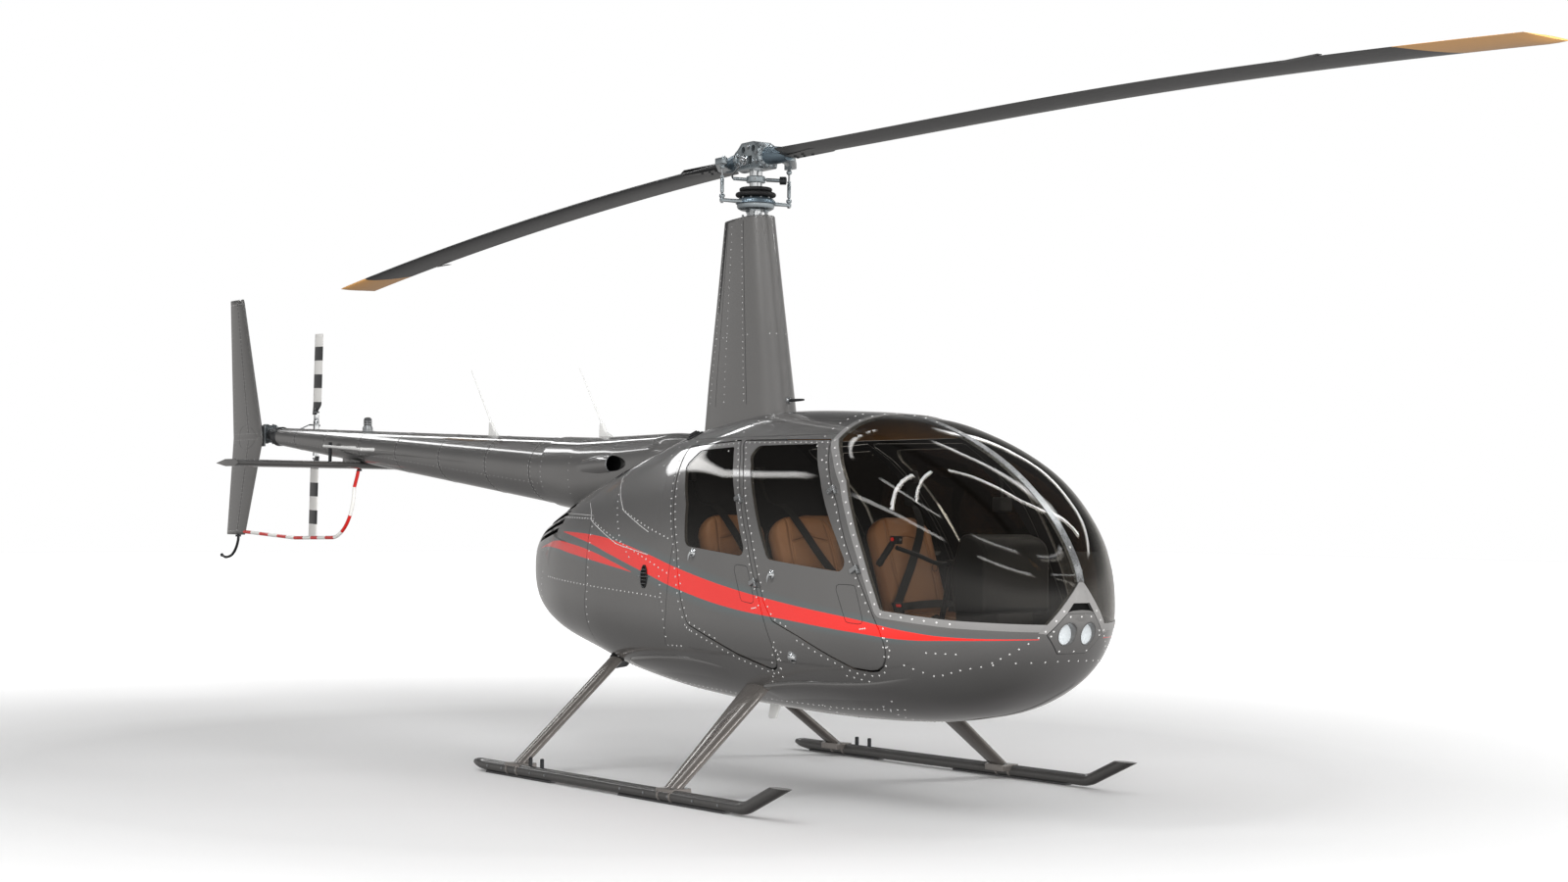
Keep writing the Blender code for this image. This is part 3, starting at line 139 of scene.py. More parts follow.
class Socket:
    """A shader socket in Python expressions: + - * / and the others add their Math nodes."""

    def __init__(self, shader, socket):
        self.shader, self.socket = shader, socket

    def math(self, operation, *others, clamp=False):
        settings = {"operation": operation, "use_clamp": clamp}
        return self.shader.node("ShaderNodeMath", settings, dict(enumerate((self, *others))))

    def __add__(self, other):
        return self.math("ADD", other)

    __radd__ = __add__

    def __mul__(self, other):
        return self.math("MULTIPLY", other)

    __rmul__ = __mul__

    def __sub__(self, other):
        return self.math("SUBTRACT", other)

    def __rsub__(self, other):
        return self.shader.node("ShaderNodeMath", {"operation": "SUBTRACT"}, {0: other, 1: self})

    def __truediv__(self, other):
        return self.math("DIVIDE", other)

    def above(self, edge, soft):
        """0 below the edge, 1 above it, over a soft width."""
        return ((self - edge) / soft + 0.5).math("ADD", 0.0, clamp=True)

    def inside(self, low, high, soft):
        return self.above(low, soft) * (1 - self.above(high, soft))


class Shader:
    """The node tree of a material, or of the world."""

    def __init__(self, name, world=None):
        self.material = world or bpy.data.materials.new(name)
        self.material.use_nodes = True
        self.nodes = self.material.node_tree.nodes
        self.links = self.material.node_tree.links
        self.surface = self.nodes["Background" if world else "Principled BSDF"]

    def node(self, kind, settings=None, inputs=None, output=0):
        """Add a node: its settings, stops or points first, then the values or links of its sockets."""
        made = self.nodes.new(kind)
        for key, value in (settings or {}).items():
            if key == "stops":
                ramp = made.color_ramp
                while len(ramp.elements) < len(value):
                    ramp.elements.new(0.5)
                for element, (position, colour) in zip(ramp.elements, value):
                    element.position, element.color = position, colour
            elif key == "points":
                curve = made.mapping.curves[0]
                while len(curve.points) < len(value):
                    curve.points.new(0.5, 0.5)
                for point, place in zip(curve.points, value):
                    point.location = place
                made.mapping.update()
            else:
                setattr(made, key, value)
        for key, value in (inputs or {}).items():
            self.feed(made.inputs[key], value)
        return Socket(self, made.outputs[output])

    def feed(self, target, value):
        if isinstance(value, Socket):
            self.links.new(value.socket, target)
        else:
            target.default_value = value

    def set(self, **values):
        """Feed the Principled shader, with underscores for the spaces in a socket's name."""
        for key, value in values.items():
            self.feed(self.surface.inputs[key.replace("_", " ")], value)
        return self

    def place(self):
        """Object coordinates measured from the datum."""
        raw = self.node("ShaderNodeTexCoord", output="Object")
        return self.node("ShaderNodeVectorMath", {"operation": "SUBTRACT"}, {0: raw, 1: tuple(PLACE)})

    def axes(self, vector):
        split = self.node("ShaderNodeSeparateXYZ", None, {0: vector})
        return [Socket(self, split.socket.node.outputs[i]) for i in range(3)]

    def noise(self, vector, scale, detail=2.0, rough=0.5, output=0):
        inputs = {"Vector": vector, "Scale": scale, "Detail": detail, "Roughness": rough}
        return self.node("ShaderNodeTexNoise", None, inputs, output)

    def cells(self, vector, scale, feature="F1", output=0):
        inputs = {"Vector": vector, "Scale": scale}
        return self.node("ShaderNodeTexVoronoi", {"feature": feature}, inputs, output)

    def mix(self, share, first, second):
        made = self.node("ShaderNodeMix", {"data_type": "RGBA"}, {0: share}, 2)
        self.feed(made.socket.node.inputs[6], first)
        self.feed(made.socket.node.inputs[7], second)
        return made

    def see_through(self, share, tint):
        """Let the light through but for a share that the surface keeps, and return the material."""
        clear = self.node("ShaderNodeBsdfTransparent", None, {"Color": rgb(tint)})
        mixed = self.node("ShaderNodeMixShader", None, {0: share, 1: clear})
        self.links.new(self.surface.outputs[0], mixed.socket.node.inputs[2])
        self.links.new(mixed.socket, self.nodes["Material Output"].inputs["Surface"])
        return self.material

    def scaled(self, vector, scale):
        return self.node("ShaderNodeVectorMath", {"operation": "MULTIPLY"}, {0: vector, 1: scale})

    def bump(self, height, strength, distance):
        inputs = {"Height": height, "Strength": strength, "Distance": distance}
        return self.set(Normal=self.node("ShaderNodeBump", None, inputs))

    def curve(self, value, table, column):
        """Read column of a table of rows (y, ...) at a Y value."""
        ys, zs = [row[0] for row in table], [row[column] for row in table]
        low_y, span_y, low_z, span_z = ys[0], ys[-1] - ys[0], min(zs), max(zs) - min(zs)
        points = [((y - low_y) / span_y, (z - low_z) / span_z) for y, z in zip(ys, zs)]
        read = self.node("ShaderNodeFloatCurve", {"points": points}, {0: 1.0, 1: (value - low_y) / span_y})
        return read * span_z + low_z


def rgb(code):
    """Linear colour of a hex code."""
    parts = [int(code[i:i + 2], 16) / 255 for i in (0, 2, 4)]
    return tuple(p / 12.92 if p < 0.04045 else ((p + 0.055) / 1.055) ** 2.4 for p in parts) + (1.0,)


# Shapes: each is (points, faces)

TINY = 1e-12


def turns(count):
    """Angles at even steps round a circle."""
    return np.linspace(0, 2 * pi, count, endpoint=False)


def unit(vectors):
    """The vector, or each row of vectors, at length 1."""
    vectors = np.asarray(vectors, float)
    return vectors / np.maximum(np.linalg.norm(vectors, axis=-1, keepdims=True), TINY)


def join(*shapes):
    """Several shapes as one."""
    points, faces, start = [], [], 0
    for shape_points, shape_faces in shapes:
        points.append(np.asarray(shape_points, float).reshape(-1, 3))
        faces.extend([tuple(start + i for i in face) for face in shape_faces])
        start += len(shape_points)
    return np.concatenate(points), faces


def loft(rings, caps=True):
    """Join closed rings of equal count, with flat ends."""
    rings = np.asarray(rings, float)
    count, sides = rings.shape[:2]
    faces = []
    for k in range(count - 1):
        for i in range(sides):
            j = (i + 1) % sides
            faces.append((k * sides + i, (k + 1) * sides + i, (k + 1) * sides + j, k * sides + j))
    if caps:
        faces.append(tuple(range(sides)))
        faces.append(tuple((count - 1) * sides + i for i in range(sides)))
    return rings.reshape(-1, 3), faces


def across(direction):
    """Two unit vectors square to a direction."""
    direction = Vector(direction).normalized()
    side = direction.cross(Vector((0, 0, 1)))
    if side.length < 0.05:
        side = direction.cross(Vector((0, 1, 0)))
    side.normalize()
    return np.array(side), np.array(side.cross(direction))


def circle(centre, radius, side, up, count):
    return [centre + radius * (cos(t) * side + sin(t) * up) for t in turns(count)]


def tube(path, radius, sides=12):
    """Sweep a circle along a path; radius is one number or one for each point."""
    path = np.asarray(path, float)
    tangents = unit(np.gradient(path, axis=0))
    side = across(tangents[0])[0]
    rings = []
    for point, tangent, size in zip(path, tangents, np.broadcast_to(np.asarray(radius, float), len(path))):
        side = unit(side - tangent * side.dot(tangent))
        rings.append(circle(point, size, side, np.cross(side, tangent), sides))
    return loft(rings)


def rod(start, end, radius, end_radius=None, sides=16):
    return tube([start, end], [radius, radius if end_radius is None else end_radius], sides)


def lathe(profile, origin=(0, 0, 0), axis=(0, 0, 1), sides=32):
    """Turn a profile of (radius, height) points about an axis."""
    side, up = across(axis)
    along = np.array(Vector(axis).normalized())
    return loft([circle(np.array(origin) + along * height, max(radius, 1e-5), side, up, sides)
                 for radius, height in profile])


def prism(outline, axis, low, high):
    """Extrude an outline of (a, b) points along X (a=y, b=z), Y (a=x, b=z) or Z (a=x, b=y)."""
    order = {"X": (2, 0, 1), "Y": (0, 2, 1), "Z": (0, 1, 2)}[axis]
    return loft([[[(a, b, c)[k] for k in order] for a, b in outline] for c in (low, high)])


def box(low, high, bevel=0.0, steps=2):
    corners = [(low[0], low[1]), (high[0], low[1]), (high[0], high[1]), (low[0], high[1])]
    shape = prism(corners, "Z", low[2], high[2])
    return bevelled(shape, bevel, steps) if bevel else shape


def plate(corners, axis, low, high, bevel=0.003, steps=2, corner_steps=5):
    """A flat piece with an outline of (a, b, radius) corners and rounded edges."""
    return bevelled(prism(rounded(corners, corner_steps), axis, low, high), bevel, steps)


def span(sign, near, far):
    """Two distances from the middle as a low and a high X on one side."""
    return sorted((sign * near, sign * far))


def placed(place, turn=0.0, axis="X"):
    """A matrix that turns a shape about an axis and then moves it."""
    return Matrix.Translation(place) @ Matrix.Rotation(turn, 4, axis)


def moved(shape, matrix):
    matrix = np.array(matrix)
    return np.asarray(shape[0], float) @ matrix[:3, :3].T + matrix[:3, 3], shape[1]


def bevelled(shape, width=0.002, steps=2, angle=30):
    """Round the sharp edges of a shape."""
    work = bmesh.new()
    corners = [work.verts.new(p) for p in shape[0]]
    for face in shape[1]:
        if len(set(face)) > 2:
            try:
                work.faces.new([corners[i] for i in face])
            except ValueError:
                continue
    bmesh.ops.remove_doubles(work, verts=work.verts, dist=1e-6)
    bmesh.ops.recalc_face_normals(work, faces=work.faces)
    sharp = [e for e in work.edges if len(e.link_faces) == 2 and e.calc_face_angle(0) > math.radians(angle)]
    bmesh.ops.bevel(work, geom=sharp, offset=width, segments=steps, profile=0.6, affect="EDGES",
                    clamp_overlap=True)
    work.verts.index_update()
    made = np.array([v.co[:] for v in work.verts]), [tuple(v.index for v in f.verts) for f in work.faces]
    work.free()
    return made


def smooth_path(points, step=0.02):
    """A curve through points, with even steps."""
    points = np.asarray(points, float)
    ends = np.vstack((2 * points[0] - points[1], points, 2 * points[-1] - points[-2]))
    run = []
    for a, b, c, d in zip(ends, ends[1:], ends[2:], ends[3:]):
        count = max(2, int(np.linalg.norm(c - b) / step) + 1)
        for t in np.linspace(0, 1, count, endpoint=False):
            run.append(0.5 * (2 * b + (c - a) * t + (2 * a - 5 * b + 4 * c - d) * t ** 2
                              + (3 * b - a - 3 * c + d) * t ** 3))
    return np.array(run + [points[-1]])


def spaced(points, step, close=False):
    """Points at even distances along a polyline."""
    points = np.asarray(points, float)
    if close:
        points = np.vstack((points, points[:1]))
    lengths = run_lengths(points)
    at = np.linspace(0, lengths[-1], max(1, round(lengths[-1] / step)) + 1)
    if close:
        at = at[:-1]
    return np.stack([np.interp(at, lengths, column) for column in points.T], axis=1)


def run_lengths(points):
    """How far along a polyline each of its points lies."""
    return np.concatenate(([0], np.cumsum(np.linalg.norm(np.diff(points, axis=0), axis=1))))


def rounded(outline, steps=5):
    """Turn (a, b, radius) corners into points, with an arc where the radius isn't 0."""
    points = []
    for i, (a, b, radius) in enumerate(outline):
        corner = Vector((a, b))
        if not radius:
            points.append(corner)
            continue
        before = (Vector(outline[i - 1][:2]) - corner).normalized()
        after = (Vector(outline[(i + 1) % len(outline)][:2]) - corner).normalized()
        half = before.angle(after) / 2
        centre = corner + (before + after).normalized() * radius / sin(half)
        start, end = [corner + way * radius / math.tan(half) - centre for way in (before, after)]
        sweep = start.angle_signed(end)
        points += [centre + Matrix.Rotation(-sweep * k / steps, 2) @ start for k in range(steps + 1)]
    return points


def grow(points, distance):
    """Move each side of a closed outline outwards."""
    points = [Vector(p) for p in points]
    area = sum(p.x * q.y - q.x * p.y for p, q in zip(points, points[1:] + points[:1]))
    outward = distance if area > 0 else -distance
    out = []
    for i, point in enumerate(points):
        before = (point - points[i - 1]).normalized()
        after = (points[(i + 1) % len(points)] - point).normalized()
        normals = Vector((before.y, -before.x)), Vector((after.y, -after.x))
        mitre = (normals[0] + normals[1]).normalized()
        out.append(point + mitre * outward / max(0.3, mitre.dot(normals[1])))
    return out


def bordered(corners, distance):
    """The outline of (a, b, radius) corners, grown by a distance, as an array."""
    return np.array([p[:] for p in grow(rounded(corners), distance)])


DOME_PROFILE = ((1.0, -0.2), (0.92, 0.45), (0.55, 0.88))


def domes(run, radius=0.003, height=0.0016, sides=8):
    """One low round head on each place of a run of (places, normals), as one shape: rivets and screws."""
    points, faces = [], []
    for place, normal in zip(*run):
        side, up = across(normal)
        start = len(points)
        for share, rise in DOME_PROFILE:
            for t in turns(sides):
                points.append(place + radius * share * (cos(t) * side + sin(t) * up) + normal * height * rise)
        points.append(place + normal * height)
        ring = [[start + k * sides + i for i in range(sides)] for k in range(len(DOME_PROFILE))]
        for low, high in zip(ring, ring[1:]):
            faces += [(low[i - sides], low[i - sides + 1], high[i - sides + 1], high[i - sides])
                      for i in range(sides)]
        faces += [(ring[-1][i - sides], ring[-1][i - sides + 1], len(points) - 1) for i in range(sides)]
        faces.append(tuple(reversed(ring[0])))
    return np.array(points), faces


def bolt(place, axis, size=0.008, height=0.006):
    """A hexagon head on a washer."""
    head = lathe([(size, 0.001), (size, height * 0.8), (size * 0.86, height), (0, height)], place, axis, 6)
    washer = lathe([(size * 1.35, -0.001), (size * 1.35, 0.0012), (0, 0.0012)], place, axis, 16)
    return join(head, washer)


def bolts(places, axis, size=0.008, height=0.006):
    return join(*[bolt(place, axis, size, height) for place in places])


def ribbon(run, width, height, wide=None):
    """A flat strip with rounded edges that lies on a surface, along a run of (places, normals)."""
    places, normals = [np.array(list(part), float) for part in run]
    tangents = np.gradient(places, axis=0)
    rings = []
    for k, (place, normal, tangent) in enumerate(zip(places, normals, tangents)):
        side = unit(np.cross(tangent, normal))
        half = (wide[k] if wide is not None else width) / 2
        rings.append([place + side * half * a + normal * height * b
                      for a, b in ((-1, -0.6), (-1, 0.6), (-0.8, 1), (0.8, 1), (1, 0.6), (1, -0.6))])
    return loft(rings)


def mesh_of(name, shape):
    """A new mesh of a closed shape, its faces all outward."""
    mesh = bpy.data.meshes.new(name)
    mesh.from_pydata(np.asarray(shape[0], float).tolist(), [], [tuple(f) for f in shape[1]])
    work = bmesh.new()
    work.from_mesh(mesh)
    bmesh.ops.recalc_face_normals(work, faces=work.faces)
    work.to_mesh(mesh)
    work.free()
    return mesh


def linked(name, data):
    """A new object in the scene."""
    made = bpy.data.objects.new(name, data)
    bpy.context.scene.collection.objects.link(made)
    return made


def applied(made):
    """A new mesh with the object's modifiers in it."""
    graph = bpy.context.evaluated_depsgraph_get()
    return bpy.data.meshes.new_from_object(made.evaluated_get(graph))


def points_of(mesh):
    points = np.empty(len(mesh.vertices) * 3)
    mesh.vertices.foreach_get("co", points)
    return points.reshape(-1, 3)


def shape_of(mesh):
    """The shape in a mesh, which is then removed."""
    shape = points_of(mesh), [tuple(p.vertices) for p in mesh.polygons]
    bpy.data.meshes.remove(mesh)
    return shape


def carve(shape, *steps):
    """Cut, keep or add other closed shapes: steps are (operation, shape)."""
    made = [linked(f"carve_{k}", mesh_of(f"carve_{k}", one))
            for k, one in enumerate((shape, *[other for operation, other in steps]))]
    for operand, (operation, other) in zip(made[1:], steps):
        modifier = made[0].modifiers.new(operation, "BOOLEAN")
        modifier.operation, modifier.object, modifier.solver = operation, operand, "MANIFOLD"
        operand.hide_set(True)
    mesh = applied(made[0])
    for old in made:
        old_mesh = old.data
        bpy.data.objects.remove(old)
        bpy.data.meshes.remove(old_mesh)
    return shape_of(mesh)


def cut(shape, *others):
    """Cut other closed shapes out of one."""
    return carve(shape, *[("DIFFERENCE", other) for other in others])


def piece(name, parts, body="airframe", slot="body_grey", stands_for=(), smooth=38, polish=None):
    """Add a piece that rides on a body. Parts are (shape, finish), or (shape, a finish for each face)."""
    points, faces = join(*[shape for shape, finish in parts])
    each = []
    for shape, finish in parts:
        each += [finish] * len(shape[1]) if isinstance(finish, str) else finish
    finishes = list(dict.fromkeys(each))
    mesh = mesh_of(name, (points + PLACE, faces))
    mesh.polygons.foreach_set("material_index", [finishes.index(one) for one in each])
    for finish in finishes:
        mesh.materials.append(finish_of(finish))
    mesh.shade_smooth()
    mesh.set_sharp_from_angle(angle=math.radians(smooth))
    if polish:
        polish(mesh)
    made = linked(name, mesh)
    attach(made, body)
    if stands_for:
        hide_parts(*stands_for)
    return made


# The skin of cabin and cowl

NOSE_TO_COWL = (NOSE_Y + COWL_END_Y) / 2, (COWL_END_Y - NOSE_Y) / 2
FINE = 0.002


def section_at(y):
    """Half width, top, bottom, widest height and both fullnesses of the skin at places along Y."""
    middle, half = NOSE_TO_COWL
    places = np.arccos(np.clip((middle - SECTIONS[:, 0]) / half, -1, 1))
    at = np.arccos(np.clip((middle - np.asarray(y, float)) / half, -1, 1))
    step = np.diff(places)
    k = np.clip(np.searchsorted(places, at) - 1, 0, len(step) - 1)
    t = (at - places[k]) / step[k]
    columns = []
    for values in SECTIONS[:, 1:].T:
        slope = np.diff(values) / step
        tangent = np.zeros(len(places))
        tangent[0], tangent[-1] = slope[0], slope[-1]
        for i in range(1, len(places) - 1):
            if slope[i - 1] * slope[i] > 0:
                a, b = 2 * step[i] + step[i - 1], step[i] + 2 * step[i - 1]
                tangent[i] = (a + b) / (a / slope[i - 1] + b / slope[i])
        start = (1 + 2 * t) * (1 - t) ** 2 * values[k] + t * (1 - t) ** 2 * step[k] * tangent[k]
        columns.append(start + t * t * (3 - 2 * t) * values[k + 1] + t * t * (t - 1) * step[k]
                       * tangent[k + 1])
    return columns


def fullness(points):
    """1 on the skin, less inside it and more outside."""
    width, top, bottom, belt, above, below = section_at(points[:, 1])
    upper = points[:, 2] >= belt
    reach = np.maximum(np.where(upper, top - belt, belt - bottom), 1e-6)
    power = np.where(upper, above, below)
    wide = np.abs(points[:, 0]) / np.maximum(width, 1e-6)
    return wide ** power + (np.abs(points[:, 2] - belt) / reach) ** power


def skin_normals(points):
    """Outward unit normals of the skin at points on or near it."""
    points = np.asarray(points, float)
    return unit(np.stack([fullness(points + FINE * axis) - fullness(points - FINE * axis)
                          for axis in np.eye(3)], axis=1))


def hull(inset=0.0, stations=101, sides=144):
    """The skin as a closed surface, or one that lies a distance inside it."""
    middle, half = NOSE_TO_COWL
    y = middle - half * np.cos(np.linspace(0, pi, stations))
    width, top, bottom, belt, above, below = [c[:, None] for c in section_at(y)]
    turn = turns(sides)[None, :]
    upper = np.cos(turn) >= 0
    power = 2 / np.where(upper, above, below)
    out_x = width * np.sign(np.sin(turn)) * np.abs(np.sin(turn)) ** power
    cosine = np.round(np.cos(turn), 9)
    up_z = belt + np.where(upper, top - belt, belt - bottom) * np.sign(cosine) * np.abs(cosine) ** power
    grid = np.stack((out_x, np.broadcast_to(y[:, None], out_x.shape), up_z), axis=2)
    around = np.roll(grid, -1, axis=1) - np.roll(grid, 1, axis=1)
    points, faces = loft((grid - inset * unit(np.cross(around, np.gradient(grid, axis=0))))[1:-1], caps=False)
    nose = (0, NOSE_Y + inset, (top[0, 0] + bottom[0, 0]) / 2)
    tail = (0, COWL_END_Y - inset, (top[-1, 0] + bottom[-1, 0]) / 2)
    first, last = len(points), len(points) + 1
    aft = len(points) - sides
    for i in range(sides):
        j = (i + 1) % sides
        faces += [(first, i, j), (last, aft + j, aft + i)]
    return np.vstack((points, nose, tail)), faces


SKIN = BVHTree.FromPolygons(*(list(map(tuple, part)) for part in hull()))


def skin_run(rays, lift):
    """Places and normals where rays of (start, direction) meet the skin; a ray that misses is left out."""
    found = [SKIN.ray_cast(Vector(start), Vector(direction))[0] for start, direction in rays]
    places = np.array([p[:] for p in found if p])
    normals = skin_normals(places)
    return places + normals * lift, normals


def on_skin(path, side, lift=0.0):
    """Where a path of (y, z) points meets one side of the skin."""
    return skin_run([((side * 2.0, y, z), (-side, 0, 0)) for y, z in path], lift)


def on_top(path, lift=0.0, below=False):
    """Where a path of (x, y) points meets the skin's top, or its belly."""
    height, fall = (0.0, 1) if below else (3.0, -1)
    return skin_run([((x, y, height), (0, 0, fall)) for x, y in path], lift)


def on_nose(path, lift=0.0):
    """Where a path of (x, z) points meets the nose."""
    return skin_run([((x, -4.0, z), (0, 1, 0)) for x, z in path], lift)


def first_of(run):
    """The first place of a run and its normal."""
    return run[0][0], run[1][0]


def together(runs):
    """Runs of (places, normals) as one."""
    return [np.concatenate(column) for column in zip(*runs)]


def firewall_y(z):
    (y0, z0), (y1, z1) = FIREWALL_FOOT, FIREWALL_HEAD
    return y0 + (y1 - y0) * (z - z0) / (z1 - z0)


def ahead_of_firewall(offset, forward=True):
    reach = -9.0 if forward else 9.0
    outline = [(firewall_y(-1) + offset, -1), (firewall_y(4) + offset, 4), (reach, 4), (reach, -1)]
    return prism(outline, "X", -2, 2)


def face_normals(points, faces):
    """Unit normal and centre of each face."""
    rings = [points[list(face)] for face in faces]
    slopes = [np.cross(ring, np.roll(ring, -1, axis=0)).sum(0) for ring in rings]
    return unit(slopes), np.array([ring.mean(0) for ring in rings])


def skin_polish(mesh):
    """Give the outer faces of a skin piece the skin's own normals, so that its gloss has no facets."""
    corners = np.empty(len(mesh.loops), np.int32)
    mesh.loops.foreach_get("vertex_index", corners)
    outward = skin_normals(points_of(mesh) - PLACE)
    normals = np.empty(len(mesh.loops) * 3)
    mesh.corner_normals.foreach_get("vector", normals)
    normals = normals.reshape(-1, 3)
    for face in mesh.polygons:
        ends = slice(face.loop_start, face.loop_start + face.loop_total)
        facing = np.dot(outward[corners[ends]].mean(0), face.normal)
        if abs(facing) > 0.96:
            normals[ends] = outward[corners[ends]] * np.sign(facing)
    mesh.normals_split_custom_set(normals.tolist())


def skin_piece(name, shape, outside="cabin_paint", inside="trim", with_parts=(), **rest):
    """A panel of the skin, painted outside and on its edges, and trimmed inside."""
    normals, centres = face_normals(*shape)
    facing = np.einsum("ij,ij->i", normals, skin_normals(centres))
    finishes = [inside if value < -0.8 else outside for value in facing]
    return piece(name, [(shape, finishes), *with_parts], polish=skin_polish, **rest)


# Finishes, each made once and kept by name

MADE = {}
BLACK, WHITE = (0.0, 0.0, 0.0, 1.0), (1.0, 1.0, 1.0, 1.0)
BASE_METAL = 0.55
REST_TURN = math.radians(-2.6)
ROTOR_Y = -0.045
BLADE_TIP_START = 4.585


def finish_of(name):
    if name not in MADE:
        MADE[name] = FINISHES[name](name)
    return MADE[name]


def plain(base, roughness, metallic=0.0, coat=0.0, grain=0.0, scale=60.0, streak=(1, 1, 1), bump=0.0):
    """A finish of one colour with the slight unevenness of handling: grain is how much the shade varies."""
    def make(name):
        shader = Shader(name)
        place = shader.scaled(shader.place(), streak)
        coarse, fine = shader.noise(place, scale * 0.12, 3.0), shader.noise(place, scale, 4.0, 0.6)
        dark, light = [(*[min(1.0, c * share) for c in rgb(base)[:3]], 1.0)
                       for share in (1 - grain, 1 + grain)]
        shader.set(Base_Color=shader.mix(coarse * 0.6 + fine * 0.4, dark, light))
        shader.set(Roughness=(fine - 0.5) * roughness * 0.35 + roughness, Metallic=metallic)
        shader.set(Coat_Weight=coat, Coat_Roughness=0.04)
        if bump:
            shader.bump(fine, 0.6, bump)
        return shader.material
    return make


def stripes(shader, place):
    """How much red the flash and the spear lay on a place, and how much of their soft edge."""
    _, y, z = shader.axes(place)
    share, halo = 0.0, 0.0
    for table in (FLASH, SPEAR):
        top, low = shader.curve(y, table, 1), shader.curve(y, table, 2)
        along = y.inside(table[0][0], table[-1][0], 0.002)
        width = (top - low).math("MAXIMUM", 0.0)
        stripe = (z - low).above(0.0, 0.0016) * (top - z).above(0.0, 0.0016) * along
        share = stripe * width.above(0.0012, 0.001) + share
        away = (z - low).math("ABSOLUTE").math("MINIMUM", (z - top).math("ABSOLUTE"))
        near = (1 - away / (width * 0.35 + 0.012)).math("MAXIMUM", 0.0)
        halo = near * along * width.above(0.004, 0.006) + halo
    return share, halo


def paint(striped):
    """Metallic charcoal under a clear coat; the cabin's carries the red flash and its grey-blue edge."""
    def make(name):
        shader = Shader(name)
        place = shader.place()
        speck = shader.axes(shader.cells(place, 2400.0, output=1))[0]
        cloud = shader.noise(place, 1.3, 3.0)
        looks = bpy.context.scene.helicopter_paint
        body = shader.mix(cloud, (*looks.body_dark, 1.0), (*looks.body_light, 1.0))
        body = shader.mix(speck * 0.22, body, rgb("8d8c8b"))
        metallic = BASE_METAL
        if striped:
            share, halo = stripes(shader, place)
            body = shader.mix((halo * 0.55).math("MINIMUM", 0.6), body, rgb("5f7376"))
            red = shader.mix(cloud, (*looks.stripe_dark, 1.0), (*looks.stripe_light, 1.0))
            share = share.math("MINIMUM", 1.0)
            body = shader.mix(share, body, red)
            metallic = (1 - share) * BASE_METAL
        shader.set(Base_Color=body, Metallic=metallic, Roughness=speck * 0.08 + 0.30)
        shader.set(Coat_Weight=1.0, Coat_Roughness=0.035)
        shader.bump(shader.noise(place, 90.0, 2.0), 0.05, 0.0006)
        return shader.material
    return make


def glazing(name):
    """Thin clear pane: mostly see-through, with a gloss that grows at grazing angles."""
    shader = Shader(name)
    shader.set(Base_Color=rgb("c8c8c8"), Metallic=1.0, Roughness=0.02)
    facing = shader.node("ShaderNodeLayerWeight", None, {"Blend": 0.5}, "Facing")
    return shader.see_through(facing.math("POWER", 4.5) * 0.95 + 0.035, "e6e4e0")


def lamp_glass(name):
    """Clear lens with fine upright flutes."""
    shader = Shader(name)
    x = shader.axes(shader.place())[0]
    shader.set(Base_Color=rgb("e9ebec"), Roughness=0.04, Metallic=0.0)
    shader.bump((x * 900.0).math("SINE"), 0.5, 0.002)
    return shader.see_through(0.35, "f4f6f7")


def leather(name):
    """Brown upholstery leather: fine pebble grain, with painted shade darkening its creases."""
    shader = Shader(name)
    place = shader.place()
    pebble = shader.cells(place, 420.0, "SMOOTH_F1")
    wrinkle = shader.noise(place, 38.0, 5.0, 0.6)
    wide = shader.noise(place, 4.0, 2.0)
    looks = bpy.context.scene.helicopter_paint
    colour = shader.mix(wide, (*looks.leather_dark, 1.0), (*looks.leather_light, 1.0))
    # Darker brown in the creases between the pebbles: painted shade
    colour = shader.mix(pebble * 0.35, colour, rgb("563825"))
    shader.set(Base_Color=colour, Roughness=wrinkle * 0.22 + 0.36, Coat_Weight=0.15, Coat_Roughness=0.3)
    shader.bump(wrinkle * 0.4 - pebble * 0.6, 0.35, 0.0012)
    return shader.material


def webbing(name):
    """Black belt webbing with a close diagonal weave."""
    shader = Shader(name)
    x, y, z = shader.axes(shader.place())
    weave = ((x + z + y * 0.5) * 1500.0).math("SINE") * ((z - x) * 900.0).math("SINE")
    shader.set(Base_Color=shader.mix(weave * 0.5 + 0.5, rgb("0c0c0d"), rgb("222325")), Roughness=0.72)
    shader.bump(weave, 0.4, 0.0006)
    return shader.material


def fabric(dark, light, scale):
    def make(name):
        shader = Shader(name)
        place = shader.place()
        fuzz, patch = shader.noise(place, scale, 6.0, 0.75), shader.noise(place, 6.0, 2.0)
        shader.set(Base_Color=shader.mix(fuzz * 0.7 + patch * 0.3, rgb(dark), rgb(light)), Roughness=0.92)
        shader.bump(fuzz, 0.5, 0.002)
        return shader.material
    return make


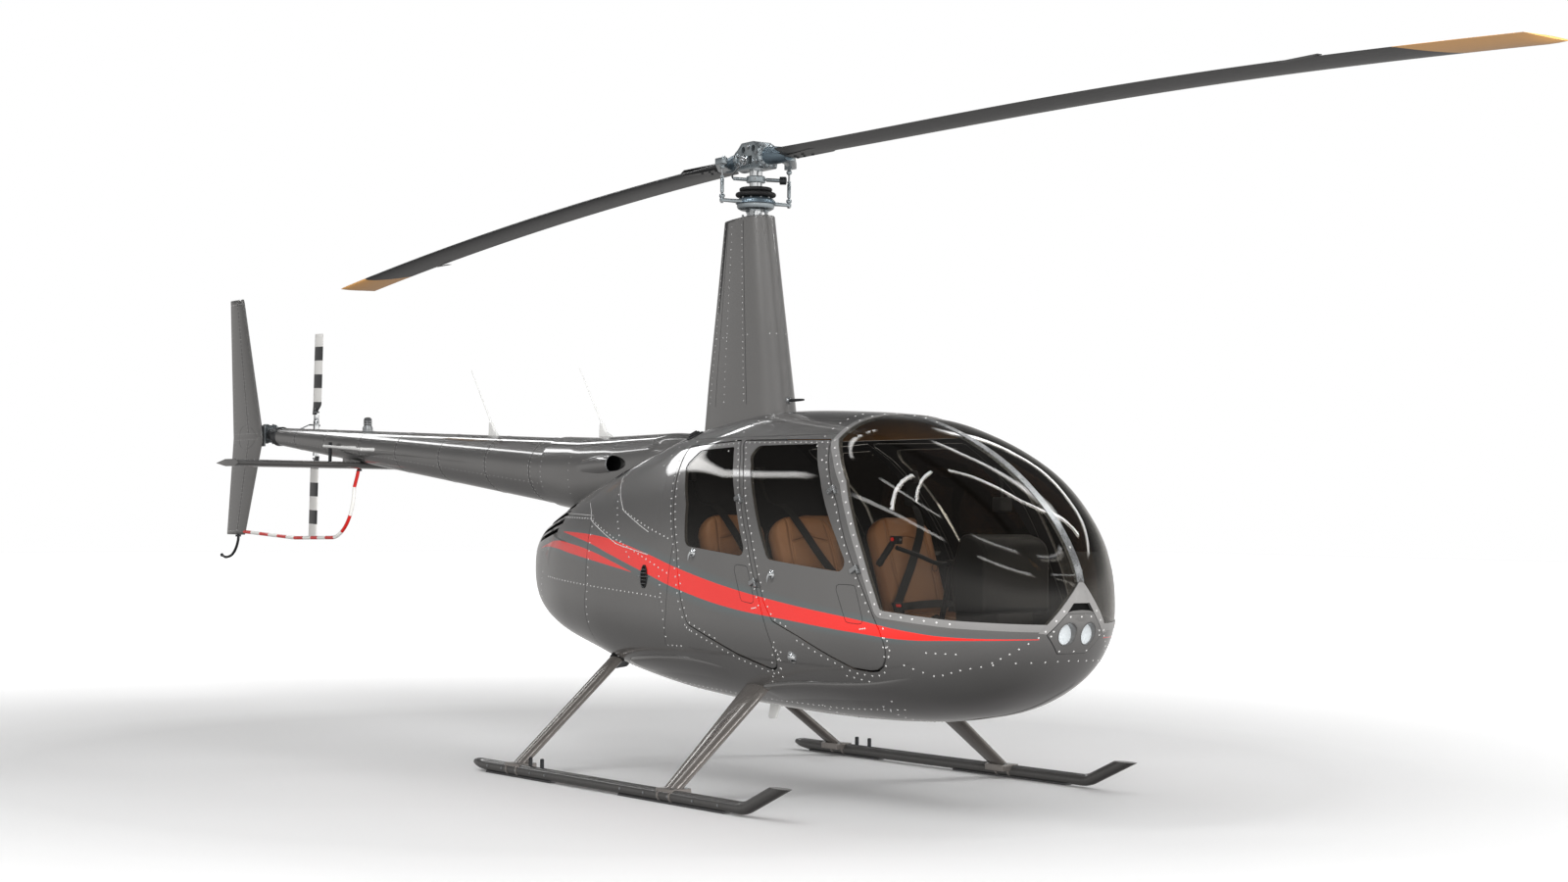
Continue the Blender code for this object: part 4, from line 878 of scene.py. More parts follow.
def blade_skin(name):
    """Satin dark grey blades: a lighter leading edge, fine chordwise scuffs and ochre tips."""
    shader = Shader(name)
    raw = shader.place()
    x, y, _ = shader.axes(raw)
    chord_x = x * cos(REST_TURN) + (y - ROTOR_Y) * sin(REST_TURN)
    along = (y - ROTOR_Y) * cos(REST_TURN) - x * sin(REST_TURN)
    chordwise = chord_x * along.math("SIGN")
    radius = along.math("ABSOLUTE")
    scuff = shader.noise(shader.scaled(raw, (3.0, 0.4, 3.0)), 40.0, 5.0, 0.65)
    cloud = shader.noise(raw, 2.0, 2.0)
    colour = shader.mix(scuff * 0.5 + cloud * 0.5, rgb("1b1c1d"), rgb("2b2c2d"))
    lead = (-0.018 - chordwise).above(0.0, 0.022)
    colour = shader.mix(lead * 0.35, colour, rgb("3c3d3e"))
    tip = (radius + chordwise * 0.75).above(BLADE_TIP_START, 0.004)
    ochre = shader.mix(scuff, rgb("f0ac5c"), rgb("ffc478"))
    shader.set(Base_Color=shader.mix(tip, colour, ochre), Roughness=scuff * 0.16 + 0.38, Metallic=0.0)
    shader.set(Coat_Weight=0.25, Coat_Roughness=0.25)
    return shader.material


# A colour with light of its own: the bulb's, and a painted highlight on parts that are no lamp
def glow(base, strength):
    def make(name):
        shader = Shader(name)
        cloud = shader.noise(shader.place(), 30.0)
        shade = (*[c * 0.8 for c in rgb(base)[:3]], 1.0)
        shader.set(Base_Color=shader.mix(cloud, shade, rgb(base)), Roughness=0.3, Coat_Weight=0.8)
        shader.set(Emission_Color=rgb(base), Emission_Strength=strength)
        return shader.material
    return make


FINISHES = {
    "cabin_paint": paint(True),
    "plain_paint": paint(False),
    "glass": glazing,
    "strip": plain("9b9d9e", 0.28, metallic=0.85, grain=0.10, scale=240, streak=(1, 0.2, 1)),
    "retainer": plain("8f8e8d", 0.30, metallic=0.5, coat=0.6, grain=0.08, scale=260),
    "bulb": glow("f2efe6", 0.4),
    "screw": plain("dcdbda", 0.24, metallic=0.4, coat=0.6, grain=0.08, scale=400),
    # Light grey rivets: the highlight on their domes is painted into the colour, though the real rivets wear
    # the body's paint
    "rivet": plain("c2c1c0", 0.22, metallic=0.2, coat=0.9, grain=0.08, scale=300),
    "chrome": plain("d9dcde", 0.06, metallic=1.0, grain=0.03, scale=30),
    "machined": plain("98a0a4", 0.26, metallic=0.9, grain=0.16, scale=120, bump=0.0004),
    "anodised": plain("6d7c86", 0.34, metallic=0.8, grain=0.18, scale=90),
    "steel": plain("a3a6a8", 0.30, metallic=0.95, grain=0.12, scale=160),
    "dark_steel": plain("3a3c3e", 0.36, metallic=0.8, grain=0.2, scale=140),
    "leg_metal": plain("726d69", 0.24, metallic=0.55, coat=0.8, grain=0.18, scale=200, streak=(1, 1, 0.15)),
    "skid_metal": plain("434241", 0.34, metallic=0.35, coat=0.5, grain=0.35, scale=700, bump=0.0006),
    "shoe_metal": plain("4a4a4b", 0.5, metallic=0.6, grain=0.5, scale=900, bump=0.001),
    "rubber": plain("0d0d0e", 0.62, grain=0.2, scale=200, bump=0.0006),
    "seal": plain("141416", 0.45, grain=0.15, scale=200),
    # Near-black painted shade, laid in openings and hollows that are in shade
    "dark_void": plain("050505", 0.8, grain=0.1, scale=80),
    "black_plastic": plain("131315", 0.42, grain=0.15, scale=500, bump=0.0006),
    "grip_rubber": plain("0b0b0c", 0.5, grain=0.2, scale=500, bump=0.0008),
    "instrument_glass": plain("08090b", 0.06, coat=1.0, grain=0.05, scale=60),
    "dial_white": plain("c9c9c4", 0.5, grain=0.05, scale=60),
    "headliner": fabric("7a5a3c", "a37f58", 900.0),
    "carpet": fabric("0e0e0f", "242426", 1400.0),
    "trim": fabric("19191b", "2c2c2e", 700.0),
    "leather": leather,
    "belt": webbing,
    "thread": plain("3b2416", 0.6, grain=0.2, scale=800),
    "blade_skin": blade_skin,
    "guard_red": plain("d0201a", 0.3, coat=0.5, grain=0.08, scale=120),
    "guard_white": plain("e9e8e4", 0.3, coat=0.5, grain=0.04, scale=120),
    "tail_white": plain("e6e5e2", 0.34, coat=0.4, grain=0.05, scale=120),
    "tail_black": plain("2c2d2f", 0.36, coat=0.4, grain=0.12, scale=120),
    "smoke_lens": plain("3a3c3e", 0.1, coat=1.0, grain=0.15, scale=120),
    "white_paint": plain("cfcfcd", 0.3, coat=0.5, grain=0.03, scale=60),
    "engine_metal": plain("6b6d6f", 0.45, metallic=0.6, grain=0.25, scale=90, bump=0.001),
    "lens": lamp_glass,
    # The reflector glows faintly: emission painted on as its highlight, though it is no lamp
    "reflector": glow("e3e6e8", 0.22),
    # The red buttons glow faintly: emission painted on as a highlight, though they are no lamps
    "red_button": glow("d01810", 0.15),
    "alloy": plain("7f8284", 0.42, metallic=0.7, grain=0.15, scale=120),
}


FADE_START, FADE_END = 3.5, 10.0
# Dark colour painted on floor and backdrop where they are seen through the glazing: painted shade for the dim
# cabin
SHADE_BEHIND_GLASS = "1c1b1a"
FLOOR_REACH = 60.0
TUBE_HEIGHTS, TUBE_COUNT, TUBE_LIGHT = ((0.455, 0.485), (0.705, 0.725)), 5.0, 7.0
CAMERA_EYE = (-7.4755, -10.8519, 1.3441)
CAMERA_TURN = (-0.6499, -0.0306, 0.0086)
# Height share and light of the room's walls, from the floor to the ceiling
ROOM_BANDS = (
    (0.0, (0.01, 0.01, 0.01, 1.0)), (0.03, (0.03, 0.03, 0.03, 1.0)), (0.12, (0.30, 0.29, 0.29, 1.0)),
    (0.34, (0.62, 0.61, 0.60, 1.0)), (0.44, (1.10, 1.08, 1.06, 1.0)), (0.55, (1.10, 1.08, 1.06, 1.0)),
    (0.63, (0.40, 0.40, 0.40, 1.0)), (0.72, (0.10, 0.10, 0.10, 1.0)), (1.0, (0.12, 0.12, 0.12, 1.0)),
)
# name, place, aim, width, length, power
PANELS = (
    ("key_panel", (-5.0, -5.0, 8.5), (0.0, -0.5, 0.8), 7.0, 7.0, 200.0),
    ("front_panel", (-8.4, -13.4, 1.6), (0.0, -1.2, 0.7), 9.0, 2.6, 2600.0),
    ("tail_panel", (3.0, 8.0, 8.0), (0.0, 2.0, 0.8), 6.0, 6.0, 110.0),
    ("port_panel", (7.0, -3.0, 7.0), (0.0, -1.0, 0.8), 5.0, 7.0, 180.0),
    ("strip_panel_1", (-3.6, -0.5, 5.6), (0.0, -1.4, 1.4), 0.14, 4.0, 40.0),
    ("strip_panel_2", (-2.4, -1.5, 6.2), (0.0, -1.4, 1.4), 0.14, 4.0, 40.0),
    ("strip_panel_3", (2.6, -2.5, 5.8), (0.0, -1.4, 1.4), 0.14, 5.0, 40.0),
)


def bare_view(shader):
    """1 where nothing clear stands in front; through the glazing the room is painted dark, a painted shade
    that keeps the cabin dim as it does by day.
    """
    depth = shader.node("ShaderNodeLightPath", output="Transparent Depth")
    return 1 - depth.above(0.5, 0.1)


def floor_finish():
    """Pale floor that fades into the backdrop away from the aircraft, painted dark as shade where it is seen
    through the glazing.
    """
    shader = Shader("studio_floor")
    place = shader.node("ShaderNodeTexCoord", output="Object")
    cloud = shader.noise(place, 0.6, 3.0)
    x, y, _ = shader.axes(place)
    far = ((x * x + y * y).math("SQRT") - FADE_START) / (FADE_END - FADE_START)
    far = far.math("ADD", 0.0, clamp=True)
    bare = bare_view(shader)
    lit = shader.mix(cloud, rgb("f0f0f0"), rgb("f5f5f5"))
    shader.set(Base_Color=shader.mix(bare, rgb(SHADE_BEHIND_GLASS), lit), Roughness=0.6)
    return shader.set(Emission_Color=shader.mix(far * bare, BLACK, WHITE), Emission_Strength=0.85).material


def light_room(world, strength):
    """Walls that light the aircraft in bands, with short bright tubes for its paint and glass to mirror."""
    room = Shader("studio", world)
    x, y, z = room.axes(room.node("ShaderNodeTexCoord", output="Generated"))
    bands = room.node("ShaderNodeValToRGB", {"stops": ROOM_BANDS}, {0: z * 0.5 + 0.5})
    seen = room.node("ShaderNodeLightPath", output="Is Camera Ray")
    bare = bare_view(room)
    turn = y.math("ARCTAN2", x)
    bands = room.node("ShaderNodeVectorMath", {"operation": "SCALE"}, {0: bands, "Scale": y * -0.40 + 0.80})
    tubes = sum((z.inside(low, high, 0.012) for low, high in TUBE_HEIGHTS), start=0.0)
    tubes = tubes * (turn * TUBE_COUNT).math("SINE").above(-0.55, 0.25)
    bands = room.mix(tubes, bands, (TUBE_LIGHT, TUBE_LIGHT, TUBE_LIGHT, 1.0))
    # Seen through the glazing, the backdrop is painted dark as shade
    backdrop = room.mix(bare, rgb(SHADE_BEHIND_GLASS), WHITE)
    room.set(Color=room.mix(seen, bands, backdrop), Strength=strength)


def camera_matrix():
    azimuth, elevation, roll = CAMERA_TURN
    back = Vector((sin(azimuth) * cos(elevation), -cos(azimuth) * cos(elevation), sin(elevation)))
    right = (-back).cross(Vector((0, 0, 1))).normalized()
    up = right.cross(-back)
    axes = right * cos(roll) + up * sin(roll), up * cos(roll) - right * sin(roll), back
    return Matrix.Translation(CAMERA_EYE) @ Matrix(axes).transposed().to_4x4()


class HELI_OT_stage(bpy.types.Operator):
    """Set the floor, the soft studio light and the camera"""
    bl_idname = "helicopter.stage"
    bl_label = "Stage"

    def execute(self, context):
        scene, looks = context.scene, context.scene.helicopter_light
        mesh = bpy.data.meshes.new("studio_floor")
        work = bmesh.new()
        bmesh.ops.create_grid(work, x_segments=4, y_segments=4, size=FLOOR_REACH)
        work.to_mesh(mesh)
        work.free()
        mesh.materials.append(floor_finish())
        floor = linked("studio_floor", mesh)
        floor.location.z = -0.001
        floor.visible_glossy = floor.visible_diffuse = False
        scene.world = bpy.data.worlds.new("studio")
        light_room(scene.world, looks.room)
        for name, place, aim, width, length, power in PANELS:
            light = bpy.data.lights.new(name, "AREA")
            light.shape, light.size, light.size_y = "RECTANGLE", width, length
            light.energy = power * looks.panels
            lamp = linked(name, light)
            lamp.location = place
            lamp.visible_glossy = width < 1.0
            lamp.rotation_euler = (Vector(aim) - Vector(place)).to_track_quat("-Z", "Y").to_euler()
        scene.camera = linked("camera", bpy.data.cameras.new("camera"))
        scene.camera.data.lens, scene.camera.data.sensor_width = looks.lens, 36.0
        scene.camera.data.clip_end = 300.0
        scene.camera.matrix_world = camera_matrix()
        scene.view_settings.view_transform = "Standard"
        return {"FINISHED"}


# Cabin, doors and cowl

SKIN_NEAR, SKIN_FAR = 0.2, 0.9
FIT = 0.0003
KNUCKLE_RADIUS, KNUCKLE_END, KNUCKLE_GAP = 0.007, 0.022, 0.00025
# x, z of the air slot over the lamps
NOSE_SLOT = ((-0.084, 0.984), (-0.050, 0.993), (0.0, 0.996), (0.050, 0.993), (0.084, 0.984), (0.050, 1.030),
             (-0.050, 1.030))
# The aft grille's slots, in side view: fore end's y and low edge, aft end's y and low edge
GRILLE = (
    (1.165, 1.296, 1.562, 1.236), (1.125, 1.345, 1.618, 1.266), (1.100, 1.392, 1.650, 1.303),
    (1.080, 1.436, 1.640, 1.345),
)
GRILLE_HEIGHT = 0.026


def opening_outline(outline):
    """A door's opening, eased where the door drops and reaches aft as it swings."""
    aft_corner = max(y for y, z, radius in outline) - AFT_REACH
    eased = [(y + AFT_GAP * (y > aft_corner), z - SILL_GAP * (z < SILL_BELOW_Z), radius)
             for y, z, radius in outline]
    return grow(rounded(eased), DOOR_GAP / 2)


def side_prism(outline, sign):
    return prism(outline, "X", *span(sign, SKIN_NEAR, SKIN_FAR))


def nose_wedge(growth=0.0):
    foot_x, foot_z = NOSE_FOOT
    outline = [(-foot_x - growth, foot_z - growth), (foot_x + growth, foot_z - growth),
               (0.004 + growth, NOSE_APEX_Z + growth), (-0.004 - growth, NOSE_APEX_Z + growth)]
    return prism(outline, "Y", -9, 0)


def windshield_zone(growth=0.0):
    return cut(prism(grow(rounded(WINDSHIELD), growth), "X", -1, 1), nose_wedge(-growth))


def hinge_frames(side, door):
    """Matrix at each hinge of a door: local X outboard, Y aft, Z up the pin."""
    sign = SIDES[side]
    points = [Vector((sign * (skin_x(y, z) + HINGE_OUTBOARD), y, z)) for y, z, _ in HINGES[door]]
    upward = (points[0] - points[1]).normalized()
    aft = (Vector((0, 1, 0)) - upward * upward.y).normalized()
    outboard = aft.cross(upward) if sign > 0 else upward.cross(aft)
    turn = Matrix((outboard, aft, upward)).transposed().to_4x4()
    return [Matrix.Translation(point) @ turn for point in points]


def skin_x(y, z):
    """Half width of the side that the hinges were set to, straight between the section stations."""
    width, top, bottom, belt, above, below = [np.interp(y, SECTIONS[:, 0], SECTIONS[:, c])
                                              for c in range(1, 7)]
    reach, power = ((top - belt), above) if z >= belt else ((belt - bottom), below)
    return width * max(0.0, 1 - abs((z - belt) / reach) ** power) ** (1 / power)


def arc(centre, radius, start, end, steps):
    return [(centre[0] + radius * cos(t), centre[1] + radius * sin(t))
            for t in (start + (end - start) * i / steps for i in range(steps + 1))]


def body_knuckle(place):
    outline = arc((0, 0), KNUCKLE_RADIUS, -pi / 2, pi / 2, 10)
    outline += [(-0.024, KNUCKLE_RADIUS), (-0.024, -KNUCKLE_RADIUS)]
    return moved(bevelled(prism(outline, "Z", -KNUCKLE_END, -KNUCKLE_GAP), 0.0012, 2), place)


def door_knuckle(place, start):
    end = start + 0.020
    outline = arc((0, 0), KNUCKLE_RADIUS, 0, -pi, 10)
    outline += [(-0.001, KNUCKLE_RADIUS), (-0.001, start), (-0.022, start), (-0.022, end),
                (KNUCKLE_RADIUS, end)]
    return moved(bevelled(prism(outline, "Z", KNUCKLE_GAP, KNUCKLE_END), 0.0012, 2), place)


def lamp_bores(growth):
    return [rod((x, -3, LAMP_Z), (x, -2.2, LAMP_Z), LAMP_RADIUS + growth, sides=48)
            for x in (-LAMP_X, LAMP_X)]


def shell_steps(inner, outer=0.0):
    """The skin between two depths, as a shape and the step that hollows it."""
    return hull(outer), ("DIFFERENCE", hull(inner))


class HELI_OT_cabin(bpy.types.Operator):
    """Make the cabin's skin, its roof and the strip between the windshields"""
    bl_idname = "helicopter.cabin"
    bl_label = "Cabin"

    def execute(self, context):
        shell = carve(*shell_steps(WALL), ("INTERSECT", ahead_of_firewall(-FIT)))
        above = box((-1, -1.6, ROOF_SEAM_Z - 0.0006), (1, 1, 3))
        openings = [side_prism(opening_outline(outline), sign)
                    for outline, _ in DOORS.values() for sign in SIDES.values()]
        body = cut(shell, above, windshield_zone(), *openings, *lamp_bores(FIT),
                   prism(NOSE_SLOT, "Y", -3, -2.3))
        knuckles = [(body_knuckle(place), "strip") for side in SIDES for door in HINGES
                    for place in hinge_frames(side, door)]
        skin_piece("cabin_skin", body, stands_for=["cabin_body"], with_parts=knuckles)
        roof = carve(shell, ("INTERSECT", box((-1, WINDSHIELD[0][0], ROOF_SEAM_Z + 0.0006), (1, 1, 3))))
        skin_piece("roof_skin", roof, inside="headliner", slot="roof_dark", stands_for=["cabin_roof"])
        middle = box((-STRIP_HALF_WIDTH, -3, NOSE_APEX_Z - 0.012),
                     (STRIP_HALF_WIDTH, WINDSHIELD[0][0] - FIT, 3))
        strip = carve(shell, ("INTERSECT", middle), ("DIFFERENCE", nose_wedge(0.0008)))
        skin_piece("centre_strip", strip, "strip", "strip", slot="strip_alloy",
                   stands_for=["windshield_strip"])
        return {"FINISHED"}


class HELI_OT_glazing(bpy.types.Operator):
    """Make the two windshields"""
    bl_idname = "helicopter.glazing"
    bl_label = "Windshields"

    def execute(self, context):
        pane = carve(*shell_steps(GLASS_INSET + GLASS, GLASS_INSET), ("INTERSECT", windshield_zone(-FIT)))
        for side, sign in SIDES.items():
            low, high = span(sign, STRIP_HALF_WIDTH + FIT, 1.0)
            half = carve(pane, ("INTERSECT", box((low, -3, 0), (high, 0, 3))))
            skin_piece(f"windshield_pane_{side}", half, "glass", "glass", slot="glazing",
                       stands_for=[f"windshield_{side}"])
        return {"FINISHED"}


class HELI_OT_doors(bpy.types.Operator):
    """Make the four doors with their windows and knuckles"""
    bl_idname = "helicopter.doors"
    bl_label = "Doors"

    def execute(self, context):
        for side, sign in SIDES.items():
            for door, (outline, window) in DOORS.items():
                body = f"{door}_{side}_door"
                zone = side_prism(grow(rounded(outline), -DOOR_GAP / 2), sign)
                opening = side_prism(rounded(window), sign)
                panel = carve(*shell_steps(WALL), ("INTERSECT", zone), ("DIFFERENCE", opening))
                knuckles = [(door_knuckle(place, hinge[2]), "strip")
                            for hinge, place in zip(HINGES[door], hinge_frames(side, door))]
                skin_piece(f"{door}_door_{side}_skin", panel, body=body, stands_for=[f"{door}_door_{side}"],
                           with_parts=knuckles)
                pane = carve(*shell_steps(GLASS_INSET + GLASS, GLASS_INSET),
                             ("INTERSECT", side_prism(grow(rounded(window), -FIT), sign)))
                skin_piece(f"{door}_window_{side}", pane, "glass", "glass", body=body, slot="glazing",
                           stands_for=[f"{door}_door_{side}_glass"])
        return {"FINISHED"}


CONE_START, CONE_END = (1.150, 1.596, 0.216), (5.580, 1.925, 0.060)


def cone_at(y):
    """Height of the tail cone's axis, and its radius, at a place along Y."""
    (y0, z0, r0), (y1, z1, r1) = CONE_START, CONE_END
    t = (y - y0) / (y1 - y0)
    return z0 + t * (z1 - z0), r0 + t * (r1 - r0)


def cone(growth=0.0, start=CONE_START[0], end=CONE_END[0], sides=96):
    rings = []
    for y in (start, end):
        z, radius = cone_at(y)
        rings.append([((radius + growth) * sin(t), y, z + (radius + growth) * cos(t)) for t in turns(sides)])
    return loft(rings)


class HELI_OT_cowl(bpy.types.Operator):
    """Make the engine cowl with its slotted aft grille"""
    bl_idname = "helicopter.cowl"
    bl_label = "Engine cowl"

    def execute(self, context):
        outlet = [(-0.26, 0.60, 0.06), (0.26, 0.60, 0.06), (0.20, 1.20, 0.06), (-0.20, 1.20, 0.06)]
        slots = [prism([(y0, z0), (y1, z1), (y1, z1 + GRILLE_HEIGHT), (y0, z0 + GRILLE_HEIGHT)], "X", *ends)
                 for ends in ((-0.9, -0.07), (0.07, 0.9)) for y0, z0, y1, z1 in GRILLE]
        cuts = [cone(FIT), prism(rounded(outlet), "Z", 0.3, 0.9), *slots]
        shape = carve(*shell_steps(WALL), ("INTERSECT", ahead_of_firewall(FIT, False)),
                      *[("DIFFERENCE", one) for one in cuts])
        # The cowl's inner faces are painted near-black as shade
        skin_piece("cowl_skin", shape, inside="dark_void", stands_for=["engine_cowl"])
        return {"FINISHED"}


# Mast tower and rotor head

# height, leading edge, trailing edge, half width
TOWER_STATIONS = np.array((
    (1.750, -0.385, 0.400, 0.105), (2.100, -0.322, 0.355, 0.096), (2.500, -0.250, 0.290, 0.084),
    (2.950, -0.172, 0.222, 0.070),
))
TOWER_NOSE, TOWER_TAPER, TOWER_EDGE = 1.25, 1.6, 0.002
TOWER_SEAM_FOOT, TOWER_SEAM_HEAD = 1.97, 2.93
# share of the way aft, spacing of the rivets
TOWER_ROWS = ((0.24, 0.034), (0.62, 0.040), (0.93, 0.034))
TOWER_BAND = (-0.78, -0.55, 0.14, 0.24, 0.62, 0.72, 0.9)
PITOT_Z = 1.985
HUB_Z = 3.262
GRIP_Z = HUB_Z - 0.004
SWASH_Z = 3.016
MAST_RADIUS = 0.034
ROTOR_TURN = Matrix.Translation((0, ROTOR_Y, 0)) @ Matrix.Rotation(REST_TURN, 4, "Z")
HUB_OUTLINE = ((-0.115, 3.196, 0.014), (0.115, 3.196, 0.014), (0.115, 3.290, 0.012), (0.055, 3.338, 0.012),
               (-0.055, 3.338, 0.012), (-0.115, 3.290, 0.012))
# Hub bolts: y, z, size
HUB_BOLTS = ((-0.006, 3.312, 0.012), (-0.088, 3.228, 0.010), (0.088, 3.228, 0.010), (-0.088, 3.272, 0.008),
             (0.088, 3.272, 0.008), (0.062, 3.222, 0.007))
PITCH_HORN = ((0.0, -0.290, 0.01), (0.045, -0.290, 0.02), (0.216, -0.060, 0.01), (0.216, 0.015, 0.014),
              (0.184, 0.015, 0.014), (0.178, -0.060, 0.02), (0.030, -0.190, 0.0), (0.0, -0.200, 0.0))
SWASH_EAR = ((0.070, -0.036, 0.0), (0.160, -0.027, 0.02), (0.212, -0.027, 0.011), (0.212, -0.001, 0.011),
             (0.160, 0.004, 0.02), (0.070, 0.034, 0.0))
LINK_X, LINK_Y = 0.200, -0.015
# radius, chord, height of the front blade, height of the rear blade
BLADE_STATIONS = np.array((
    (0.300, 0.130, 3.245, 3.247), (0.460, 0.254, 3.240, 3.243), (1.000, 0.254, 3.233, 3.226),
    (2.000, 0.254, 3.221, 3.178), (3.000, 0.254, 3.200, 3.114), (4.000, 0.254, 3.158, 3.033),
    (5.029, 0.254, 3.093, 2.935),
))
BLADE_LEAD, BLADE_THICKNESS, BLADE_CHORD, ROOT_CHORD = 0.0635, 0.030, 0.254, 0.130
BLADE_ROOT, BLADE_FULL, BLADE_END = 0.300, 0.460, 5.029
DOUBLER = ((0.050, -0.31, 0.01), (0.055, -0.62, 0.03), (-0.02, -0.78, 0.02), (-0.09, -0.60, 0.03),
           (-0.05, -0.33, 0.01))
DOUBLER_BOLTS = ((0.028, -0.34), (0.028, -0.40), (-0.010, -0.37), (0.030, -0.47), (-0.02, -0.45))


def tower_at(z):
    return [np.interp(z, TOWER_STATIONS[:, 0], TOWER_STATIONS[:, c]) for c in (1, 2, 3)]


def tower_ring(z, growth=0.0, sides=56):
    """Teardrop section of the mast tower, its sharp edge aft."""
    lead, trail, width = tower_at(z)
    nose = width * TOWER_NOSE
    lead, width = lead - growth, width + growth
    front = [(width * cos(t), lead + nose - nose * sin(t), z) for t in np.linspace(0, pi, sides // 2 + 1)]
    back = [(width * (1 - a ** TOWER_TAPER) + TOWER_EDGE, lead + nose + a * (trail - lead - nose), z)
            for a in np.linspace(0.06, 0.97, 12)]
    edge = [(-2 * TOWER_EDGE, trail, z), (2 * TOWER_EDGE, trail, z)]
    return front + [(-x, y, h) for x, y, h in back] + edge + back[::-1]


def tower_side(z, share, side):
    """Place on the tower's side, share of the way from its widest line to its trailing edge."""
    lead, trail, width = tower_at(z)
    nose = width * TOWER_NOSE
    back = trail - lead - nose
    if share < 0:
        half, y = width * cos(-share * pi / 2), lead + nose - nose * sin(-share * pi / 2)
        slope = -math.tan(-share * 1.2)
    else:
        half, y = width * (1 - share ** TOWER_TAPER) + TOWER_EDGE, lead + nose + share * back
        slope = width * TOWER_TAPER * share ** 0.6 / back
    return np.array((side * half, y, z)), unit((side, slope, 0.06))


def tower_line(share, side, foot=TOWER_SEAM_FOOT, head=TOWER_SEAM_HEAD):
    return zip(*[tower_side(z, share, side) for z in np.linspace(foot, head, 30)])


class HELI_OT_tower(bpy.types.Operator):
    """Make the mast tower with its foot flange, rivets and pitot tube"""
    bl_idname = "helicopter.tower"
    bl_label = "Mast tower"

    def execute(self, context):
        heights = np.concatenate((np.linspace(1.75, 2.93, 40), (2.944, 2.950)))
        rings = [np.array(tower_ring(z)) for z in heights]
        centre = np.array((0, ROTOR_Y, 0))
        rings[-1] = (rings[-1] - centre) * (0.94, 0.97, 1) + centre
        bore = rod((0, ROTOR_Y, 2.600), (0, ROTOR_Y, 3.2), MAST_RADIUS + 0.0008, sides=48)
        body = cut(loft(rings), hull(-FIT), bore)
        flange = grow([p[:2] for p in tower_ring(1.90, 0.0, 120)], 0.012)
        places, normals = on_top(flange)
        flange = ribbon((np.vstack((places, places[:1])), np.vstack((normals, normals[:1]))), 0.034, 0.0022)
        piece("tower_skin", [(body, "plain_paint"), (flange, "plain_paint")], stands_for=["mast_fairing"],
              smooth=30)

        rivets, seams = [], []
        for side in SIDES.values():
            rivets += [tower_side(z, share, side) for share, step in TOWER_ROWS
                       for z in np.arange(1.99, 2.93, step)]
            rivets += [tower_side(2.33, share, side) for share in TOWER_BAND]
            seams += [(ribbon(tower_line(share, side), 0.0022, 0.0006), "seal") for share in (0.19, 0.80)]
            wedge = ribbon(tower_line(0.90, side, 2.46, 2.94), 0.0, 0.0009, np.linspace(0.008, 0.040, 30))
            seams.append((wedge, "black_plastic"))
        piece("tower_rivets", [(domes(zip(*rivets), 0.0034, 0.0016, 6), "rivet"), *seams])
        pitot = [(0, y, PITOT_Z) for y in (-0.300, -0.400, -0.455, -0.470)]
        collar = lathe([(0.016, 0), (0.016, 0.010), (0.010, 0.020)], (0, -0.335, PITOT_Z), (0, -1, 0))
        tower = loft([tower_ring(z) for z in (1.9, 2.05)])
        piece("pitot_head", [(cut(tube(pitot, [0.0078, 0.0078, 0.006, 0.0045], 20), tower), "black_plastic"),
                             (cut(collar, tower), "steel")], slot="steel", stands_for=["pitot_tube"])
        return {"FINISHED"}


def turned(shape, direction=-1):
    """A rotor shape made for the forward blade, set for that blade or for the aft one."""
    return moved(shape, ROTOR_TURN @ Matrix.Rotation(0 if direction < 0 else pi, 4, "Z"))


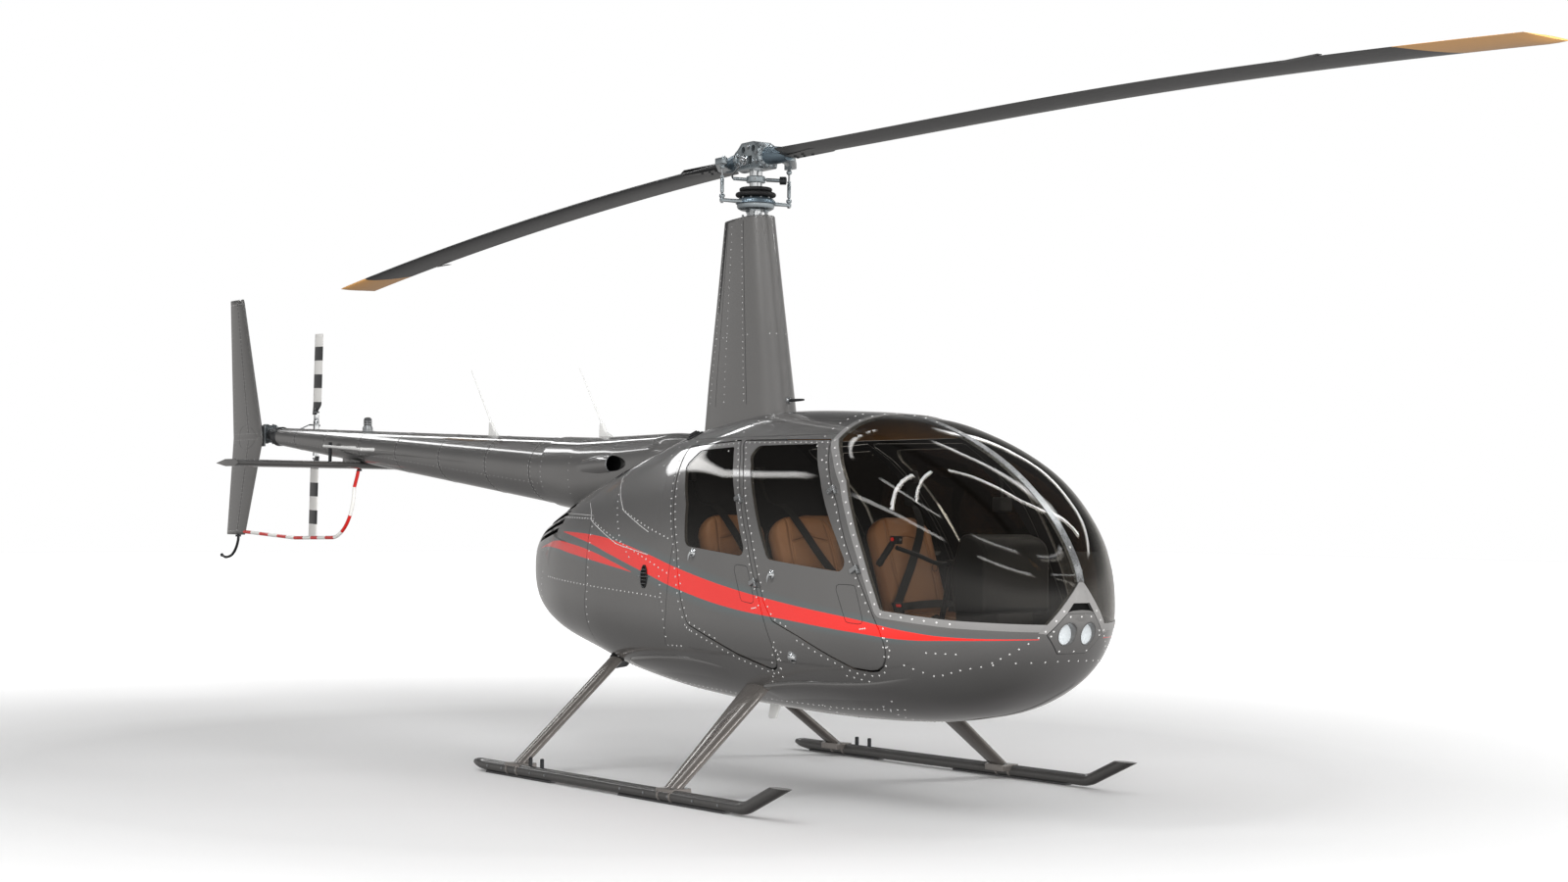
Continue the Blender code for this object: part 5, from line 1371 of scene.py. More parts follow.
class HELI_OT_rotor_head(bpy.types.Operator):
    """Make the hub, its blade grips, the mast, the boots, the swashplates and the pitch links"""
    bl_idname = "helicopter.rotor_head"
    bl_label = "Rotor head"

    def execute(self, context):
        self.hub()
        self.mast()
        self.upper_swashplate()
        self.lower_swashplate()
        return {"FINISHED"}

    def hub(self):
        holes = [rod((-1, y, 3.302), (1, y, 3.302), 0.017, sides=28) for y in (-0.052, 0.040)]
        window = prism(rounded([(-0.040, 3.222, 0.006), (-0.004, 3.222, 0.006), (-0.004, 3.266, 0.006),
                                (-0.040, 3.266, 0.006)]), "X", -1, 1)
        bore = rod((0, 0, 3.1), (0, 0, 3.2203), MAST_RADIUS + 0.002, sides=48)
        block = cut(prism(rounded(HUB_OUTLINE), "X", -0.055, 0.055), *holes, window, bore)
        # A near-black block in the hub's window: painted shade
        core = prism([(-0.060, 3.205), (0.060, 3.205), (0.060, 3.325), (-0.060, 3.325)], "X", -0.030, 0.030)
        parts = [(turned(bevelled(block, 0.003, 2)), "machined"), (turned(core), "dark_void")]
        for x in (-0.055, 0.055):
            away = (math.copysign(1, x), 0, 0)
            parts.append((turned(join(*[bolt((x, y, z), away, size, 0.009) for y, z, size in HUB_BOLTS])),
                          "steel"))
            big = lathe([(0.026, 0), (0.026, 0.006), (0.021, 0.009), (0.021, 0.016), (0.012, 0.020),
                         (0, 0.020)],
                        (x, 0.024, 3.246), away, 32)
            head = bolt((x + away[0] * 0.020, 0.024, 3.246), away, 0.009, 0.008)
            parts.append((turned(join(big, head)), "chrome"))
        flange = lathe([(0.040, -0.088), (0.062, -0.090), (0.066, -0.096), (0.066, -0.116), (0.060, -0.122),
                        (0.050, -0.126)], (0, 0, GRIP_Z), (0, 1, 0), 48)
        ring = bolts([(0.055 * cos(t), -0.120, GRIP_Z + 0.055 * sin(t)) for t in turns(12)], (0, -1, 0),
                     0.0062, 0.009)
        grip = tube([(0, y, GRIP_Z - 0.014 * k / 6) for k, y in enumerate(np.linspace(-0.12, -0.30, 7))],
                    [0.047, 0.046, 0.046, 0.044, 0.041, 0.036, 0.030], 40)
        horn = plate(PITCH_HORN, "Z", 3.214, 3.246, 0.004)
        heads = join(bolt((0.200, 0.000, 3.246), (0, 0, 1), 0.009, 0.008),
                     bolts([(0.075, -0.235, 3.246), (0.135, -0.155, 3.246)], (0, 0, 1), 0.006, 0.006))
        for direction in (-1, 1):
            parts += [(turned(shape, direction), finish) for shape, finish in
                      ((flange, "machined"), (ring, "steel"), (grip, "anodised"), (horn, "machined"),
                       (heads, "steel"))]
        piece("hub_assembly", parts, body="main_rotor", slot="steel", stands_for=["rotor_hub"])

    def mast(self):
        boots = []
        for z, radius, thick in ((3.066, 0.106, 0.012), (3.093, 0.086, 0.011)):
            bulge = [(radius - thick + thick * cos(t), thick * sin(t)) for t in np.linspace(-1.4, 1.4, 9)]
            profile = [(0.045, -thick * 0.9), *bulge, (0.045, thick * 0.95)]
            boots.append(lathe(profile, (0, ROTOR_Y, z), (0, 0, 1), 56))
        mast = rod((0, ROTOR_Y, 2.640), (0, ROTOR_Y, 3.220), MAST_RADIUS - 0.0002, sides=48)
        collar = lathe([(0.036, 3.128), (0.048, 3.130), (0.050, 3.134), (0.050, 3.158), (0.046, 3.163),
                        (0.036, 3.164)], (0, ROTOR_Y, 0), (0, 0, 1), 48)
        arm = join(rod((0.045, -0.030, 3.146), (0.110, -0.078, 3.142), 0.010),
                   rod((-0.045, 0.02, 3.146), (-0.105, 0.055, 3.150), 0.009))
        weight = lathe([(0.012, -0.022), (0.021, -0.020), (0.021, 0.012), (0.014, 0.016)],
                       (0.118, -0.084, 3.142), (0.8, -0.58, 0), 28)
        link = tube(smooth_path([(-0.105, 0.055, 3.150), (-0.128, 0.030, 3.165), (-0.120, -0.030, 3.205)]),
                    0.005, 10)
        screws = [bolt((0.049 * cos(t), ROTOR_Y + 0.049 * sin(t), 3.146), (cos(t), sin(t), 0), 0.006, 0.006)
                  for t in turns(4) + pi / 4]
        parts = [(mast, "chrome"), (join(*boots), "rubber"), (collar, "machined"),
                 (moved(arm, ROTOR_TURN), "machined"), (moved(weight, ROTOR_TURN), "dark_steel"),
                 (moved(link, ROTOR_TURN), "steel"), (join(*screws), "steel")]
        piece("mast_assembly", parts, body="main_rotor", slot="steel", stands_for=["rotor_mast"])

    def upper_swashplate(self):
        ring = lathe([(0.037, 0.0), (0.100, 0.0), (0.105, 0.004), (0.104, 0.014), (0.094, 0.026),
                      (0.072, 0.038), (0.037, 0.040)], (0, ROTOR_Y, SWASH_Z), (0, 0, 1), 64)
        ear = plate(SWASH_EAR, "Z", SWASH_Z + 0.003, SWASH_Z + 0.019)
        foot, head = np.array((LINK_X, LINK_Y, SWASH_Z + 0.020)), np.array((LINK_X, LINK_Y, 3.2137))
        middle = (foot + head) / 2
        sleeve = lathe([(0.0055, -0.062), (0.0085, -0.060), (0.0098, -0.054), (0.0098, 0.010),
                        (0.0082, 0.014), (0.0055, 0.016)], middle, (0, 0, 1), 18)
        nut = lathe([(0.011, 0.018), (0.011, 0.027)], middle, (0, 0, 1), 6)
        ends = [lathe([(0.006, -0.012), (0.0125, -0.008), (0.0125, 0.008), (0.006, 0.012)], place, (0, 1, 0),
                      24)
                for place in (foot + (0, 0, 0.012), head - (0, 0, 0.014))]
        below = bolt((LINK_X, LINK_Y, SWASH_Z + 0.003), (0, 0, -1), 0.009, 0.008)
        parts = [(ring, "anodised")]
        for direction in (-1, 1):
            parts += [(turned(shape, direction), finish) for shape, finish in
                      ((ear, "machined"), (rod(foot, head, 0.0052, sides=14), "steel"),
                       (join(sleeve, nut, *ends), "machined"), (below, "steel"))]
        screws = [bolt((0.082 * cos(t), ROTOR_Y + 0.082 * sin(t), SWASH_Z + 0.031),
                       (0.45 * cos(t), 0.45 * sin(t), 0.9), 0.0055, 0.006) for t in turns(10)]
        parts.append((join(*screws), "steel"))
        piece("swashplate_upper", parts, body="main_rotor", slot="steel", stands_for=["swashplate_rotating"])

    def lower_swashplate(self):
        low = lathe([(0.040, -0.030), (0.080, -0.030), (0.094, -0.022), (0.098, -0.012), (0.098, -0.0008),
                     (0.040, -0.0008)], (0, ROTOR_Y, SWASH_Z), (0, 0, 1), 64)
        parts = [(low, "machined")]
        stems = ((0.0, 0.062), (-0.046, -0.030), (0.046, -0.030))
        for x, y in stems:
            y += ROTOR_Y
            parts.append((rod((x, y, 2.9503), (x, y, SWASH_Z - 0.012), 0.008, sides=18), "steel"))
            parts += [(lathe([(0.013, -0.004), (0.013, 0.004)], (x, y, z), (0, 0, 1), 6), "steel")
                      for z in (2.962, 2.978)]
            end = [(0.008, -0.010), (0.016, -0.007), (0.016, 0.007), (0.008, 0.010)]
            parts.append((lathe(end, (x, y, 2.992), (0, 1, 0), 24), "machined"))
        for t in turns(9) + 0.2:
            x, y = 0.068 * cos(t), 0.068 * sin(t)
            if abs(x) < 0.058 and min(abs(x - stem_x) + abs(y - stem_y) for stem_x, stem_y in stems) > 0.024:
                parts.append((bolt((x, ROTOR_Y + y, 2.9505), (0, 0, 1), 0.0065, 0.014), "steel"))
        piece("swashplate_lower", parts, slot="steel", stands_for=["swashplate_fixed"])


def blade_height(radius, number):
    """Height of a blade's plane, smooth through the stations."""
    fit = np.polyfit(BLADE_STATIONS[:, 0], BLADE_STATIONS[:, 2 + number], 4)
    return np.polyval(fit, radius)


def chord_shares(points):
    """Shares of a chord, closer together at both its ends."""
    return (1 - np.cos(np.linspace(0, pi, points))) / 2


def half_thickness(shares, thickness, last):
    """Half the thickness of a symmetric section at shares of its chord; last closes its tail."""
    return 5 * thickness * (0.2969 * shares ** 0.5 - 0.126 * shares - 0.3516 * shares ** 2
                            + 0.2843 * shares ** 3 - last * shares ** 4)


def blade_section(radius, chord, z, thickness):
    shares = chord_shares(18)
    half = half_thickness(shares, thickness, 0.1015)
    upper = [(BLADE_LEAD - chord * a, -radius, z + b) for a, b in zip(shares, half)]
    lower = [(BLADE_LEAD - chord * a, -radius, z - b * 0.9) for a, b in zip(shares[1:], half[1:])]
    return upper + lower[::-1]


def eased(t):
    """0 to 1 with a soft start and end."""
    return t * t * (3 - 2 * t)


class HELI_OT_blades(bpy.types.Operator):
    """Make the two main rotor blades with their root doublers and trim tabs"""
    bl_idname = "helicopter.blades"
    bl_label = "Main blades"

    def execute(self, context):
        radii = np.concatenate((np.linspace(BLADE_ROOT, BLADE_FULL, 9), np.linspace(0.52, 4.95, 60),
                                (4.99, 5.015, BLADE_END)))
        for number, direction in enumerate((-1, 1)):
            rings = []
            for radius in radii:
                t = min(1.0, (radius - BLADE_ROOT) / (BLADE_FULL - BLADE_ROOT))
                thick = BLADE_THICKNESS * (1.25 - 0.25 * t)
                if radius > 4.96:
                    thick *= 1 - ((radius - 4.96) / 0.08) ** 2
                chord = ROOT_CHORD + (BLADE_CHORD - ROOT_CHORD) * eased(t)
                rings.append(blade_section(radius, chord, blade_height(radius, number), thick))
            parts = [(loft(rings), "blade_skin")]
            for up in (1, -1):
                low = blade_height(0.38, number) + up * 0.0135
                parts.append((plate(DOUBLER, "Z", *sorted((low, low + up * 0.003)), 0.001, 1), "blade_skin"))
                parts.append((bolts([(x, y, low + up * 0.002) for x, y in DOUBLER_BOLTS], (0, 0, up), 0.008,
                                    0.006),
                              "dark_steel"))
            tab_z = blade_height(4.0, number) - 0.002
            tab = box((BLADE_LEAD - BLADE_CHORD - 0.022, -4.10, tab_z - 0.0012),
                      (BLADE_LEAD - 0.250, -3.90, tab_z + 0.0012))
            parts = [(turned(shape, direction), finish) for shape, finish in (*parts, (tab, "blade_skin"))]
            piece(f"rotor_blade_{number + 1}", parts, body="main_rotor", slot="blade_grey",
                  stands_for=[f"main_blade_{number + 1}"])
        return {"FINISHED"}


# Tail

# leading edge, trailing edge, height, thickness: top, root and foot
FIN_STATIONS = ((6.170, 6.390, 2.930, 0.034), (5.820, 6.300, 1.925, 0.062), (6.090, 6.390, 1.226, 0.036))
FIN_X = -0.010
FIN_TIP = 0.985
FIN_ROWS = ((0.30, 0.030), (0.36, 0.030), (0.88, 0.034))
STABILISER_Z, STABILISER_LEAD, STABILISER_CHORD, STABILISER_THICKNESS = 1.706, 4.23, 0.32, 0.046
POST_X, POST_Y = 0.130, 4.520
BAR_X = 0.220
# A bar antenna's foot: distance from the middle, half width, half height
BAR_STATIONS = ((0.070, 0.0195, 0.0150), (0.120, 0.0190, 0.0130), (0.170, 0.0180, 0.0115),
                (0.205, 0.0195, 0.0125), (0.224, 0.0140, 0.0090))
BEACON_Y = 4.240
TAIL_AXIS = np.array((0.440, 5.888, 1.950))
TAIL_TURN = Matrix.Translation(TAIL_AXIS) @ Matrix.Rotation(math.radians(1.7), 4, "X")
CONE_SEAMS = (1.880, 2.420, 3.020, 3.620, 4.160, 4.700, 5.180)
CONE_ROWS = (0.62, 1.95, pi, -1.95, -0.62)
# The cone's fairing: y, half width, middle height, half height
FAIRING_STATIONS = np.array((
    (0.420, 0.150, 1.690, 0.140), (0.600, 0.205, 1.680, 0.160), (1.000, 0.228, 1.630, 0.205),
    (1.400, 0.224, 1.615, 0.216), (1.750, 0.205, 1.640, 0.203),
))
FAIRING_END_Y = 1.752
# The scoops' mouths: y, how far outboard, radius
MOUTH = ((0.780, 0.262, 0.022), (0.970, 0.206, 0.047), (1.060, 0.192, 0.047), (1.180, 0.175, 0.040))
MOUTH_Z = 1.674
SCOOP = ((0.202, 0.970, 1.672), (0.196, 1.08, 1.668), (0.180, 1.25, 1.660), (0.150, 1.480, 1.645))
SCOOP_RADII = (0.052, 0.056, 0.053, 0.040)
RIM_RADIUS = 0.050


def foil_half(shares, thickness):
    """Half the thickness of a fin or tail blade at shares of its chord, with a blunt trailing edge."""
    return half_thickness(shares, thickness, 0.1036) + thickness * 0.03 * shares


def foil(thickness, points=16):
    """Symmetric section: (share of the chord, offset) round the whole outline."""
    shares = chord_shares(points)
    half = foil_half(shares, thickness)
    return list(zip(shares, half)) + list(zip(shares[::-1][:-1], -half[::-1][:-1]))


def on_cone(y, turn, lift=0.0):
    """Place and normal on the tail cone; turn 0 is its top."""
    z, radius = cone_at(y)
    normal = np.array((sin(turn), 0.035, cos(turn)))
    return np.array((0, y, z)) + normal * (1, 0, 1) * (radius + lift), unit(normal)


def cone_ring(y, lift=0.0):
    return zip(*[on_cone(y, t, lift) for t in np.linspace(0, 2 * pi, 73)])


def fairing_point(y, turn):
    """Place on the cone's fairing, which grows squarer aft, and its normal."""
    width, z, height = [np.interp(y, FAIRING_STATIONS[:, 0], FAIRING_STATIONS[:, c]) for c in (1, 2, 3)]
    power = 0.85 + 0.15 * max(0.0, (y - 1.4) / 0.35)
    x, up = [size * math.copysign(abs(part) ** power, part)
             for size, part in ((width, sin(turn)), (height, cos(turn)))]
    return np.array((x, y, z + up)), unit((x / width ** 2, 0, up / height ** 2))


def in_mouth(centre):
    x, radius = [np.interp(centre[1], *np.transpose(MOUTH)[[0, column]]) for column in (1, 2)]
    near = math.hypot(abs(centre[0]) - x, centre[2] - MOUTH_Z) < radius + 0.0015
    return near and MOUTH[0][0] < centre[1] < MOUTH[-1][0] + 0.001


class HELI_OT_tail_cone(bpy.types.Operator):
    """Make the tail cone with its seams and rivets, and the fairing with its two scoops"""
    bl_idname = "helicopter.tail_cone"
    bl_label = "Tail cone"

    def execute(self, context):
        parts = [(cut(cone(), cone(-0.004, 1.05, 5.56)), "plain_paint")]
        rivets = []
        for y in CONE_SEAMS:
            parts.append((ribbon(cone_ring(y), 0.0034, 0.0010), "seal"))
            count = round(2 * pi * cone_at(y)[1] / 0.028)
            rivets += [on_cone(y + offset, t + offset) for offset in (-0.013, 0.013) for t in turns(count)]
        rivets += [on_cone(y, t) for t in CONE_ROWS for y in np.arange(1.80, 5.52, 0.052)]
        z, radius = cone_at(5.55)
        collar = lathe([(radius, -0.040), (radius + 0.006, -0.036), (radius + 0.006, 0.018),
                        (radius - 0.01, 0.028)],
                       (0, 5.55, z), (0, 1, 0), 64)
        parts.append((collar, "dark_steel"))
        piece("tail_cone_skin", parts, stands_for=["tail_cone"], smooth=30)
        piece("tail_cone_rivets", [(domes(zip(*rivets), 0.0028, 0.0014, 6), "rivet")])

        start, end = FAIRING_STATIONS[0, 0], FAIRING_STATIONS[-1, 0]
        shape = loft([[fairing_point(y, t)[0] for t in turns(72)] for y in np.linspace(start, end, 30)])
        steps, rims = [], []
        for sign in SIDES.values():
            shell = tube([(sign * x, y, z) for x, y, z in SCOOP], SCOOP_RADII, 40)
            mouth = tube([(sign * x, y, MOUTH_Z) for y, x, radius in MOUTH],
                         [radius for y, x, radius in MOUTH], 40)
            steps += [("UNION", shell), ("DIFFERENCE", mouth)]
            x, y, z = SCOOP[0]
            rim = [(sign * x + RIM_RADIUS * sin(t), y + 0.001, z + RIM_RADIUS * cos(t))
                   for t in np.linspace(0, 2 * pi, 40)]
            rims.append((tube(rim, 0.0032, 8), "strip"))
        shape = carve(shape, *steps, ("DIFFERENCE", hull(-FIT)), ("DIFFERENCE", cone(FIT)))
        # Faces inside the scoops' mouths are painted near-black as shade
        dark = ["dark_void" if in_mouth(centre) else "plain_paint" for centre in face_normals(*shape)[1]]
        band = ribbon(cone_ring(FAIRING_END_Y, 0.001), 0.014, 0.0016)
        piece("cone_fairing_skin", [(shape, dark), *rims, (band, "plain_paint")],
              stands_for=["tail_cone_fairing"], smooth=32)
        rivets = []
        for y, step in ((1.728, 0.030), (1.40, 0.036), (0.98, 0.036)):
            for t in np.arange(-2.0, 2.01, step / 0.21):
                place, normal = fairing_point(y, t)
                on_scoop = abs(abs(t) - 1.5) < 0.35 and y < 1.1
                if not on_scoop and SKIN.ray_cast(Vector(place), Vector((0, 0, 1)))[0] is None:
                    rivets.append((place, normal))
        piece("fairing_rivets", [(domes(zip(*rivets), 0.0030, 0.0015, 6), "rivet")])
        return {"FINISHED"}


def fin_at(share, end):
    """A fin's leading edge, trailing edge, height and thickness, from its root to its end."""
    return [a + (b - a) * share for a, b in zip(FIN_STATIONS[1], end)]


def fin_point(share, aft, end, side):
    """Place and normal on a fin's side, share of its height from the root and aft by a share of its chord."""
    lead, trail, z, thick = fin_at(share, end)
    shares, halves = zip(*foil(thick)[:16])
    half, next_half = np.interp((aft, aft + 0.02), shares, halves)
    slope = (next_half - half) / (0.02 * (trail - lead))
    return np.array((FIN_X + side * half, lead + aft * (trail - lead), z)), unit((side, -slope, 0.0))


class HELI_OT_fins(bpy.types.Operator):
    """Make the upper and lower fin, with their spars' rivets and the root fairing"""
    bl_idname = "helicopter.fins"
    bl_label = "Fins"

    def execute(self, context):
        shares = np.concatenate((np.linspace(0, FIN_TIP, 24), (0.993, 1.0)))
        for name, end, shift in (("upper", FIN_STATIONS[0], FIT), ("lower", FIN_STATIONS[2], 0.0)):
            rings = []
            for share in shares:
                lead, trail, z, thick = fin_at(share, end)
                thick *= 1 - 0.55 * max(0.0, (share - FIN_TIP) / (1 - FIN_TIP))
                rings.append([(FIN_X + b, lead + (trail - lead) * a, z + shift * (share == 0))
                              for a, b in foil(thick)])
            parts, rivets = [(loft(rings), "plain_paint")], []
            height = abs(end[2] - FIN_STATIONS[1][2])
            for side in SIDES.values():
                rivets += [fin_point(share, aft, end, side) for aft, step in FIN_ROWS
                           for share in np.arange(0.05, FIN_TIP, step / height)]
                rivets += [fin_point(share, aft, end, side) for share in (0.025, 0.965)
                           for aft in np.arange(0.08, 0.95, 0.030 / 0.45)]
                spar = [fin_point(share, 0.33, end, side) for share in np.linspace(0.03, 0.98, 40)]
                oval = [(max(0.085 * sin(t) * 1.005 / height, 0.001), 0.42 + 0.30 * cos(t))
                        for t in np.linspace(0, pi, 28)]
                oval = [fin_point(share, aft, end, side) for share, aft in oval]
                parts += [(ribbon(zip(*spar), 0.0024, 0.0007), "seal"),
                          (ribbon(zip(*oval), 0.0034, 0.0012), "plain_paint")]
            parts.append((domes(zip(*rivets), 0.0026, 0.0013, 6), "rivet"))
            piece(f"{name}_fin_skin", parts, stands_for=[f"fin_{name}"], smooth=50)
        return {"FINISHED"}


class HELI_OT_stabiliser(bpy.types.Operator):
    """Make the stabiliser with its end plates, posts and rivets"""
    bl_idname = "helicopter.stabiliser"
    bl_label = "Stabiliser"

    def execute(self, context):
        z = STABILISER_Z
        rings = []
        for x in (-0.912, -0.90, -0.45, 0.45, 0.90, 0.912):
            scale = 1.0 if abs(x) < 0.905 else 0.9
            rings.append([(x, STABILISER_LEAD + STABILISER_CHORD * a, z + b * scale)
                          for a, b in foil(STABILISER_THICKNESS)])
        parts = [(loft(rings), "plain_paint")]
        leaf = rounded([(4.222, z, 0.0), (4.290, z + 0.030, 0.06), (4.420, z + 0.028, 0.08),
                        (4.558, z + 0.002, 0.0), (4.558, z - 0.002, 0.0), (4.420, z - 0.022, 0.08),
                        (4.290, z - 0.022, 0.06)])
        leaf = [(min(a, 4.56), max(min(b, 1.7309), 1.6815)) for a, b in leaf]
        for sign in SIDES.values():
            end_plate = bevelled(prism(leaf, "X", *span(sign, 0.912, 0.9195)), 0.0015, 2)
            post = tube([(sign * POST_X, POST_Y, z - 0.004), (sign * POST_X, POST_Y, 1.860)], 0.0115, 20)
            foot = lathe([(0.020, 0), (0.020, 0.006), (0.0125, 0.010)], (sign * POST_X, POST_Y, z + 0.014),
                         (0, 0, 1), 24)
            parts += [(end_plate, "plain_paint"), (post, "dark_steel"), (foot, "dark_steel")]
        saddle = prism([(4.27, z), (4.50, z), (4.50, 1.80), (4.27, 1.80)], "X", -0.05, 0.05)
        parts.append((bevelled(saddle, 0.006, 2), "plain_paint"))
        parts = [(cut(shape, cone(FIT)), finish) for shape, finish in parts]
        places, normals = [], []
        for x in np.arange(-0.89, 0.90, 0.034):
            for a in (0.12, 0.36, 0.90):
                under_saddle = abs(x) < 0.07 and 0.1 < a < 0.8
                half = foil_half(a, STABILISER_THICKNESS)
                for up in () if under_saddle else (1, -1):
                    places.append((x, STABILISER_LEAD + STABILISER_CHORD * a, z + up * half))
                    normals.append(np.array((0, 0, up)))
        parts.append((domes((np.array(places), normals), 0.0026, 0.0012, 6), "rivet"))
        piece("stabiliser_skin", parts, stands_for=["stabiliser"], smooth=40)
        return {"FINISHED"}


# Lengths of the guard's red and white bands, from its fore end
GUARD_BANDS = (0.13, 0.21, 0.15, 0.13, 0.11, 0.12, 0.10, 0.13, 0.13, 0.13, 0.14, 0.13, 0.14, 0.14, 0.14, 0.13,
               0.12, 0.12, 0.12, 0.12)
GUARD_SIDES = 20
SKID_BOW = ((6.200, 1.2257), (6.200, 1.190), (6.235, 1.130), (6.300, 1.080), (6.400, 1.060), (6.480, 1.0735))


def guard_path():
    bend = arc((4.760, 1.560), 0.340, math.radians(180), math.radians(262), 28)
    path = [(0, 4.350, STABILISER_Z - 0.0255), (0, 4.362, 1.680), (0, 4.378, 1.640)]
    path += [(0, y, z) for y, z in bend]
    return spaced(path + [(0, 5.300, 1.214), (FIN_X, 6.096, 1.2478)], 0.02)


class HELI_OT_guard(bpy.types.Operator):
    """Make the tail rotor guard with its red and white bands, and the tail skid"""
    bl_idname = "helicopter.guard"
    bl_label = "Guard and tail skid"

    def execute(self, context):
        path = guard_path()
        shape = tube(path, 0.012, GUARD_SIDES)
        lengths, ends = run_lengths(path), np.cumsum(GUARD_BANDS)
        finishes = []
        for face in shape[1]:
            k = min(face) // GUARD_SIDES
            middle = (lengths[k] + lengths[min(k + 1, len(lengths) - 1)]) / 2
            finishes.append("guard_white" if np.searchsorted(ends, middle) % 2 else "guard_red")
        clamp = cut(lathe([(0.0165, -0.012), (0.0165, 0.0)], tuple(path[0]), (0, 0.02, 1), 28),
                    box((-1, 4, STABILISER_Z - 0.0256), (1, 5, 2)))
        piece("guard_tube", [(shape, finishes), (clamp, "dark_steel")], slot="guard_red",
              stands_for=["tail_guard"])
        bow = tube(smooth_path([(FIN_X, y, z) for y, z in SKID_BOW], 0.012), 0.0098, 20)
        ball = lathe([(0.013 * sin(t), -0.013 * cos(t)) for t in np.linspace(0.05, pi - 0.05, 14)],
                     (FIN_X, 6.4765, 1.074), (0, 1, 0), 28)
        foot = lathe([(0.020, -0.014), (0.020, -0.0005)], (FIN_X, *SKID_BOW[0]), (0, 0, 1), 28)
        piece("tail_skid_bow", [(join(bow, ball, foot), "dark_steel")], slot="gear_dark",
              stands_for=["tail_skid"])
        return {"FINISHED"}


TAIL_ROOT, TAIL_FULL, TAIL_END = 0.150, 0.230, 0.737
TAIL_BAND_START, TAIL_BAND = 0.237, 0.1
TAIL_CASE = ((0.058, 0.030), (0.068, 0.034), (0.070, 0.040), (0.070, 0.060), (0.064, 0.066), (0.062, 0.100),
             (0.068, 0.106), (0.068, 0.118), (0.056, 0.134), (0.040, 0.150), (0.032, 0.156), (0.030, 0.285),
             (0.027, 0.300))
TAIL_SHAFT = ((0.0235, -0.1395), (0.024, -0.10), (0.020, -0.06), (0.020, 0.0), (0.024, 0.004), (0.024, 0.024),
              (0.016, 0.030))
TAIL_GRIP = ((0.016, 0.0), (0.018, 0.040), (0.0215, 0.044), (0.0215, 0.100), (0.019, 0.106), (0.019, 0.1496))


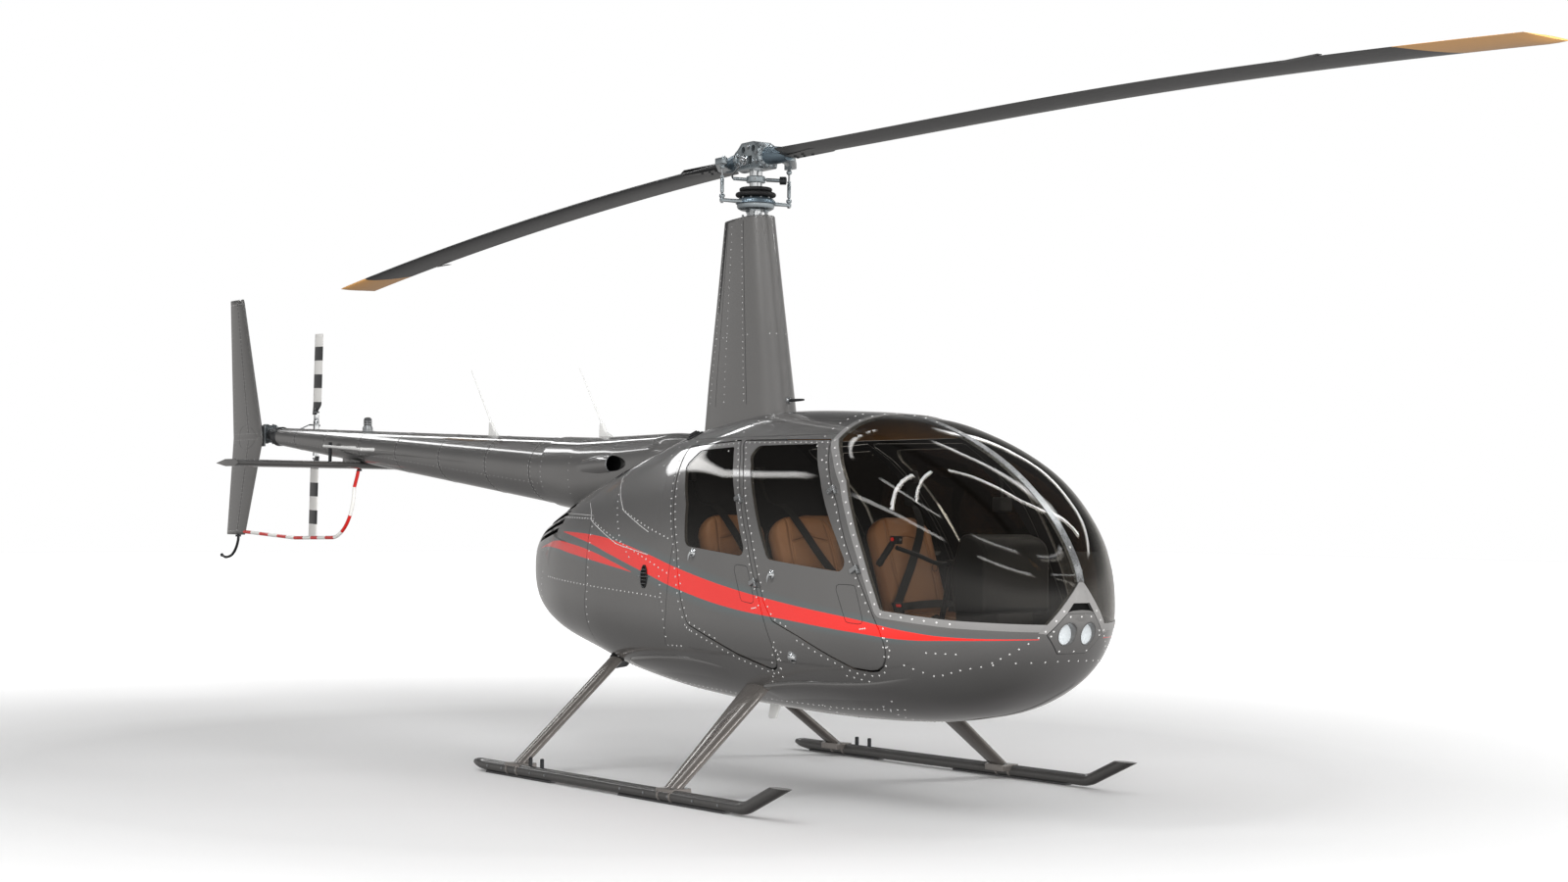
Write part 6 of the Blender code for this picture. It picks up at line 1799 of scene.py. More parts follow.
class HELI_OT_tail_rotor(bpy.types.Operator):
    """Make the tail rotor, its gearbox and the control rod"""
    bl_idname = "helicopter.tail_rotor"
    bl_label = "Tail rotor"

    def execute(self, context):
        self.gearbox()
        self.head()
        for number, up in enumerate((1, -1)):
            self.blade(number + 1, up)
        return {"FINISHED"}

    def gearbox(self):
        y, z = TAIL_AXIS[1:]
        boot = tube([(0, CONE_END[0] + FIT, CONE_END[1]), (0.004, 5.60, 1.9266), (0.03, 5.70, 1.935),
                     (0.085, y, z)],
                    [0.045, 0.045, 0.038, 0.044], 36)
        boot = cut(boot, box((-1, 5, 1), (1, CONE_END[0] + FIT, 3)))
        case = lathe(TAIL_CASE, (0, y, z), (1, 0, 0), 44)
        plate_x = FIN_X + FIN_STATIONS[1][3] / 2 + FIT
        mount = box((plate_x, y - 0.03, z - 0.090), (plate_x + 0.012, y + 0.20, z + 0.060), 0.003)
        ring = bolts([(0.105, y + 0.0655 * cos(t), z + 0.0655 * sin(t)) for t in turns(8)], (-1, 0, 0),
                     0.0055, 0.008)
        heads = bolts([(plate_x + 0.012, y + dy, z + dz)
                       for dy, dz in ((0.02, -0.07), (0.10, -0.07), (0.18, -0.07), (0.18, 0.04),
                                      (0.10, 0.04))],
                      (1, 0, 0), 0.007, 0.006)
        sight = lathe([(0.012, 0), (0.012, 0.006), (0.009, 0.008)], (0.05, y - 0.0698, z), (0, -1, 0), 20)
        piece("tail_gearbox_case", [(boot, "dark_steel"), (case, "machined"), (mount, "alloy"),
                                    (join(ring, heads), "steel"), (sight, "instrument_glass")],
              slot="steel", stands_for=["tail_gearbox"])

    def head(self):
        axis = ((0, 0, 0), (1, 0, 0), 32)
        parts = [(lathe(TAIL_SHAFT, *axis), "steel")]
        for up in (-1, 1):
            elbow = (-0.030, 0.050, up * 0.075)
            horn = join(rod((-0.004, 0.016, up * 0.075), elbow, 0.006, sides=14),
                        rod(elbow, (-0.100, 0.045, up * 0.045), 0.0045, sides=14))
            parts += [(lathe(TAIL_GRIP, (0, 0, 0), (0, 0, up), 28), "chrome"), (horn, "steel"),
                      (bolt((0.0215, 0, up * 0.072), (1, 0, 0), 0.008, 0.007), "dark_steel")]
        slider = lathe([(0.026, -0.118), (0.034, -0.114), (0.034, -0.098), (0.026, -0.094)], *axis)
        cap = lathe([(0.0255, 0.000), (0.0255, 0.020), (0.020, 0.027), (0, 0.029)], *axis)
        parts += [(slider, "machined"), (cap, "steel")]
        piece("tail_rotor_head", [(moved(shape, TAIL_TURN), finish) for shape, finish in parts],
              body="tail_rotor", slot="steel", stands_for=["tail_rotor_hub"])

    def blade(self, number, up):
        edges = np.concatenate((np.linspace(TAIL_ROOT, TAIL_FULL, 8), np.linspace(0.236, 0.730, 75),
                                (TAIL_END,)))
        rings = []
        for radius in edges:
            t = min(1.0, (radius - TAIL_ROOT) / (TAIL_FULL - TAIL_ROOT))
            chord = 0.060 + 0.070 * eased(t)
            thick = 0.0135 * (1.0 if radius < 0.733 else 0.75) * (1.6 - 0.6 * t)
            rings.append([(b, up * (0.055 - chord * a), up * radius) for a, b in foil(thick, 14)])
        shape = loft(rings)
        finishes = []
        for face in shape[1]:
            out = edges[min(face) // len(rings[0])] - TAIL_BAND_START
            finishes.append("tail_white" if out % (2 * TAIL_BAND) < TAIL_BAND else "tail_black")
        heads = join(*[bolt((1.25 * x, up * y, up * z), (math.copysign(1, x), 0, 0), 0.006, 0.005)
                       for x in (-0.0075, 0.0075)
                       for y, z in ((0.012, 0.168), (-0.012, 0.168), (0.0, 0.190))])
        parts = [(moved(shape, TAIL_TURN), finishes), (moved(heads, TAIL_TURN), "steel")]
        piece(f"tail_rotor_blade_{number}", parts, body="tail_rotor", slot="tail_blade_white",
              stands_for=[f"tail_blade_{number}"])


class HELI_OT_fittings(bpy.types.Operator):
    """Make the beacon and the antennas"""
    bl_idname = "helicopter.fittings"
    bl_label = "Beacon and antennas"

    def execute(self, context):
        self.beacon()
        z, radius = cone_at(2.600)
        self.whip("front", 1.364, 1.8330, 0.0, (1.648, 2.240))
        self.whip("rear", 2.600, z + radius, 0.020, (2.889, 2.281))
        for side, sign in SIDES.items():
            self.bar(side, sign)
        blade = plate([(-0.330, 0.50, 0.0), (-0.230, 0.50, 0.0), (-0.200, 0.360, 0.012),
                       (-0.260, 0.360, 0.02)],
                      "X", -0.006, 0.006, 0.0025, 3)
        piece("belly_blade_antenna", [(cut(blade, hull(-FIT)), "white_paint")], slot="antenna_white",
              stands_for=["belly_antenna"])
        return {"FINISHED"}

    def beacon(self):
        z, radius = cone_at(BEACON_Y)
        crown = z + radius
        upright = ((0, BEACON_Y, crown), (0, 0, 1), 40)
        base = cut(lathe([(0.0338, -0.015), (0.0338, 0.020), (0.030, 0.026), (0.028, 0.034)], *upright),
                   cone(FIT))
        lens = lathe([(0.026, 0.030), (0.0265, 0.074), (0.024, 0.082), (0.016, 0.0885), (0.0, 0.090)],
                     *upright)
        bands = [lathe([(0.0272, -0.003), (0.0285, 0), (0.0272, 0.003)], (0, BEACON_Y, crown + height),
                       (0, 0, 1), 40)
                 for height in (0.046, 0.062)]
        screws = bolts([(0.031 * cos(t), BEACON_Y + 0.031 * sin(t), crown + 0.0215) for t in (0.4, 2.5, 4.6)],
                       (0, 0, 1), 0.003, 0.003)
        piece("beacon_lamp", [(base, "steel"), (lens, "smoke_lens"), (join(*bands), "steel"),
                              (screws, "screw")],
              slot="beacon_red", stands_for=["beacon"])

    def whip(self, name, y, z, depth, tip):
        foot = plate([(y - 0.075, z - depth, 0.0), (y + 0.055, z - depth, 0.0),
                      (y + 0.0505, z + 0.080, 0.004), (y + 0.026, z + 0.080, 0.006),
                      (y - 0.010, z + 0.030, 0.05)], "X", -0.009, 0.009, 0.0035, 3)
        mast = tube([(0, y + 0.035, z + 0.05), (0, y + 0.045, z + 0.09), (0, *tip)], [0.0068, 0.0052, 0.0022],
                    14)
        shapes = [cut(shape, cone(FIT)) for shape in (foot, mast)] if depth else (foot, mast)
        piece(f"whip_{name}", [(join(*shapes), "white_paint")], slot="antenna_white",
              stands_for=[f"whip_antenna_{name}"])

    def bar(self, side, sign):
        shapes = [tube([(sign * BAR_X, 3.900, 1.800), (sign * BAR_X, 4.430, 1.831)], 0.0088, 20)]
        shapes += [lathe([(0.0094, -0.006), (0.0094, 0.004), (0.006, 0.008)], (sign * BAR_X, y, z),
                         (0, d, 0.05 * d), 20)
                   for y, z, d in ((3.904, 1.8002, -1), (4.426, 1.8308, 1))]
        for y, z in ((3.930, 1.8017), (4.205, 1.8178)):
            rings = [[(sign * x, y + width * cos(t), z + thick * sin(t)) for t in turns(24)]
                     for x, width, thick in BAR_STATIONS]
            shapes.append(cut(loft(rings), cone(FIT)))
        piece(f"bar_antenna_rod_{side}", [(join(*shapes), "white_paint")], slot="antenna_white",
              stands_for=[f"bar_antenna_{side}"])


# Landing gear

SKID_X, SKID_RADIUS, GROUND_Z = 1.060, 0.030, 0.057
SKID_Z = GROUND_Z + 0.006 + SKID_RADIUS
SADDLE_TOP = SKID_Z + SKID_RADIUS + 0.004
STRAP_RADIUS = SKID_RADIUS * 1.045
TOE_TURN = math.radians(24)
# x, y, z and chord of each leg's top and foot
LEGS = {
    "front": ((0.385, -0.747, 0.660, 0.215), (1.060, -0.826, 0.092, 0.120)),
    "rear": ((0.270, 0.669, 0.715, 0.118), (1.060, 0.545, 0.094, 0.100)),
}
LEG_THICKNESS = 0.042


def leg_ring(leg, share, growth=0.0, sides=40):
    """Section of a leg, share of the way from its top to its foot."""
    top, foot = LEGS[leg]
    x, y, z, chord = [a + (b - a) * share for a, b in zip(top, foot)]
    ring = []
    for t in turns(sides):
        a = (LEG_THICKNESS + growth) * sin(t)
        ring.append((x + 0.31 * a, y + (chord / 2 + growth) * cos(t), z + 0.39 * a))
    return np.array(ring)


def skid_tube(x):
    """The skid with its thin tail and its raised toe, cut off level at its tip."""
    toe = arc((-1.400, SKID_Z + 0.200), 0.200, -pi / 2, -pi / 2 - TOE_TURN, 12)
    end_y, end_z = toe[-1]
    toe += [(end_y - reach * cos(TOE_TURN), end_z + reach * sin(TOE_TURN)) for reach in (0.1, 0.2, 0.320)]
    side = [(0.940, SKID_Z + 0.008), (0.915, SKID_Z + 0.0065), (0.88, SKID_Z + 0.004)]
    side += [(y, SKID_Z) for y in (0.820, 0.40, -0.20, -0.90, -1.3)] + toe
    radii = [0.0135, 0.021, 0.0265] + [SKID_RADIUS] * (len(side) - 3)
    return cut(tube([(x, y, z) for y, z in side], radii, 44), box((-2, -3, 0.207), (2, 0, 1)))


class HELI_OT_gear(bpy.types.Operator):
    """Make the skids with their shoes and wheel lugs, the four legs and their boots"""
    bl_idname = "helicopter.gear"
    bl_label = "Landing gear"

    def execute(self, context):
        for side, sign in SIDES.items():
            self.skid(side, sign)
            for leg in LEGS:
                self.leg(leg, side, sign)
        return {"FINISHED"}

    def skid(self, side, sign):
        x = sign * SKID_X
        parts = [(skid_tube(x), "skid_metal")]
        for y0, y1 in ((-1.300, -0.440), (0.180, 0.800)):
            parts.append((box((x - 0.022, y0, GROUND_Z), (x + 0.022, y1, GROUND_Z + 0.010), 0.0015, 1),
                          "shoe_metal"))
            parts.append((bolts([(x + sign * 0.0302, y, SKID_Z)
                                 for y in np.linspace(y0 + 0.03, y1 - 0.03, 5)],
                                (sign, 0, 0), 0.005, 0.0035), "steel"))
        for y in (0.272, 0.382):
            outline = [(y, SKID_Z + 0.02, 0.0), (y + 0.020, SKID_Z + 0.02, 0.0),
                       (y + 0.020, SKID_Z + 0.075, 0.008), (y, SKID_Z + 0.075, 0.008)]
            hole = rod((x - 0.1, y + 0.010, SKID_Z + 0.062), (x + 0.1, y + 0.010, SKID_Z + 0.062), 0.0042,
                       sides=20)
            lug = cut(prism(rounded(outline), "X", x - 0.006, x + 0.006), hole)
            parts.append((bevelled(lug, 0.0008, 1, 60), "dark_steel"))
        for _, (_, foot_y, _, _) in LEGS.values():
            low_x, high_x = sorted((x - sign * 0.085, x + sign * 0.025))
            saddle = box((low_x, foot_y - 0.075, SKID_Z), (high_x, foot_y + 0.060, SADDLE_TOP), 0.003)
            heads = bolts([(x - sign * 0.060, foot_y + dy, SADDLE_TOP) for dy in (-0.066, 0.050)], (0, 0, 1),
                          0.006, 0.005)
            parts += [(saddle, "leg_metal"), (heads, "steel")]
            round_tube = np.array([(cos(t), 0, sin(t)) for t in np.linspace(-0.9, pi + 0.9, 40)])
            parts += [(ribbon((round_tube * STRAP_RADIUS + (x, foot_y + dy, SKID_Z), round_tube), 0.016,
                              0.0018),
                       "leg_metal") for dy in (-0.055, 0.040)]
        piece(f"skid_tube_{side}", parts, slot="gear_dark", stands_for=[f"skid_{side}"])

    def leg(self, leg, side, sign):
        under = box((-2, -2, -1), (2, 2, SADDLE_TOP + FIT))
        shape = loft([leg_ring(leg, share) * (sign, 1, 1) for share in np.linspace(0, 1, 14)])
        boot = loft([leg_ring(leg, share, growth) * (sign, 1, 1)
                     for share, growth in ((0.0, 0.008), (0.06, 0.008), (0.13, 0.008), (0.145, -0.002))])
        piece(f"{leg}_leg_{side}_tube", [(cut(shape, hull(-FIT), under), "leg_metal"),
                                         (cut(boot, hull(-0.001)), "rubber")],
              slot="gear_dark", stands_for=[f"{leg}_leg_{side}"])


# Cabin interior

# row: front edge, back's foot, lean, distance of the seat from the middle
SEATS = {"front": (-1.400, -0.960, 0.130, 0.305), "rear": (-0.640, -0.300, 0.085, 0.275)}
SEAT_HALF_WIDTH = 0.205
SEAT_FLOOR_Z = 0.8006
BACK_FOOT_Z, BACK_LENGTH, BACK_THICKNESS, CUSHION_THICKNESS = 0.872, 0.545, 0.088, 0.102
BELT_REEL_AFT, BELT_REEL_Z = 0.075, 1.600
BELT_WIDTH, BELT_THICKNESS = 0.046, 0.0012
CLOTH_FRAMES = 20
STITCH_STEP, STITCH_APART = 0.009, 0.0075


def pad(half_width, length, thickness, arch, steps=22):
    """A slab with rounded corners and edges: X across, Y along its length, Z out of its face."""
    outline = rounded([(-half_width, 0.0, 0.045), (half_width, 0.0, 0.045), (half_width, length, arch),
                       (-half_width, length, arch)], 9)
    rings = []
    for t in np.linspace(0, pi, steps):
        ring = grow(outline, -0.030 * (1 - sin(t) ** 0.5))
        rings.append([(p.x, p.y, thickness * (0.5 - 0.5 * cos(t))) for p in ring])
    return loft(rings)


def swollen(base, pressure=4.0, cap=0.012):
    """The mesh of a pad after a cloth simulation with pressure inside it, no point moved beyond cap."""
    scene = bpy.context.scene
    rest = points_of(base)
    soft = linked("soft_pad", base)
    cloth = soft.modifiers.new("cloth", "CLOTH")
    cloth.settings.use_pressure = True
    cloth.settings.uniform_pressure_force = pressure
    cloth.settings.effector_weights.gravity = 0.0
    cloth.settings.quality = 4
    cloth.point_cache.frame_start, cloth.point_cache.frame_end = 1, CLOTH_FRAMES
    for number in range(1, CLOTH_FRAMES + 1):
        scene.frame_set(number)
    made = applied(soft)
    moves = points_of(made) - rest
    far = np.linalg.norm(moves, axis=1, keepdims=True)
    made.vertices.foreach_set("co", (rest + moves * np.minimum(1.0, cap / np.maximum(far, 1e-9))).ravel())
    bpy.data.objects.remove(soft)
    scene.frame_set(1)
    return made


def puffed(shape, voxel=0.010):
    """Swell a closed pad as stuffed leather does, and return it finely divided."""
    made = linked("pad", mesh_of("pad", shape))
    remesh = made.modifiers.new("remesh", "REMESH")
    remesh.mode, remesh.voxel_size, remesh.use_smooth_shade = "VOXEL", voxel, True
    base = applied(made)
    base = swollen(base)
    bpy.data.objects.remove(made)
    fine = linked("fine_pad", base)
    fine.modifiers.new("divide", "SUBSURF").levels = 1
    smooth = fine.modifiers.new("smooth", "SMOOTH")
    smooth.factor, smooth.iterations = 0.5, 2
    result = applied(fine)
    bpy.data.objects.remove(fine)
    return shape_of(result)


def stitched(shape, lines, top, depth=0.007, width=0.008):
    """Press sewn channels into the face of a pad along polylines of (x, y)."""
    points = shape[0].copy()
    near = np.full(len(points), 9.0)
    for line in lines:
        for a, b in zip(np.array(line), np.array(line[1:])):
            t = np.clip(((points[:, :2] - a) @ (b - a)) / max((b - a) @ (b - a), 1e-9), 0, 1)
            near = np.minimum(near, np.linalg.norm(points[:, :2] - (a + t[:, None] * (b - a)), axis=1))
    upper = np.clip(points[:, 2] / top * 1.6 - 0.6, 0, 1)
    points[:, 2] -= upper * depth * np.exp(-(near / width) ** 2)
    return points, shape[1]


def pad_lines(length):
    """Two long seams that part the middle panel from the side panels."""
    x = SEAT_HALF_WIDTH * 0.52
    return [[(sign * (x + 0.018 * sin(pi * t)), 0.012 + (length - 0.024) * t) for t in np.linspace(0, 1, 14)]
            for sign in (-1, 1)]


def thread(shape, lines):
    """Short stitches that lie on the leather along both sides of each channel."""
    tree = BVHTree.FromPolygons(shape[0].tolist(), shape[1])
    stitches = []
    for line in lines:
        for offset in (-STITCH_APART, STITCH_APART):
            run = spaced(line, STITCH_STEP)
            for start, end in zip(run, run[1:]):
                points = [start + (end - start) * t + (offset, 0) for t in (0.15, 0.75)]
                hits = [tree.ray_cast(Vector((x, y, 0.4)), Vector((0, 0, -1)))[0] for x, y in points]
                if all(hits):
                    stitches.append(tube([np.array(hit) + (0, 0, 0.0006) for hit in hits], 0.0011, 5))
    return join(*stitches)


class HELI_OT_seats(bpy.types.Operator):
    """Make the four leather seats: cushion and back, with sewn panels and stitches"""
    bl_idname = "helicopter.seats"
    bl_label = "Seats"

    def execute(self, context):
        for row, (front, foot, lean, middle) in SEATS.items():
            depth = foot - 0.055 - front
            length = depth - 0.016
            across_back = [(-SEAT_HALF_WIDTH * 0.5, 0.40), (0, 0.425), (SEAT_HALF_WIDTH * 0.5, 0.40)]
            lines = pad_lines(length), [*pad_lines(BACK_LENGTH), across_back]
            cushion = puffed(pad(SEAT_HALF_WIDTH, length, CUSHION_THICKNESS, 0.045))
            back = puffed(pad(SEAT_HALF_WIDTH - 0.006, BACK_LENGTH, BACK_THICKNESS, 0.125))
            cushion = stitched(cushion, lines[0], CUSHION_THICKNESS)
            back = stitched(back, lines[1], BACK_THICKNESS)
            shell = plate([(-0.19, 0.02, 0.03), (0.19, 0.02, 0.03), (0.19, 0.52, 0.11), (-0.19, 0.52, 0.11)],
                          "Z", -0.010, 0.006, 0.004, corner_steps=8)
            sewn = [(shape, thread(shape, run)) for shape, run in zip((cushion, back), lines)]
            for side, sign in SIDES.items():
                x = sign * middle
                at = (placed((x, front + 0.012, SEAT_FLOOR_Z + 0.002), math.atan2(0.020, depth)),
                      placed((x, foot - 0.012, BACK_FOOT_Z), math.atan2(0.535, lean + 0.070)))
                for name, (shape, stitches), place in zip(("cushion", "seat_back"), sewn, at):
                    made = piece(f"{row}_{name}_{side}", [(moved(shape, place), "leather"),
                                                          (moved(stitches, place), "thread")],
                                 slot="leather", stands_for=[f"{row}_seat_{side}"], smooth=80)
                piece(f"{row}_seat_frame_{side}", [(moved(shell, at[1]), "black_plastic")],
                      slot="console_black")
        return {"FINISHED"}


def flat_on(run, face):
    """The parts of directions that are square to a run, at length 1."""
    tangents = np.gradient(run, axis=0)
    share = np.einsum("ij,ij->i", face, tangents) / np.einsum("ij,ij->i", tangents, tangents)
    return unit(face - tangents * share[:, None])


class HELI_OT_belts(bpy.types.Operator):
    """Make the shoulder and lap belts with their buckles"""
    bl_idname = "helicopter.belts"
    bl_label = "Belts"

    def execute(self, context):
        buckle = box((-0.026, -0.009, -0.034), (0.026, 0.009, 0.034), 0.005, 3)
        button = box((-0.015, -0.0115, 0.006), (0.015, -0.008, 0.020), 0.001, 1)
        reel = box((-0.016, -0.024, -0.030), (0.016, 0.024, 0.030), 0.005)
        for row, (_, foot, lean, middle) in SEATS.items():
            for side, sign in SIDES.items():
                reel_y = foot + lean + BELT_REEL_AFT
                reel_x = skin_x(reel_y, BELT_REEL_Z) - WALL - 0.034
                # Paths start from the middle of the aircraft, and then turn to one side of it
                outer, inner = middle + 0.215, middle - 0.222
                shoulder = [(reel_x, reel_y, BELT_REEL_Z - 0.005),
                            (middle + 0.14, foot + lean + 0.057, 1.470),
                            (middle + 0.105, foot + lean - 0.035, 1.440),
                            (middle + 0.070, foot + lean - 0.115, 1.340),
                            (middle - 0.020, foot + lean * 0.55 - 0.110, 1.190),
                            (middle - 0.120, foot + lean * 0.25 - 0.120, 1.060),
                            (inner + 0.012, foot - 0.140, 0.965)]
                lap = [(outer + 0.004, foot - 0.075, 0.845), (outer - 0.012, foot - 0.120, 0.945),
                       (middle + 0.11, foot - 0.185, 0.968), (middle, foot - 0.205, 0.975),
                       (middle - 0.13, foot - 0.185, 0.968), (inner + 0.012, foot - 0.140, 0.958)]
                stalk = [(inner + 0.006, foot - 0.090, 0.815), (inner + 0.008, foot - 0.120, 0.880),
                         (inner + 0.012, foot - 0.145, 0.930)]
                shoulder, lap, stalk = [np.array(path) * (sign, 1, 1) for path in (shoulder, lap, stalk)]
                shoulder, lap = smooth_path(shoulder, 0.012), smooth_path(lap, 0.012)
                share = np.clip(np.linspace(0, 1, len(shoulder)) * 6 - 0.8, 0, 1)[:, None]
                face = (1 - share) * (-sign * 0.55, -0.8, 0.2) + share * (0, -0.94, 0.34)
                straps = [ribbon((shoulder, flat_on(shoulder, face)), BELT_WIDTH, BELT_THICKNESS),
                          ribbon((lap, flat_on(lap, np.tile((0.0, -0.75, 0.66), (len(lap), 1)))), BELT_WIDTH,
                                 BELT_THICKNESS)]
                place = placed((sign * (inner + 0.012), foot - 0.150, 0.950), -0.5)
                at_reel = placed((sign * reel_x, reel_y, BELT_REEL_Z))
                parts = [(join(*straps), "belt"), (moved(buckle, place), "black_plastic"),
                         (moved(button, place), "red_button"),
                         (join(tube(smooth_path(stalk), 0.006, 12), moved(reel, at_reel)), "black_plastic")]
                piece(f"{row}_belts_{side}", parts, slot="stick_black")
        return {"FINISHED"}


# Console outline in side view: y, z, radius
CONSOLE = ((-2.060, 0.960, 0.03), (-1.850, 0.960, 0.02), (-1.820, 1.150, 0.03), (-1.900, 1.330, 0.05),
           (-2.060, 1.290, 0.09))
DIAL_ROWS, DIAL_X, DIAL_RADIUS = (0.135, 0.045), (-0.125, -0.042, 0.042, 0.125), 0.036
FACE_FOOT = np.array((0, -1.8200, 1.150))
FACE_UP = unit((0, -0.0530, 0.235))
FACE_OUT = np.array((0, FACE_UP[2], -FACE_UP[1]))
RADIO_Z = (0.930, 0.880, 0.830)
KNOB = ((0.011, 0), (0.010, 0.012), (0.008, 0.013), (0, 0.013))


def dial(place, needle_turn):
    """One instrument: a bezel, a dark glass, twelve marks and a needle."""
    def on_face(reach, turn, lift):
        return place + (reach * sin(turn), 0, 0) + FACE_UP * reach * cos(turn) + FACE_OUT * lift

    radius = DIAL_RADIUS
    bezel = [(radius - 0.006, 0.002), (radius - 0.005, 0.006), (radius, 0.005), (radius + 0.001, 0.0)]
    glass = [(radius - 0.005, 0.0), (radius - 0.005, 0.003)]
    marks = [rod(on_face(radius * 0.62, t, 0.0032), on_face(radius * 0.78, t, 0.0032), 0.0007, sides=4)
             for t in turns(12)]
    needle = rod(on_face(0, 0, 0.004), on_face(radius * 0.55, needle_turn, 0.004), 0.0011, 0.0005, sides=5)
    return [(lathe(bezel, place, FACE_OUT), "dark_steel"),
            (lathe(glass, place, FACE_OUT), "instrument_glass"), (join(*marks, needle), "dial_white")]


class HELI_OT_console(bpy.types.Operator):
    """Make the instrument console with its dials, radios and switches"""
    bl_idname = "helicopter.console"
    bl_label = "Console"

    def execute(self, context):
        panel = bevelled(prism(rounded(CONSOLE, 8), "X", -0.200, 0.200), 0.022, 4)
        pedestal = box((-0.110, -2.050, 0.6003), (0.110, -1.760, 0.970), 0.012, 3)
        parts = [(join(panel, pedestal), "black_plastic")]
        for height in DIAL_ROWS:
            for x in DIAL_X:
                parts += dial(FACE_FOOT + FACE_UP * height + FACE_OUT * 0.002 + (x, 0, 0), x * 40)
        for z in RADIO_Z:
            radio = box((-0.085, -1.7605, z - 0.021), (0.085, -1.7535, z + 0.021), 0.002, 1)
            screen = box((-0.045, -1.7536, z - 0.010), (0.045, -1.7528, z + 0.010))
            knobs = [lathe(KNOB, (x, -1.7535, z), (0, 1, 0), 20) for x in (-0.066, 0.066)]
            parts += [(radio, "dark_steel"), (screen, "instrument_glass"), (join(*knobs), "black_plastic")]
        for k in range(6):
            x = -0.075 + 0.030 * k
            switch = rod((x, -1.758, 0.755), (x, -1.742, 0.762), 0.003, 0.0022, 10)
            nut = lathe([(0.006, 0), (0.006, 0.003)], (x, -1.760, 0.755), (0, 1, 0), 8)
            parts.append((join(switch, nut), "steel"))
        screws = bolts([(x, -1.852, 0.985) for x in (-0.150, -0.050, 0.050, 0.150)], (0, 1, 0), 0.004, 0.003)
        piece("console_shell", [*parts, (screws, "screw")], slot="console_black",
              stands_for=["instrument_console"])
        return {"FINISHED"}


CYCLIC_STICK = ((0, -1.4755, 0.6805), (0, -1.500, 0.78), (0, -1.570, 1.020), (0, -1.610, 1.180))
CYCLIC_BOOT = ((0.040, 0.0), (0.038, 0.010), (0.028, 0.016), (0.030, 0.024), (0.022, 0.032), (0.023, 0.040),
               (0.0145, 0.052))
CYCLIC_BAR = ((0.330, -1.640, 1.160), (0.200, -1.625, 1.178), (0.080, -1.610, 1.182), (-0.080, -1.610, 1.182),
              (-0.200, -1.610, 1.218), (-0.330, -1.600, 1.256))
# head and foot of each grip
CYCLIC_GRIPS = (((-0.325, -1.590, 1.300), (-0.385, -1.535, 1.172)),
                ((0.320, -1.640, 1.205), (0.345, -1.605, 1.070)))
GRIP_RADII = (0.0125, 0.0165, 0.0168, 0.0148, 0.0160, 0.0148, 0.0160, 0.0150, 0.0162, 0.0155, 0.0120)


def cyclic_grip(head, foot):
    head, foot = np.array(head), np.array(foot)
    handle = tube([foot + (head - foot) * t for t in np.linspace(0, 0.86, len(GRIP_RADII))], GRIP_RADII, 24)
    crown = box((-0.021, -0.026, -0.024), (0.021, 0.020, 0.014), 0.006, 3)
    button = lathe([(0.0085, 0), (0.0085, 0.006), (0.006, 0.008), (0, 0.008)],
                   head + (-0.0205, -0.002, -0.006), (-1, 0, 0), 20)
    trigger = lathe([(0.006, 0), (0.006, 0.008), (0, 0.009)], head + (0.0, -0.0255, -0.008), (0, -1, 0), 16)
    return [(handle, "grip_rubber"), (moved(crown, placed(head - (0, 0, 0.004))), "black_plastic"),
            (button, "red_button"), (trigger, "steel")]


class HELI_OT_controls(bpy.types.Operator):
    """Make the cyclic stick with its bar and grips, the collective levers and the pedals"""
    bl_idname = "helicopter.controls"
    bl_label = "Controls"

    def execute(self, context):
        boot = lathe(CYCLIC_BOOT, (0, -1.4760, 0.6806), (0, -0.1, 1), 36)
        pivot = box((-0.030, -1.632, 1.164), (0.030, -1.590, 1.198), 0.008, 3)
        parts = [(tube(smooth_path(CYCLIC_STICK), 0.0135, 24), "dark_steel"), (boot, "rubber"),
                 (pivot, "black_plastic"), (tube(smooth_path(CYCLIC_BAR), 0.0105, 20), "dark_steel")]
        for head, foot in CYCLIC_GRIPS:
            parts += cyclic_grip(head, foot)
        loop = [(-0.105 + 0.016 * cos(t), -1.6105, 1.163 + 0.017 * sin(t))
                for t in np.linspace(0, 2 * pi, 26)]
        parts.append((tube(loop, 0.0018, 6), "black_plastic"))
        piece("cyclic_assembly", parts, slot="stick_black", stands_for=["cyclic_stick"])
        pedal = box((-0.036, -0.006, -0.034), (0.036, 0.006, 0.034), 0.004)
        parts = []
        for sign in SIDES.values():
            x = sign * 0.078
            lever = smooth_path([(x, -0.98, 0.815), (x, -1.20, 0.845), (x, -1.32, 0.885)])
            parts += [(tube(lever, 0.0095, 16), "dark_steel"),
                      (tube([lever[-1], lever[-1] + (0, -0.10, 0.035)], [0.0155, 0.0165], 20), "grip_rubber")]
            for x in (sign * 0.17, sign * 0.30):
                post = smooth_path([(x, -1.985, 0.6005), (x, -2.020, 0.68), (x, -2.005, 0.760)])
                ribs = [rod((x - 0.030, y, z), (x + 0.030, y, z), 0.0018, sides=6)
                        for y, z in ((-1.989 + 0.003 * k, 0.757 + 0.012 * k) for k in range(4))]
                parts += [(tube(post, 0.009, 14), "dark_steel"),
                          (moved(pedal, placed((x, -1.997, 0.775), 0.35)), "alloy"), (join(*ribs), "rubber")]
        piece("levers_and_pedals", parts, slot="stick_black")
        return {"FINISHED"}


